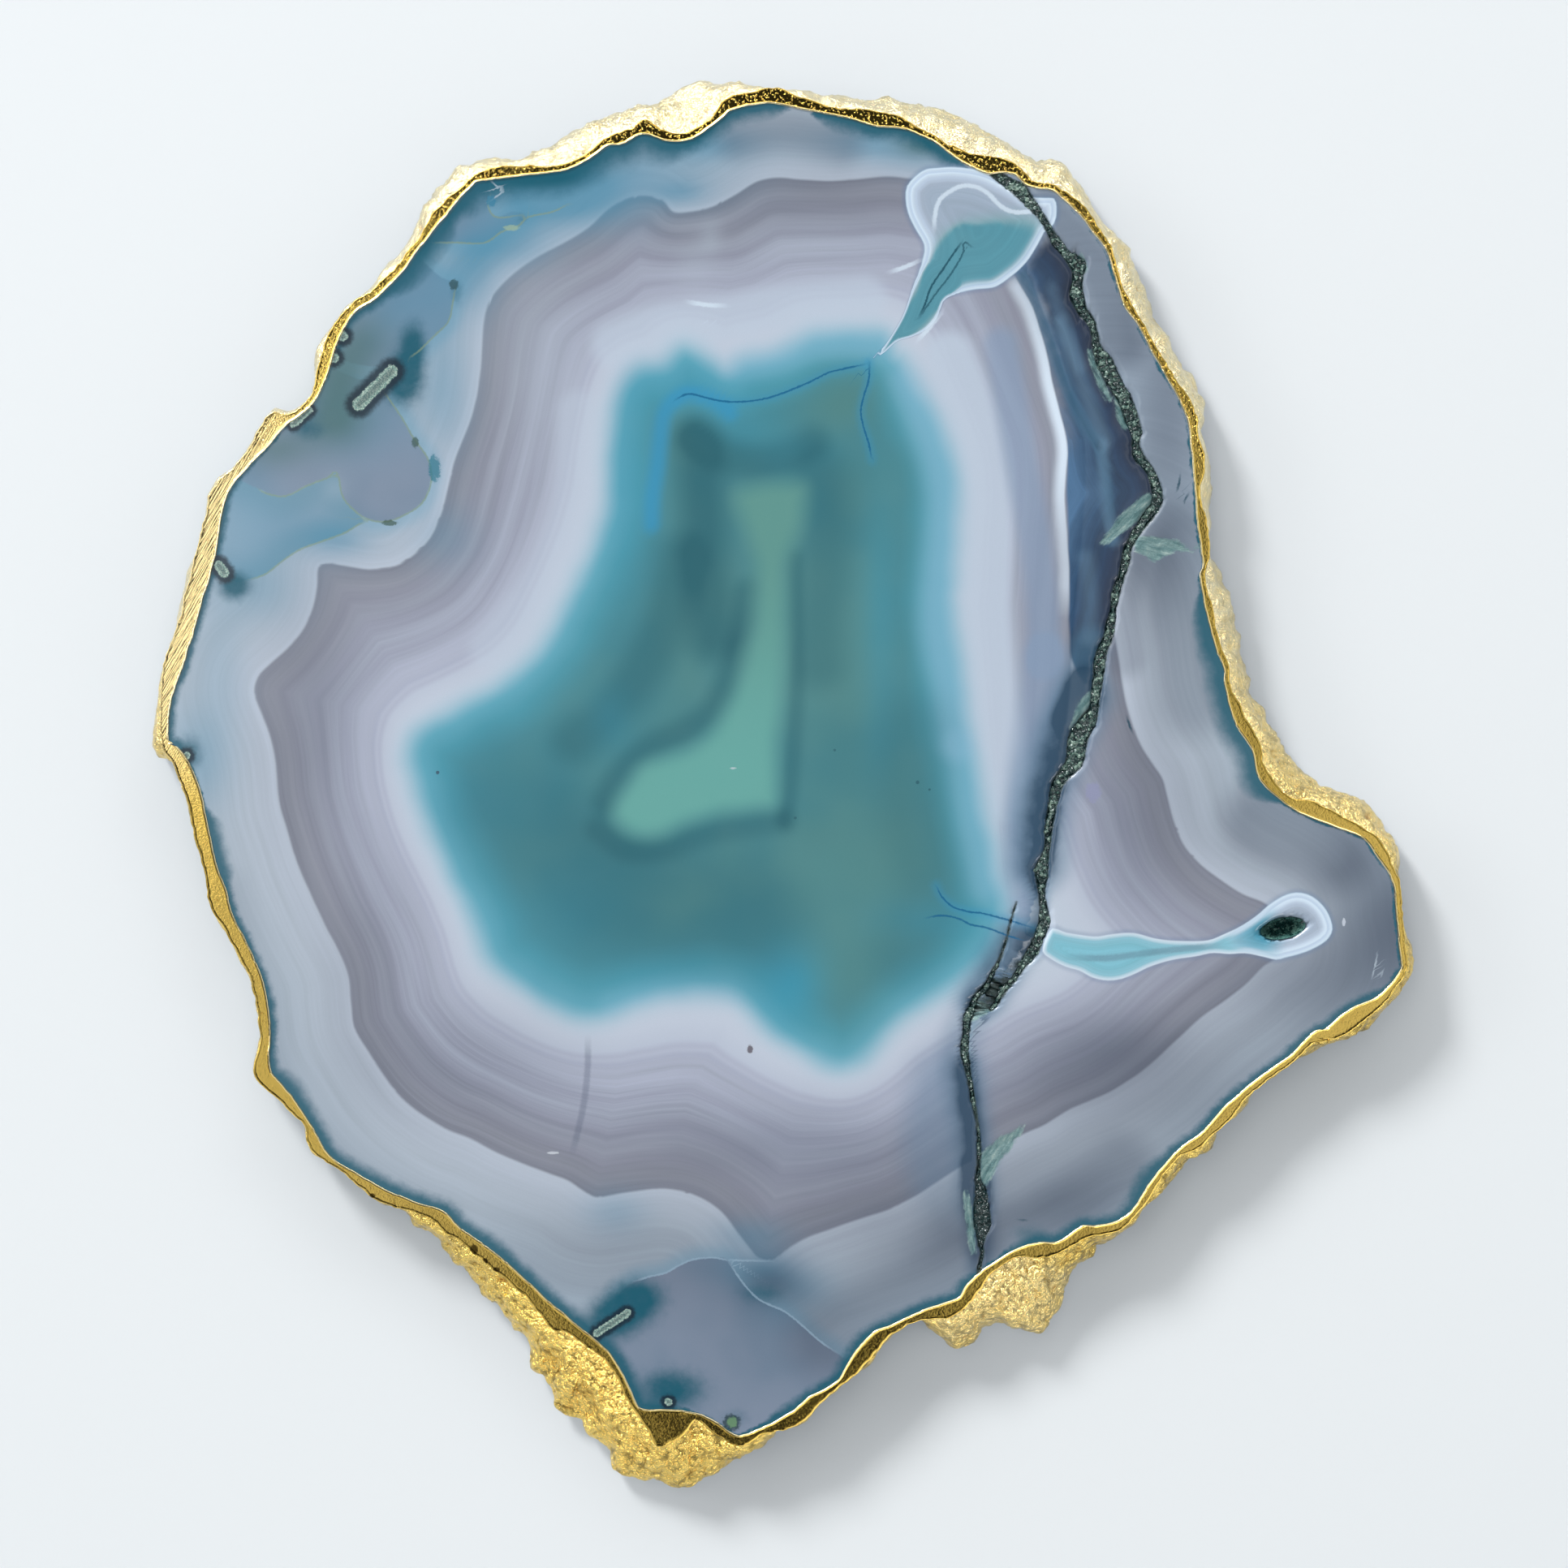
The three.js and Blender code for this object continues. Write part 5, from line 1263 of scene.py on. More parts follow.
# %% Colours of the bands
QUARTZ_IOR = 1.54
BAND_COLOURS = [
    (-0.5, (196, 207, 221)), (0.0, (196, 207, 221)), (0.12, (196, 205, 220)), (0.21, (190, 199, 215)),
    (0.24, (178, 184, 203)), (0.262, (183, 190, 207)), (0.285, (172, 178, 198)), (0.31, (175, 181, 199)),
    (0.40, (172, 178, 196)), (0.48, (160, 165, 183)), (0.56, (164, 170, 187)), (0.66, (149, 153, 170)),
    (0.74, (152, 157, 172)), (0.82, (140, 143, 158)), (0.90, (144, 148, 161)), (1.0, (130, 134, 148)),
    (1.2, (128, 131, 145)),
]
OUTSIDE_COLOURS = [
    (0.0, (188, 198, 212)), (2.0, (181, 191, 205)), (6.0, (177, 188, 201)), (12.0, (171, 184, 197)),
    (20.0, (164, 180, 195)), (30.0, (157, 172, 188)),
]
CORE_COLOURS = [
    (-5.0, (192, 205, 220)), (-2.0, (170, 200, 216)), (0.5, (128, 184, 203)), (2.5, (98, 168, 188)),
    (5.5, (80, 154, 171)), (10.0, (74, 138, 150)), (22.0, (72, 131, 139)),
]
LOBE_COLOURS = [
    (-0.1, (150, 185, 215)), (0.25, (214, 231, 245)), (0.8, (190, 210, 232)), (1.1, (214, 231, 246)),
    (1.9, (186, 202, 221)), (2.8, (166, 180, 198)), (4.2, (160, 176, 194)), (8.6, (158, 174, 192)),
]
TAIL_COLOURS = [
    (-0.1, (176, 202, 224)), (0.15, (218, 232, 244)), (0.5, (190, 218, 232)), (0.9, (142, 196, 212)),
    (2.2, (128, 192, 208)), (4.0, (134, 196, 213)),
]
EYE_COLOURS = [(0.9, (66, 140, 166)), (1.3, (84, 156, 180)), (1.8, (118, 176, 198)), (2.6, (156, 196, 214))]
CHIP_COLOURS = [
    (-0.3, (40, 80, 84)), (-0.08, (84, 126, 126)), (0.1, (122, 154, 152)), (0.3, (176, 196, 188)),
]
NAVY_COLOURS = [
    (0.0, (6, 26, 52)), (1.8, (12, 38, 68)), (4.0, (26, 58, 90)), (7.0, (42, 78, 112)),
    (11.0, (72, 110, 146)),
]


def lay_bands(r, place, wave, drift):
    """The banded zone and the pale zone outside it."""
    band = r.add(r.stored("band"), r.add(r.times(wave, 0.012), r.times(drift, 0.05)))
    mauve = r.add(r.stored("mauve"), r.times(wave, 0.5))
    bands = r.ramp(band, -0.5, 1.2, BAND_COLOURS)
    broad = use_effect(r, growth_lines, {"Across": band, "Place": place, "Lines": 8.0})["Amount"]
    ruled = use_effect(r, growth_lines, {"Across": band, "Place": place, "Lines": 24.0})["Amount"]
    change = r.add(r.times(broad, 0.32), r.times(r.times(ruled, r.stored("ruled")), 0.34))
    bands = r.scaled(bands, r.add(1.0, r.times(change, r.step(band, 0.2, 0.45))))
    bands = r.wash(bands, "whiter", 0.9, (193, 206, 222))
    bands = r.wash(bands, "bluish", 0.85, (136, 158, 186))
    beyond = r.times(mauve, -1.0)
    outside = r.ramp(beyond, 0.0, 30.0, OUTSIDE_COLOURS)
    streaks = use_effect(r, growth_lines, {"Across": beyond, "Place": place, "Lines": 0.35})["Amount"]
    outside = r.scaled(outside, r.add(1.0, r.times(streaks, 0.2)))
    return r.mix(r.step(mauve, -0.3, 0.35), outside, bands)


def lay_core(r, stone, place, wave, drift):
    """The dyed core with its clouds, its dark arcs and the pale green figure."""
    core = r.add(r.stored("core"), r.add(r.times(wave, 1.6), r.times(drift, 3.0)))
    cloud = r.noise(place, 0.04, 2.0, 0.5)
    deep = r.ramp(core, -5.0, 22.0, CORE_COLOURS)
    middle = r.mix(r.step(cloud, -0.2, 0.2), tint(64, 127, 139), tint(88, 142, 143))
    deep = r.mix(r.times(r.step(core, 5.0, 16.0), 0.8), deep, middle)
    deep = r.wash(deep, "core_grey", 0.8, (84, 134, 133))
    deep = r.wash(deep, "core_blue", 0.85, (62, 153, 180))
    deep = r.wash(deep, "core_pale", 0.9, (130, 183, 207))
    deep = r.wash(deep, "core_dark", 0.8, (38, 94, 106))
    _, y, _ = r.parts(place)
    figure = r.add(r.stored("figure"), r.times(wave, 1.0))
    upper = r.mix(r.step(y, 2.0, 44.0), tint(106, 171, 164), tint(98, 153, 146))
    deep = r.mix(r.step(figure, -2.8, 2.8), deep, upper)
    return r.mix(r.step(core, -4.5, 2.5), stone, deep)


def lay_smoke(r, stone, place, wave):
    """The smoky navy beside the fissure and the white line along its edge. The smoke has a sharp edge in
    its lower half and a soft one above. Below it the navy goes on as a soft cloud."""
    _, y, _ = r.parts(place)
    wisps = r.noise(place, 0.22, 3.0, 0.55)
    smoke = r.add(r.stored("smoke"), r.times(wave, 0.6))
    upper = r.step(y, 56.0, 70.0)
    sharp = r.times(r.step(smoke, -0.2, 0.6), r.math("SUBTRACT", 1.0, upper))
    soft = r.times(r.step(r.add(smoke, r.times(wisps, 3.0)), -2.0, 3.4), upper)
    share = r.times(r.times(r.add(sharp, soft), r.stored("west")), r.step(y, 15.0, 22.0))
    depth = r.add(r.stored("fissure"), r.times(wisps, 3.0))
    navy = r.ramp(depth, 0.0, 11.0, NAVY_COLOURS)
    streaks = use_effect(r, growth_lines, {"Across": r.stored("fissure"), "Place": place, "Lines": 0.3})
    navy = r.scaled(navy, r.add(1.0, r.times(streaks["Amount"], 0.9)))
    stone = r.mix(r.times(share, 0.94), stone, navy)
    soaked = r.math("MULTIPLY", r.stored("navy"), r.add(1.2, r.times(wisps, 0.5)), clamp=True)
    dye = r.mix(r.step(soaked, 0.3, 1.25), tint(78, 122, 150), tint(18, 54, 80))
    stone = r.mix(r.times(soaked, 0.92), stone, dye)
    stone = r.wash(stone, "smoke_light", 0.75, (112, 146, 172))
    across = r.add(r.stored("flare_line"), r.times(wave, 0.5))
    middle = r.times(r.step(y, 38.0, 60.0), r.step(y, 92.0, 66.0))
    flare = r.times(r.step(across, -2.6, -0.3), r.step(across, 0.6, 0.1))
    flare = r.times(flare, r.stored("flare_line_on"))
    return r.mix(r.times(flare, r.add(0.55, r.times(middle, 0.45))), stone, tint(222, 236, 250))


def lay_islands(r, stone, place, wave):
    """The islands near the rim with their thin greenish rinds, and the blue wedge among them."""
    rough = r.noise(place, 0.9, 3.0, 0.7)
    edge = r.add(r.times(wave, 0.4), r.times(rough, 0.5))
    island = r.add(r.stored("island"), edge)
    body = r.mix(r.step(r.noise(place, 0.06, 2.0), -0.15, 0.15), tint(118, 137, 158), tint(132, 146, 166))
    glow = r.times(r.step(island, -3.5, -0.2), 0.45)
    stone = r.mix(glow, stone, tint(104, 164, 192))
    stone = r.mix(r.step(island, -0.25, 0.25), stone, body)
    wedge = r.add(r.stored("wedge"), edge)
    inner = r.mix(r.step(r.stored("wedge"), 1.0, 7.0), tint(116, 152, 172), tint(136, 162, 182))
    return r.mix(r.step(wedge, -0.25, 0.25), stone, inner)


def lay_dye(r, stone, place, wave):
    """Dye that soaked in from the rim: teal clouds, dark stains and a deep line right at the edge."""
    stone = r.wash(stone, "haze", 0.6, (184, 196, 210))
    stone = r.wash(stone, "teal", 0.85, (72, 142, 172))
    stone = r.wash(stone, "murk", 0.85, (74, 112, 114))
    stone = r.mix(r.stored("shade"), stone, tint(66, 78, 98))
    rough = r.noise(place, 0.55, 4.0, 0.65)
    stain = r.add(r.stored("stain"), r.times(rough, 0.4))
    stone = r.mix(r.times(r.step(stain, 0.12, 1.05), 0.95), stone, tint(0, 88, 108))
    rim = r.add(r.stored("rim"), r.add(r.times(rough, 1.5), r.times(wave, 1.0)))
    soaked = r.add(0.34, r.times(r.stored("rim_dye"), 3.8))
    deep = r.step(r.math("DIVIDE", rim, soaked), 1.4, 0.2)
    return r.mix(r.times(deep, 0.92), stone, tint(16, 92, 112))


def lay_pockets(r, stone, place, wave):
    """The two pale pockets: a white outline, nested bands and a dyed middle. Bands round the open hollow
    follow its own oval."""
    pocket = r.add(r.stored("pocket"), r.times(wave, 0.2))
    hollow = r.stored("hollow")
    lobe = r.ramp(pocket, -0.1, 8.6, LOBE_COLOURS)
    tail = r.ramp(pocket, -0.1, 4.0, TAIL_COLOURS)
    eye = r.ramp(r.add(hollow, r.times(wave, 0.3)), 0.9, 2.6, EYE_COLOURS)
    white = r.step(pocket, 1.5, 0.5)
    eye = r.mix(white, eye, tint(200, 220, 237))
    tail = r.mix(r.step(hollow, 2.7, 2.0), tail, eye)
    dyed = r.add(r.stored("lobe_teal"), r.times(wave, 0.5))
    dye = r.mix(r.step(dyed, 0.45, 1.0), tint(124, 170, 176), tint(76, 148, 164))
    soaked = r.times(r.step(dyed, 0.05, 0.9), r.step(pocket, 0.3, 2.2))
    lobe = r.mix(r.times(soaked, 0.9), lobe, dye)
    inside = r.mix(r.stored("tail"), lobe, tail)
    lines = use_effect(r, growth_lines, {"Across": pocket, "Place": place, "Lines": 0.9})["Amount"]
    inside = r.scaled(inside, r.add(1.0, r.times(lines, 0.22)))
    shadow = r.times(r.step(pocket, -1.0, -0.1), 0.3)
    stone = r.mix(shadow, stone, tint(92, 122, 160))
    return r.mix(r.step(pocket, -0.12, 0.16), stone, inside)


def lay_lines(r, stone, place):
    """The blue glow along the cracks, then cracks, pale lines, rind lines and scratches."""
    rough = r.noise(place, 2.2, 3.0, 0.6)
    _, y, _ = r.parts(place)
    rind_colour = r.mix(r.step(y, -60.0, -40.0), tint(150, 176, 196), tint(132, 154, 124))
    stone = r.wash(stone, "blue_glow", 0.7, (54, 150, 194))
    for title, half_width, strength, colour in [
            ("faint_line", 0.5, 0.38, tint(88, 98, 120)), ("blue_line", 0.15, 0.85, tint(20, 98, 142)),
            ("blue_twin", 0.15, 0.85, tint(20, 98, 142)), ("dark_line", 0.17, 0.85, tint(24, 72, 90)),
            ("dark_twin", 0.15, 0.7, tint(24, 72, 90)), ("pale_line", 0.34, 0.8, tint(216, 231, 244)),
            ("scratch", 0.13, 0.5, tint(205, 220, 232)), ("rind_line", 0.15, 0.6, rind_colour)]:
        gap = r.math("ABSOLUTE", r.add(r.stored(title), r.times(rough, 0.4)))
        line = r.times(r.step(gap, half_width * 1.7, half_width * 0.5), r.stored(title + "_on"))
        stone = r.mix(r.times(line, strength), stone, colour)
    return stone


TUBES = [
    ((-69.6, 73.2), (-75.4, 67.3), 1.25), ((-78.2, 79.3), (-78.1, 79.4), 0.9),
    ((-79.8, 75.5), (-79.7, 75.6), 0.9), ((-84.2, 66.3), (-87, 63.8), 0.7),
    ((-100.2, 38.8), (-99.2, 37.4), 0.95), ((-106, 5.0), (-105.9, 5.1), 0.75),
    ((-33.2, -97.4), (-27.8, -93.8), 0.75), ((-20.4, -109.6), (-20.6, -109.6), 0.7),
]
SPOTS = [
    ((-61.4, 2), 0.3, 0.3, (62, 74, 92)), ((-6, -47), 0.5, 0.65, (80, 66, 74)),
    ((-9, 2.8), 0.55, 0.16, (192, 208, 214)), ((54.8, -1.4), 1.3, 1.7, (148, 152, 184)),
    ((23.7, 0.3), 0.28, 0.28, (46, 92, 104)), ((9, 6), 0.24, 0.24, (52, 98, 108)),
    ((25.8, -1), 0.22, 0.22, (46, 92, 104)), ((2, -6), 0.24, 0.2, (52, 98, 108)),
    ((-70, 46.3), 1.3, 0.5, (66, 92, 78)), ((-65.4, 60.6), 0.6, 0.9, (64, 92, 84)),
    ((-58.6, 88.6), 0.8, 0.9, (44, 78, 84)), ((-41, -65.4), 1.0, 0.24, (206, 212, 220)),
    ((-62, 56), 1.0, 2.2, (40, 120, 140)), ((99.3, -24.5), 0.3, 0.7, (206, 214, 226)),
    ((-48.3, 98.6), 1.3, 0.5, (150, 178, 158)), ((-51.9, 103.4), 0.8, 1.0, (56, 128, 160)),
    ((-9.2, -113.2), 1.5, 1.4, (34, 56, 62)), ((-9.2, -113.2), 0.9, 0.9, (112, 152, 112)),
]


def lay_marks(r, stone, place):
    """Short mineral tubes near the rim, and single specks."""
    uneven = r.noise(place, 1.4, 3.0, 0.7)
    speckle = r.step(r.noise(place, 4.0, 3.0, 0.7), -0.12, 0.15)
    pale = r.mix(speckle, tint(104, 146, 138), tint(200, 220, 206))
    for start, end, radius in TUBES:
        tube = use_effect(r, mineral_tube, {"Place": place, "Start": (*start, 0), "End": (*end, 0),
                                            "Radius": radius, "Unevenness": uneven})
        stone = r.mix(r.times(tube["Halo"], 0.88), stone, tint(22, 36, 50))
        stone = r.mix(r.times(tube["Ring"], 0.92), stone, pale)
    for (x, y), half_x, half_y, colour in SPOTS:
        spot = use_effect(r, oval_spot, {"Place": place, "Centre": (x, y, 0),
                                         "Inverse": (1 / half_x, 1 / half_y, 0), "Unevenness": uneven})
        stone = r.mix(r.times(spot["Amount"], 0.8), stone, tint(*colour))
    return stone


def lay_broken(r, stone, streaks):
    """The chips beside the fissure, its trough and the pit. Gives the colour and the mask of what is
    rough."""
    grain = r.point(r.times(r.stored("chip_along"), 0.45), r.times(r.stored("chip_across"), 2.1))
    feathers = r.noise(grain, 0.7, 3.0, 0.62)
    chip = r.step(r.add(r.stored("chip"), r.add(r.times(feathers, 1.1), r.times(streaks, 0.7))), -0.2, 0.45)
    flaked = r.ramp(r.add(feathers, r.times(streaks, 0.35)), -0.3, 0.3, CHIP_COLOURS)
    stone = r.mix(r.times(chip, 0.9), stone, flaked)
    trough = r.step(r.add(r.stored("fissure"), r.times(streaks, 0.7)), 0.3, -0.15)
    stone = r.mix(trough, stone, tint(20, 48, 46))
    hollow = r.step(r.stored("hollow"), 1.1, 0.96)
    stone = r.mix(hollow, stone, tint(22, 56, 54))
    return stone, r.math("MAXIMUM", chip, trough)


def finish_stone():
    """The polished stone, glossy, with rough green chips and trough."""
    material, r, shader = new_finish("polished agate")
    place = r.place()
    wave = r.noise(place, 0.11, 1.0, 0.5)
    drift = r.noise(place, 0.035, 1.0)
    colour = lay_bands(r, place, wave, drift)
    colour = lay_core(r, colour, place, wave, drift)
    colour = lay_smoke(r, colour, place, wave)
    colour = lay_islands(r, colour, place, wave)
    colour = lay_dye(r, colour, place, wave)
    colour = lay_pockets(r, colour, place, wave)
    colour = lay_lines(r, colour, place)
    colour = lay_marks(r, colour, place)
    streaks = r.noise(place, 1.1, 4.0, 0.7)
    colour, broken = lay_broken(r, colour, streaks)
    grit = r.noise(place, 6.0, 2.0, 0.6)
    colour = r.scaled(colour, r.add(1.0, r.times(grit, 0.09)))
    r.feed(shader.inputs["Base Color"], colour)
    smear = r.noise(place, 0.2, 3.0)
    r.feed(shader.inputs["Roughness"], r.add(r.add(0.17, r.times(smear, 0.08)), r.times(broken, 0.35)))
    bump = r.put("Bump", {"Strength": 1.0, "Distance": 0.25 * MM, "Height": r.times(broken, streaks)})
    r.feed(shader.inputs["Normal"], bump)
    shader.inputs["IOR"].default_value = QUARTZ_IOR
    return material


dress(stone, finish_stone())

# %% [markdown]
# ## Crystals in the fissure and in the hollow
# Both gaps are lined with small dyed quartz crystals. In the fissure they are granules, so their surface is
# a strip of rounded grains at random heights that follows each branch and dips under the stone at both
# sides. In the open hollow they are larger and pointed: a crowd of six-sided pyramids standing on the pit.

# %% Granules of the fissure
SEAM_STEP = 0.13
SEAM_COLUMNS = 24
SEAM_OVERLAP = 0.5
SEAM_LEVEL = 8.34
SEAM_BOTTOM = 6.6
SEAM_HIGHEST = 8.72
SEAM_EVENED = 13
SEAM_RAGGED = ((0.3, 1.1, 3), (0.16, 0.45, 4))
SEAM_DIP = 1.5
SEAM_LEAST_HALF = 0.02
SEAM_UNDER = np.array([0.9, 0.3, -0.3, -0.9])
GRAIN, FINE_GRAIN = 0.62, 0.3
GRAIN_LIFT, GRAIN_HEIGHT, FINE_HEIGHT = 0.30, 0.30, 0.12


def seam_ring(picked):
    """Rings of points across one branch: a row of grains on top and four points below it, out of sight."""
    line = resample(smooth_line(picked, False, 6), SEAM_STEP)
    along = np.gradient(line[:, :2], axis=0)
    even = np.ones(SEAM_EVENED) / SEAM_EVENED
    along = np.column_stack([np.convolve(np.pad(column, SEAM_EVENED // 2, "edge"), even, "valid")
                             for column in along.T])
    along /= np.hypot(*along.T)[:, None]
    normal = np.column_stack([-along[:, 1], along[:, 0]])
    end = np.minimum(np.arange(len(line)), len(line) - 1 - np.arange(len(line))) * SEAM_STEP
    half = (line[:, 2] + np.minimum(SEAM_OVERLAP, line[:, 2])) * ramp(end, -0.4, 1.2) + SEAM_LEAST_HALF
    share = np.linspace(-1, 1, SEAM_COLUMNS)
    top = line[:, None, :2] + normal[:, None] * (half[:, None] * share)[..., None]
    beyond = half[:, None] * np.abs(share) - line[:, None, 2] + layered(top, SEAM_RAGGED)
    nearest, own = grains(top, GRAIN, 61)
    small, fine_own = grains(top, FINE_GRAIN, 62)
    height = GRAIN_LIFT * (own - 0.3) + GRAIN_HEIGHT * (0.6 - nearest) + FINE_HEIGHT * (0.6 - small)
    z = np.minimum(SEAM_LEVEL + height - SEAM_DIP * ramp(beyond, -0.15, 0.45), SEAM_HIGHEST)
    under = line[:, None, :2] + normal[:, None] * (half[:, None] * SEAM_UNDER)[..., None]
    under = np.dstack([under, np.full(under.shape[:2], SEAM_BOTTOM)])
    ring = np.concatenate([np.dstack([top, z]), under], 1)
    unseen = ((0, 0), (0, len(SEAM_UNDER)))
    speck = np.pad(0.6 * own + 0.4 * fine_own, unseen)
    edge = np.pad(ramp(beyond, -0.7, 0.1), unseen, constant_values=1)
    return ring, speck, edge


def capped(ring_count, ring_points, first):
    """Quads of a closed tube from ring to ring, and the two fans of triangles that close its ends."""
    quads = grid_faces(ring_count, ring_points, wrap_columns=True, first=first)
    turn = np.arange(ring_points)
    following = np.roll(turn, -1)
    last = first + (ring_count - 1) * ring_points
    tips = first + ring_count * ring_points
    start = np.column_stack([np.full(ring_points, tips), first + turn, first + following])
    finish = np.column_stack([np.full(ring_points, tips + 1), last + following, last + turn])
    return quads, np.vstack([start, finish])


def make_seam():
    """Both branches as closed strips in one mesh."""
    points, specks, edges, quads, fans, count = [], [], [], [], [], 0
    for picked in (MAIN_FISSURE, LOWER_FISSURE):
        ring, speck, edge = seam_ring(picked)
        rings, across = ring.shape[:2]
        points += [ring.reshape(-1, 3), ring[0].mean(0)[None], ring[-1].mean(0)[None]]
        specks += [speck.ravel(), [0, 0]]
        edges += [edge.ravel(), [1, 1]]
        sides, ends = capped(rings, across, count)
        quads.append(sides)
        fans.append(ends)
        count += rings * across + 2
    fields = {"speck": np.concatenate(specks), "border": np.concatenate(edges)}
    return make_piece("seam_crystals", np.vstack(points), [np.vstack(quads), np.vstack(fans)], fields,
                      smooth=False)


# %% Pointed crystals of the hollow
DRUSE_CELLS = 96
DRUSE_CRYSTALS = 170
DRUSE_UNDER = 0.5
DRUSE_RIM_POINTS = 720
CRYSTALS_WITHIN = 0.98
CRYSTAL_TALL = (0.3, 1.0)
CRYSTAL_STEEP = (1.3, 2.6)
CRYSTAL_GAIN = 1.15
CRYSTAL_BASE = 0.12


def crystal_heights(points, count, seed):
    """Highest of many hexagonal pyramids: each falls off evenly with the largest of the distances along
    its three side directions. Gives the height and a number that is the crystal's own."""
    rng = np.random.default_rng(seed)
    far, turn = np.sqrt(rng.random(count)) * CRYSTALS_WITHIN, rng.uniform(0, 2 * np.pi, count)
    centres = from_hollow(far * np.cos(turn) * HOLLOW_HALF[0], far * np.sin(turn) * HOLLOW_HALF[1])
    twist, tall = rng.uniform(0, np.pi / 3, count), rng.uniform(*CRYSTAL_TALL, count)
    steep, numbers = rng.uniform(*CRYSTAL_STEEP, count), rng.random(count)
    height, own = np.full(len(points), -9.0), np.zeros(len(points))
    for k in range(count):
        away = points - centres[k]
        ways = [twist[k] + j * np.pi / 3 for j in range(3)]
        sides = [np.abs(away[:, 0] * math.cos(way) + away[:, 1] * math.sin(way)) for way in ways]
        this = tall[k] - steep[k] * np.max(sides, axis=0)
        own = np.where(this > height, numbers[k], own)
        height = np.maximum(height, this)
    return np.clip(height, 0, None), own


def make_druse():
    """A sheet of crystals on the pit's surface and a plain sheet under it, closed along their common
    rim."""
    turn = np.linspace(0, 2 * np.pi, DRUSE_RIM_POINTS, endpoint=False)
    rim = from_hollow(HOLLOW_HALF[0] * np.cos(turn), HOLLOW_HALF[1] * np.sin(turn))
    flat, outness = square_to_outline(DRUSE_CELLS, rim, HOLLOW_CENTRE)
    flat, outness = flat.reshape(-1, 2), outness.ravel()
    pit = FACE_LEVEL - HOLLOW_DEPTH * np.sqrt(np.clip(1 - outness**2, 0, 1))
    height, own = crystal_heights(flat, DRUSE_CRYSTALS, 71)
    height = CRYSTAL_GAIN * height * ramp(1 - outness, 0.0, 0.25)
    top = np.minimum(pit + CRYSTAL_BASE + height, FACE_LEVEL - 0.02)
    side = DRUSE_CELLS + 1
    points = np.vstack([np.column_stack([flat, top]), np.column_stack([flat, pit - DRUSE_UNDER])])
    upper = grid_faces(side, side)
    lower = grid_faces(side, side, first=len(flat))[:, ::-1]
    ring = border_of(DRUSE_CELLS)
    following = np.roll(ring, -1)
    wall = np.column_stack([ring + len(flat), following + len(flat), following, ring])
    fields = {"speck": np.r_[own, own], "border": np.r_[ramp(outness, 0.5, 1.0), np.ones(len(flat))]}
    faces = np.vstack([upper, lower, wall])
    return make_piece("vug_druse", points, [faces], fields, smooth=False)


seam = make_seam()
druse = make_druse()
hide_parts("vug_crystals")

# %% Finish of the crystals
def finish_crystals(title, dark, middle, pale, border):
    """Glassy crystals, most of them dark and a few pale, with a colour of their own towards the border.
    At the lower end of the fissure they are darker."""
    material, r, shader = new_finish(title)
    place = r.place()
    fine = r.noise(place, 3.2, 3.0, 0.7)
    _, y, _ = r.parts(place)
    value = r.add(r.add(r.stored("speck"), r.times(fine, 0.55)), r.times(r.step(y, -69.0, -72.0), -0.55))
    colour = r.ramp(value, 0.0, 1.0, [(0.0, dark), (0.36, dark), (0.64, middle), (0.95, pale), (1.0, pale)])
    colour = r.wash(colour, "border", 0.75, border)
    r.feed(shader.inputs["Base Color"], colour)
    shader.inputs["Roughness"].default_value = 0.24
    shader.inputs["IOR"].default_value = QUARTZ_IOR
    return material


dress(seam, finish_crystals("green granules", (24, 48, 48), (70, 100, 92), (160, 184, 168), (12, 44, 48)))
dress(druse, finish_crystals("dark druse", (18, 52, 52), (40, 84, 80), (120, 158, 146), (92, 138, 130)))

# %% [markdown]
# ## The gilding
# Gold was plated over the rough rind and over a strip of both faces. On the front that strip is flat, since
# it was polished before it was plated, and the film ends in a thin raised line. Outside it the gold follows
# the broken rind. Both parts are a section carried round the slice, ray by ray: the strip with a smooth
# section, the rind with one whose points are pushed in and out by noise.

# %% Rays for a section that goes round the slice
LIP_SECTION = [(0.0, 8.45), (0.0, 8.74), (0.03, 8.88), (0.09, 8.97), (0.17, 9.0), (0.26, 8.97),
               (0.33, 8.90), (0.42, 8.86)]
OUTER_SECTION = [(-0.24, 8.86), (-0.16, 8.88), (-0.08, 8.9), (0.0, 8.87), (0.06, 8.74), (0.04, 8.5),
                 (-0.3, 8.35)]
STRIP_LEVEL = 8.86
STRIP_STATIONS = 3000
STRIP_POINTS = 7
NARROWEST = 1.15
LARGEST_SLANT = 2.2
SLOPE_EVENED = 7
LEAN_ROOM = 1.05
CREST = slice(2, 6)
UNDER_LIP = (0.35, 8.35)
INNER_TORN = ((0.12, 2.4, 21), (0.05, 0.8, 22))
OUTER_TORN = ((0.30, 2.8, 23), (0.16, 1.0, 24))
STRIP_DENTS = ((0.012, 5.0, 31), (0.003, 1.4, 32))


def slant(angles, distance):
    """How much longer a step along the ray is than the same step square to the outline: the root of one
    plus the squared slope of the outline in polar form."""
    turn = np.unwrap(np.r_[angles[-1:], angles, angles[:1]], period=2 * np.pi)
    far = np.r_[distance[-1:], distance, distance[:1]]
    slope = (far[2:] - far[:-2]) / np.maximum(turn[2:] - turn[:-2], 1e-4)
    spare = SLOPE_EVENED // 2
    even = np.ones(SLOPE_EVENED) / SLOPE_EVENED
    slope = np.convolve(np.r_[slope[-spare:], slope, slope[:spare]], even, "valid")
    return np.minimum(np.hypot(1, slope / distance), LARGEST_SLANT)


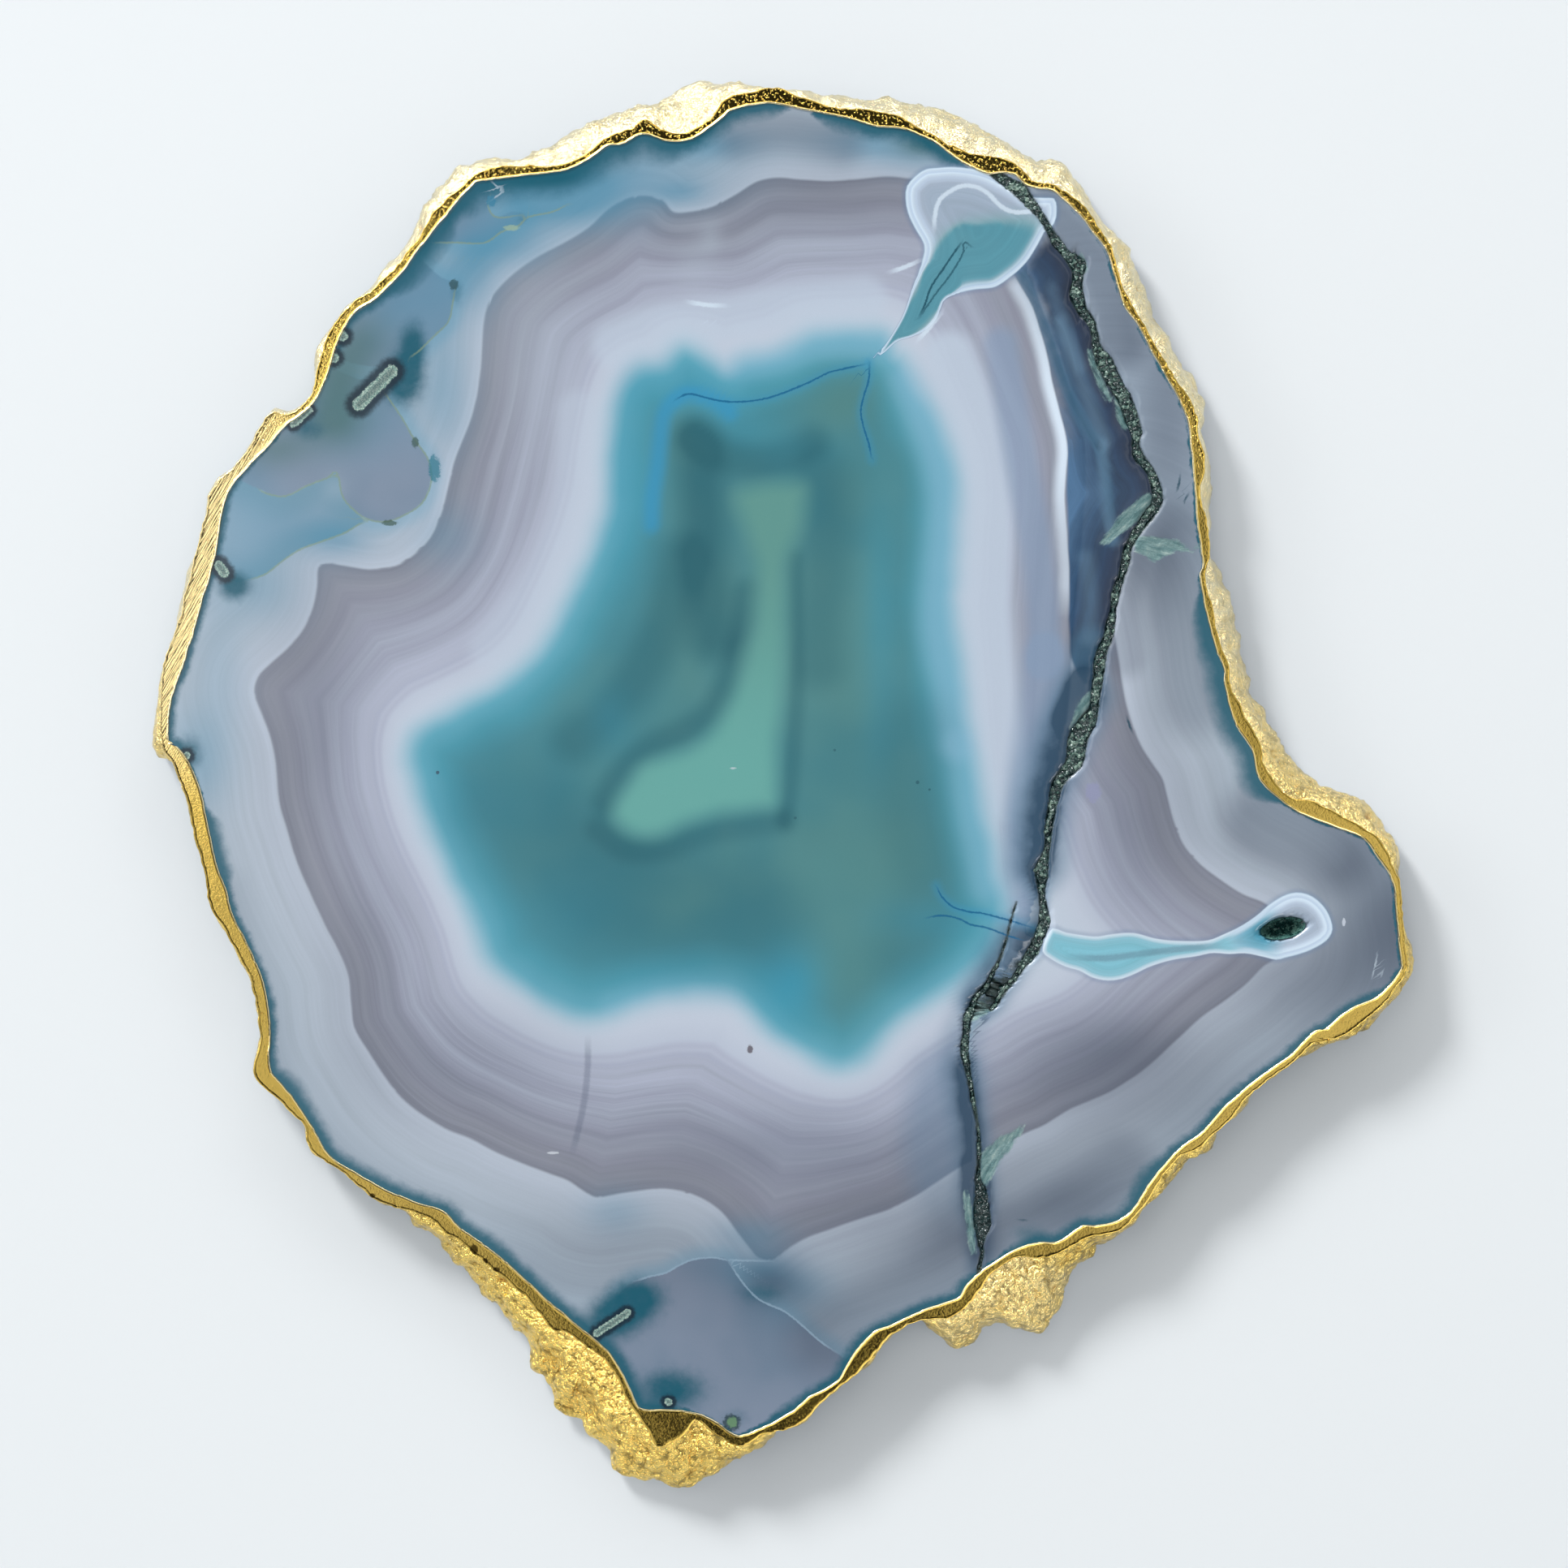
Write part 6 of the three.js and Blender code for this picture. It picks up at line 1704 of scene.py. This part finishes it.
def rim_lines(angles):
    """Distances of the face edge and the margin's outer edge, with the small unevenness of torn film."""
    inner, outer = reach(FACE_EDGE, angles), reach(MARGIN_EDGE, angles)
    inner = inner + layered(at_angle(angles, inner), INNER_TORN)
    outer = outer + layered(at_angle(angles, outer), OUTER_TORN)
    return inner, np.maximum(outer, inner + NARROWEST)


# %% Strip on the front face
def make_strip():
    """Lip, flat strip and outer edge as one closed band: each section point is so many millimetres beyond
    the face edge or before the margin's edge, at its own height."""
    angles, _ = even_angles(STRIP_STATIONS)
    inner, outer = rim_lines(angles)
    lean_in, lean_out = slant(angles, inner), slant(angles, outer)
    limit = (outer - inner) / (LEAN_ROOM * (LIP_SECTION[-1][0] - OUTER_SECTION[0][0]))
    lean_in, lean_out = np.minimum(lean_in, limit), np.minimum(lean_out, limit)
    columns = [(inner + lean_in * step, np.full(STRIP_STATIONS, z)) for step, z in LIP_SECTION]
    first = inner + lean_in * LIP_SECTION[-1][0]
    last = outer + lean_out * OUTER_SECTION[0][0]
    for share in np.linspace(0, 1, STRIP_POINTS + 2)[1:-1]:
        far = first + (last - first) * share
        columns.append((far, STRIP_LEVEL + layered(at_angle(angles, far), STRIP_DENTS)))
    columns += [(outer + lean_out * step, np.full(STRIP_STATIONS, z)) for step, z in OUTER_SECTION]
    columns.append((inner + UNDER_LIP[0] * lean_in, np.full(STRIP_STATIONS, UNDER_LIP[1])))
    points = np.stack([np.column_stack([at_angle(angles, far), z]) for far, z in columns], 1)
    count = len(columns)
    # The crest columns are marked for the painted highlight along the lip.
    crest = np.zeros((STRIP_STATIONS, count))
    crest[:, CREST] = 1
    faces = grid_faces(STRIP_STATIONS, count, True, True)
    return make_piece("gilded_strip", points.reshape(-1, 3), [faces], {"crest": crest.ravel()})


# %% Rind
RIND_STATIONS = 2400
RIND_POINTS = 28
RIND_LEVELS = np.array([8.62, 8.80, 7.9, 6.1, 3.15, 1.35, 0.12, 0.0])
BACK_SECTION = [(-0.5, 0.0), (-1.2, 0.0), (-2.0, 0.0), (-2.7, 0.0), (-3.0, 0.06), (-3.08, 0.2), (-3.0, 0.5)]
RIND_DEPTH = 1.3
UNDER_STRIP = 0.45
SEAT = 0.03
LEAST_RIND = 0.35
FOOT_INSET = 0.3
ANKLE_SHARE = 0.35
BRINK_AND_SHOULDER = ((0.38, 9.0, 51), (0.72, 7.0, 52))
WANDER = 0.16
FULL_RELIEF_WIDTH = 2.5
LEAST_RELIEF = 0.22
HELD_TOP = (0.13, 0.3)
HELD_FOOT = (0.08, 0.3)
HIDDEN_EVERY = 5
HIDDEN_LEVELS = (0.7, 7.9)
CRAG_MEAN = 0.62
DOME_MEAN = 0.72


def through(stakes, count):
    """Even steps along a Hermite curve through each station's stakes, whole arrays at once: the slope at a
    stake is half the step between its two neighbours."""
    before = np.concatenate([stakes[:, :1], stakes[:, :-1]], 1)
    after = np.concatenate([stakes[:, 1:], stakes[:, -1:]], 1)
    slope = (after - before) / 2
    place = np.linspace(0, stakes.shape[1] - 1, count)
    low = np.minimum(np.floor(place).astype(int), stakes.shape[1] - 2)
    u = (place - low)[None, :, None]
    return ((2 * u**3 - 3 * u**2 + 1) * stakes[:, low] + (u**3 - 2 * u**2 + u) * slope[:, low]
            + (3 * u**2 - 2 * u**3) * stakes[:, low + 1] + (u**3 - u**2) * slope[:, low + 1])


def grid_normals(points):
    """Unit normals of a grid that closes on itself along its rows: the cross product of the steps along
    its two directions, turned outwards."""
    around = np.roll(points, -1, 0) - np.roll(points, 1, 0)
    down = np.gradient(points, axis=1)
    normal = np.cross(down, around)
    return normal / np.maximum(np.linalg.norm(normal, axis=-1, keepdims=True), 1e-9)


def domes(points, size, seed):
    """Half balls of this size, less their mean height."""
    return np.sqrt(np.clip(1 - grains(points, size, seed)[0] ** 2, 0, 1)) - DOME_MEAN


def rind_relief(points):
    """Broken rock under gold: sharp ridges at two sizes, with rounded nuggets of plating on them."""
    ridges = 1.2 * (crags(points, 5.5, 41, 2) - CRAG_MEAN) + 0.75 * (crags(points, 1.8, 46, 2) - CRAG_MEAN)
    nuggets = 0.55 * domes(points, 1.7, 45) + 0.2 * domes(points, 0.95, 47)
    return ridges + nuggets + 0.45 * bumps(points, 2.6, 44)


def make_rind():
    """Outer side, back strip and hidden inner side as one closed band."""
    angles, _ = even_angles(RIND_STATIONS)
    _, outer = rim_lines(angles)
    rough = np.maximum(reach(ROUGH_EDGE, angles), outer + LEAST_RIND)
    foot = np.minimum(foot_reach(angles), rough - FOOT_INSET)
    width = rough - outer
    at = at_angle(angles, rough)
    brink, shoulder = [outer + width * (share + WANDER * bumps(at, size, seed))
                       for share, size, seed in BRINK_AND_SHOULDER]
    ankle = rough - ANKLE_SHARE * (rough - foot)
    reaches = [outer - UNDER_STRIP, outer - SEAT, brink, shoulder, rough, ankle, foot, foot - FOOT_INSET]
    levels = np.broadcast_to(RIND_LEVELS, (RIND_STATIONS, len(RIND_LEVELS)))
    stakes = np.stack([np.stack(reaches, 1), levels], -1)
    section = through(stakes, RIND_POINTS)
    ray = np.column_stack([np.cos(angles), np.sin(angles)])
    side = np.concatenate([FAN_CENTRE + section[..., :1] * ray[:, None], section[..., 1:]], -1)
    share = np.linspace(0, 1, RIND_POINTS)
    hold = ramp(share, *HELD_TOP) * ramp(1 - share, *HELD_FOOT)
    amount = rind_relief(side) * hold * np.clip(width / FULL_RELIEF_WIDTH, LEAST_RELIEF, 1)[:, None]
    pushed = side + grid_normals(side) * amount[..., None]
    pushed[..., 2] = np.clip(pushed[..., 2], 0.0, STRIP_LEVEL)
    inwards = np.column_stack([ray * RIND_DEPTH, np.zeros(RIND_STATIONS)])
    hidden = side[:, -2:1:-HIDDEN_EVERY] - inwards[:, None]
    hidden[..., 2] = np.clip(hidden[..., 2], *HIDDEN_LEVELS)
    back = np.stack([np.column_stack([at_angle(angles, foot + step), np.full(RIND_STATIONS, z)])
                     for step, z in BACK_SECTION], 1)
    points = np.concatenate([pushed, back, hidden], 1)
    # How deep each point lies in the relief, which the finish reads to paint reflected amber into the
    # clefts.
    cleft = np.zeros(points.shape[:2])
    cleft[:, :RIND_POINTS] = -amount
    faces = grid_faces(RIND_STATIONS, points.shape[1], True, True)
    return make_piece("gilded_rind", points.reshape(-1, 3), [faces], {"cleft": cleft.ravel()})


strip = make_strip()
rind = make_rind()
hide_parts("gold_edge")
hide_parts("gold_edge")

# %% [markdown]
# ## The gold's finish
# Plated gold is a metal, so its colour is the colour of what it mirrors times its own yellow. On the strip
# it is bright and smooth, with polishing scratches. Its left side is made paler as painted reflection, the
# crest of its lip paler as a painted highlight, and a few pits darker as painted shade. On the rind it is
# crumpled: nuggets with dark outlines of painted shade towards the bottom, a deeper amber in the clefts as
# painted reflection, and a rougher, frosted skin towards the top, whose paler colour is a painted
# highlight.

# %% Gold
STRIP_GOLD = tint(255, 218, 112)
RIND_GOLD = tint(255, 220, 122)
# A pale cream gold for painted sheen: painted reflection on the strip's left side, and painted highlight on
# the lip's crest, on the rind's upper side and on the lump.
PAINTED_SHEEN_GOLD = tint(255, 243, 204)
# Amber: random patches on the strip's plating, and painted reflection in the rind's clefts.
AMBER = tint(206, 130, 36)
# A dark brown for painted shade: in the strip's small pits and in the clefts round the rind's nuggets.
PAINTED_SHADE_BROWN = tint(58, 38, 10)
PITS = [((-73, -73), 0.5, 0.4), ((-55, -82.6), 0.7, 0.9), ((-53, -84.6), 0.5, 0.5),
        ((-51, -86.1), 0.6, 0.4)]
# The lump at the bottom edge, whose colour is partly painted paler as a painted highlight.
LUMP, LUMP_INVERSE = (37, -91, 0), (0.07, 0.1, 0)


def make_plating():
    """Height for a bump and two masks: fine grain, creases like crumpled foil, small flecks where the film
    blistered, rounded nuggets with sharp clefts between them, and scratches that run in one direction."""
    group, r, given, sink = new_effect(
        "plating", [("Place", "place"), ("Creases", "number"), ("Flecks", "number"),
                    ("Scratches", "number"), ("Nuggets", "number")],
        [("Height", "number"), ("Wear", "number"), ("Cleft", "number")])
    grain = r.noise(given["Place"], 2.4, 3.0, 0.6)
    crease = r.math("ABSOLUTE", r.noise(given["Place"], 0.75, 4.0, 0.62))
    blister = r.step(r.noise(given["Place"], 1.9, 2.0, 0.6), 0.08, 0.16)
    big = r.put("TexVoronoi", {"Vector": given["Place"], "Scale": 0.85}, output="Distance")
    small = r.put("TexVoronoi", {"Vector": given["Place"], "Scale": 2.1}, output="Distance")
    turned = r.put("Mapping", {"Vector": given["Place"], "Rotation": (0, 0, math.radians(60)),
                               "Scale": (8.0, 0.3, 1)}, vector_type="TEXTURE")
    scratch = r.noise(turned, 1.0, 2.0, 0.6)
    height = r.add(r.times(grain, 0.4), r.times(crease, given["Creases"]))
    height = r.add(height, r.times(blister, given["Flecks"]))
    height = r.add(height, r.times(scratch, given["Scratches"]))
    domes = r.add(r.times(big, big), r.times(small, 0.35))
    r.feed(sink.inputs["Height"], r.math("SUBTRACT", height, r.times(domes, given["Nuggets"])))
    r.feed(sink.inputs["Wear"], r.step(r.noise(given["Place"], 0.25, 3.0), -0.2, 0.25))
    r.feed(sink.inputs["Cleft"], r.step(r.add(big, r.times(small, 0.3)), 0.56, 0.86))
    return group


plating = make_plating()


def finish_strip():
    """Smooth gold: blistered at the top end, scratched along the left side, with a few pits at the lower
    left darkened as painted shade. Its left side and the lip's crest are made paler as painted reflection
    and painted highlight."""
    material, r, shader = new_finish("smooth gold")
    place = r.place()
    x, y, _ = r.parts(place)
    flecks = r.add(0.1, r.times(r.step(y, 45.0, 75.0), 1.1))
    scratches = r.times(r.times(r.step(x, -88.0, -96.0), r.step(y, 0.0, 12.0)), 1.6)
    film = use_effect(r, plating, {"Place": place, "Creases": 0.05, "Flecks": flecks,
                                   "Scratches": scratches, "Nuggets": 0.0})
    # Painted reflection: the strip's left side is made paler, as it looks where it mirrors the bright lamp
    # there.
    painted_sheen_left = r.times(r.step(x, -80.0, -98.0), r.step(y, -6.0, 14.0))
    colour = r.mix(r.times(painted_sheen_left, 0.5), STRIP_GOLD, PAINTED_SHEEN_GOLD)
    colour = r.mix(r.times(r.step(r.noise(place, 1.2, 3.0, 0.6), 0.1, 0.25), 0.3), colour, AMBER)
    # Painted highlight: the crest of the raised lip is made paler, as the thin bright line that it catches.
    colour = r.mix(r.times(r.stored("crest"), 0.75), colour, PAINTED_SHEEN_GOLD)
    # Painted shade: the small pits in the film are darkened in colour only.
    for (at_x, at_y), half_x, half_y in PITS:
        pit = use_effect(r, oval_spot, {"Place": place, "Centre": (at_x, at_y, 0),
                                        "Inverse": (1 / half_x, 1 / half_y, 0), "Unevenness": 0.0})
        colour = r.mix(r.times(pit["Amount"], 0.85), colour, PAINTED_SHADE_BROWN)
    r.feed(shader.inputs["Base Color"], colour)
    shader.inputs["Metallic"].default_value = 1.0
    r.feed(shader.inputs["Roughness"], r.add(0.07, r.times(film["Wear"], 0.04)))
    bump = r.put("Bump", {"Strength": 1.0, "Distance": 0.045 * MM, "Height": film["Height"]})
    r.feed(shader.inputs["Normal"], bump)
    return material


def finish_rind():
    """Crumpled gold with nuggets: dark outlines in the clefts as painted shade and amber in them as painted
    reflection; rougher and frosted towards the top, where a paler colour, also on the lump, is a painted
    highlight."""
    material, r, shader = new_finish("rough gold")
    place = r.place()
    x, y, _ = r.parts(place)
    nuggets = r.add(0.3, r.times(r.step(y, 0.0, -60.0), 1.0))
    film = use_effect(r, plating, {"Place": place, "Creases": 2.2, "Flecks": 0.3, "Scratches": 0.0,
                                   "Nuggets": nuggets})
    patchy = r.noise(place, 0.5, 3.0, 0.6)
    # Painted highlight: towards the top, the upper left and on the lump the colour is made paler, as these
    # parts look lit; there the gold is also rougher.
    paler = r.math("MAXIMUM", r.step(r.add(y, r.times(x, 0.6)), 30.0, 90.0),
                   r.step(r.add(y, r.times(x, -0.5)), 40.0, 100.0))
    lump = use_effect(r, oval_spot, {"Place": place, "Centre": LUMP, "Inverse": LUMP_INVERSE,
                                     "Unevenness": r.noise(place, 0.15, 3.0, 0.6)})
    paler = r.math("MAXIMUM", paler, r.times(lump["Amount"], 0.35))
    frost_and_painted_sheen = r.math("MULTIPLY", paler, r.add(0.85, patchy), clamp=True)
    colour = r.mix(frost_and_painted_sheen, RIND_GOLD, PAINTED_SHEEN_GOLD)
    # Painted reflection: the hollows of the relief get a deeper amber, the colour that light bounced
    # between gold folds takes.
    cleft = r.step(r.add(r.stored("cleft"), r.times(patchy, 0.7)), 0.25, 0.95)
    colour = r.mix(r.times(cleft, 0.8), colour, AMBER)
    # Painted shade: dark outlines in the clefts between the nuggets, fewer where the gold is frosted.
    outlines = r.times(r.times(film["Cleft"], r.step(patchy, -0.1, 0.12)),
                       r.math("SUBTRACT", 0.55, r.times(frost_and_painted_sheen, 0.45)))
    r.feed(shader.inputs["Base Color"], r.mix(outlines, colour, PAINTED_SHADE_BROWN))
    shader.inputs["Metallic"].default_value = 1.0
    rough = r.add(0.07, r.add(r.times(film["Wear"], 0.04), r.times(frost_and_painted_sheen, 0.12)))
    r.feed(shader.inputs["Roughness"], rough)
    bump = r.put("Bump", {"Strength": 1.0, "Distance": 0.34 * MM, "Height": film["Height"]})
    r.feed(shader.inputs["Normal"], bump)
    return material


dress(strip, finish_strip())
dress(rind, finish_rind())
# Gold focuses the lamps into bright spots, which would only speckle the dull surfaces beside it.
strip.visible_diffuse = False
rind.visible_diffuse = False

# %% [markdown]
# ## Floor, sky and lamps
# The slice lies on a plain pale floor. A sun at the upper left throws the soft shadow to the lower right,
# and a weak one straight overhead, which gold doesn't mirror, lifts that shadow. Lamps overhead on both
# sides leave a dark gap round the camera, as a photographer would set them, so that flat gold mirrors the
# dark gap in the middle and a bright lamp towards the sides. Two lamps further off light the rough rim from
# the top and the left. The last two are only mirrored: they give that rim its bright places at the upper
# left and the lower right.

# %% Floor
FLOOR_HALF = 3.0
FLOOR_GAP = 0.0002


def add_floor():
    """A large flat square a hair below the slice, so that the two faces don't coincide."""
    mesh = bpy.data.meshes.new("floor")
    signs = ((-1, -1), (1, -1), (1, 1), (-1, 1))
    corners = [(x * FLOOR_HALF, y * FLOOR_HALF, -FLOOR_GAP) for x, y in signs]
    mesh.from_pydata(corners, [], [(0, 1, 2, 3)])
    floor = bpy.data.objects.new("floor", mesh)
    bpy.context.scene.collection.objects.link(floor)
    material, _, shader = new_finish("pale floor")
    shader.inputs["Base Color"].default_value = tint(240, 244, 246)
    shader.inputs["Roughness"].default_value = 0.9
    shader.inputs["Specular IOR Level"].default_value = 0.1
    dress(floor, material)


add_floor()


# %% Sky
SKY_FIELDS = 7.0
SKY_STRENGTH = 0.72


def add_sky():
    """Bright near the horizon and dark overhead, with seven brighter fields round the horizon, so that gold
    mirrors bright and dark places side by side. The direction itself sets the brightness."""
    world = bpy.data.worlds.new("studio")
    world.use_nodes = True
    bpy.context.scene.world = world
    r = Recipe(world.node_tree)
    direction = r.put("TexCoord", output="Generated")
    x, y, z = r.parts(direction)
    level = r.ramp(z, 0.0, 1.0, [(0.0, (225, 230, 234)), (0.35, (218, 223, 226)), (0.62, (150, 154, 158)),
                                 (0.85, (92, 95, 98)), (1.0, (80, 82, 84))])
    around = r.math("ARCTAN2", y, x)
    fields = r.step(r.math("SINE", r.times(around, SKY_FIELDS)), -0.4, 0.5)
    fields = r.times(fields, r.step(z, 0.85, 0.5))
    bright = r.add(r.add(0.3, r.times(fields, 1.7)), r.times(r.step(y, 0.0, 1.0), 0.3))
    background = world.node_tree.nodes["Background"]
    r.feed(background.inputs["Color"], r.scaled(level, bright))
    background.inputs["Strength"].default_value = SKY_STRENGTH
    print("the sky is made of", len(world.node_tree.nodes), "nodes")


add_sky()


# %% Lamps
def add_lamp(title, place, aim, size, watts, only_mirrored=False):
    """A rectangular area lamp that faces the aim. Sizes and places are in metres. One that is only mirrored
    shows in the gloss of gold and stone but throws no light on dull surfaces."""
    data = bpy.data.lights.new(title, "AREA")
    data.shape = "RECTANGLE"
    data.size, data.size_y = size
    data.energy = watts
    lamp = bpy.data.objects.new(title, data)
    lamp.location = place
    lamp.visible_diffuse = not only_mirrored
    away = np.array(place) - np.array(aim)
    flat = math.hypot(away[0], away[1])
    lamp.rotation_euler = (math.atan2(flat, away[2]), 0, math.atan2(away[0], -away[1]) if flat else 0)
    bpy.context.scene.collection.objects.link(lamp)


def add_sun(title, direction, strength, width, mirrored=True):
    """A lamp as far off as the sun, so that its light is even over the whole floor. The width is the angle
    it fills, and a wide one throws a soft shadow. One that isn't mirrored only lights dull surfaces."""
    data = bpy.data.lights.new(title, "SUN")
    data.energy = strength
    data.angle = math.radians(width)
    lamp = bpy.data.objects.new(title, data)
    lamp.visible_glossy = mirrored
    x, y, z = direction
    lamp.rotation_euler = (math.atan2(math.hypot(x, y), z), 0, math.atan2(x, -y))
    bpy.context.scene.collection.objects.link(lamp)


add_sun("key", (-0.82, 1.12, 0.705), 2.0, 14)
add_sun("fill", (0.0, 0.0, 1.0), 0.36, 30, mirrored=False)
add_lamp("upper_left_overhead", (-0.45, 0.4, 1.2), (-0.45, 0.4, 0), (0.5, 0.8), 2.0)
add_lamp("lower_left_overhead", (-0.45, -0.4, 1.2), (-0.45, -0.4, 0), (0.5, 0.8), 0.7)
add_lamp("left_edge", (-0.15, -0.32, 1.2), (-0.15, -0.32, 0), (0.1, 0.56), 0.09)
add_lamp("right_overhead", (0.42, 0.0, 1.2), (0.42, 0, 0), (0.5, 1.6), 1.5)
add_lamp("right_edge", (0.13, -0.34, 1.2), (0.13, -0.34, 0), (0.08, 0.5), 0.065)
add_lamp("far", (0, 1.4, 0.75), (0, 0, 0), (2.0, 0.4), 6.5)
add_lamp("far_left", (-1.4, 0.5, 0.6), (0, 0, 0), (1.2, 0.4), 4.0)
add_lamp("mirrored_upper_left", (-0.6, 0.96, 1.13), (0, 0, 0), (1.1, 0.6), 6.5, True)
add_lamp("mirrored_lower_right", (0.55, -0.8, 1.0), (0, 0, 0), (1.0, 0.4), 6.0, True)
print(len(bpy.data.lights), "lamps over a floor", 2 * FLOOR_HALF, "m wide")

# %% [markdown]
# ## Colours as they are
# The standard transform shows each colour as the finishes give it, with no film curve over it.

# %% View transform
bpy.context.scene.view_settings.view_transform = "Standard"
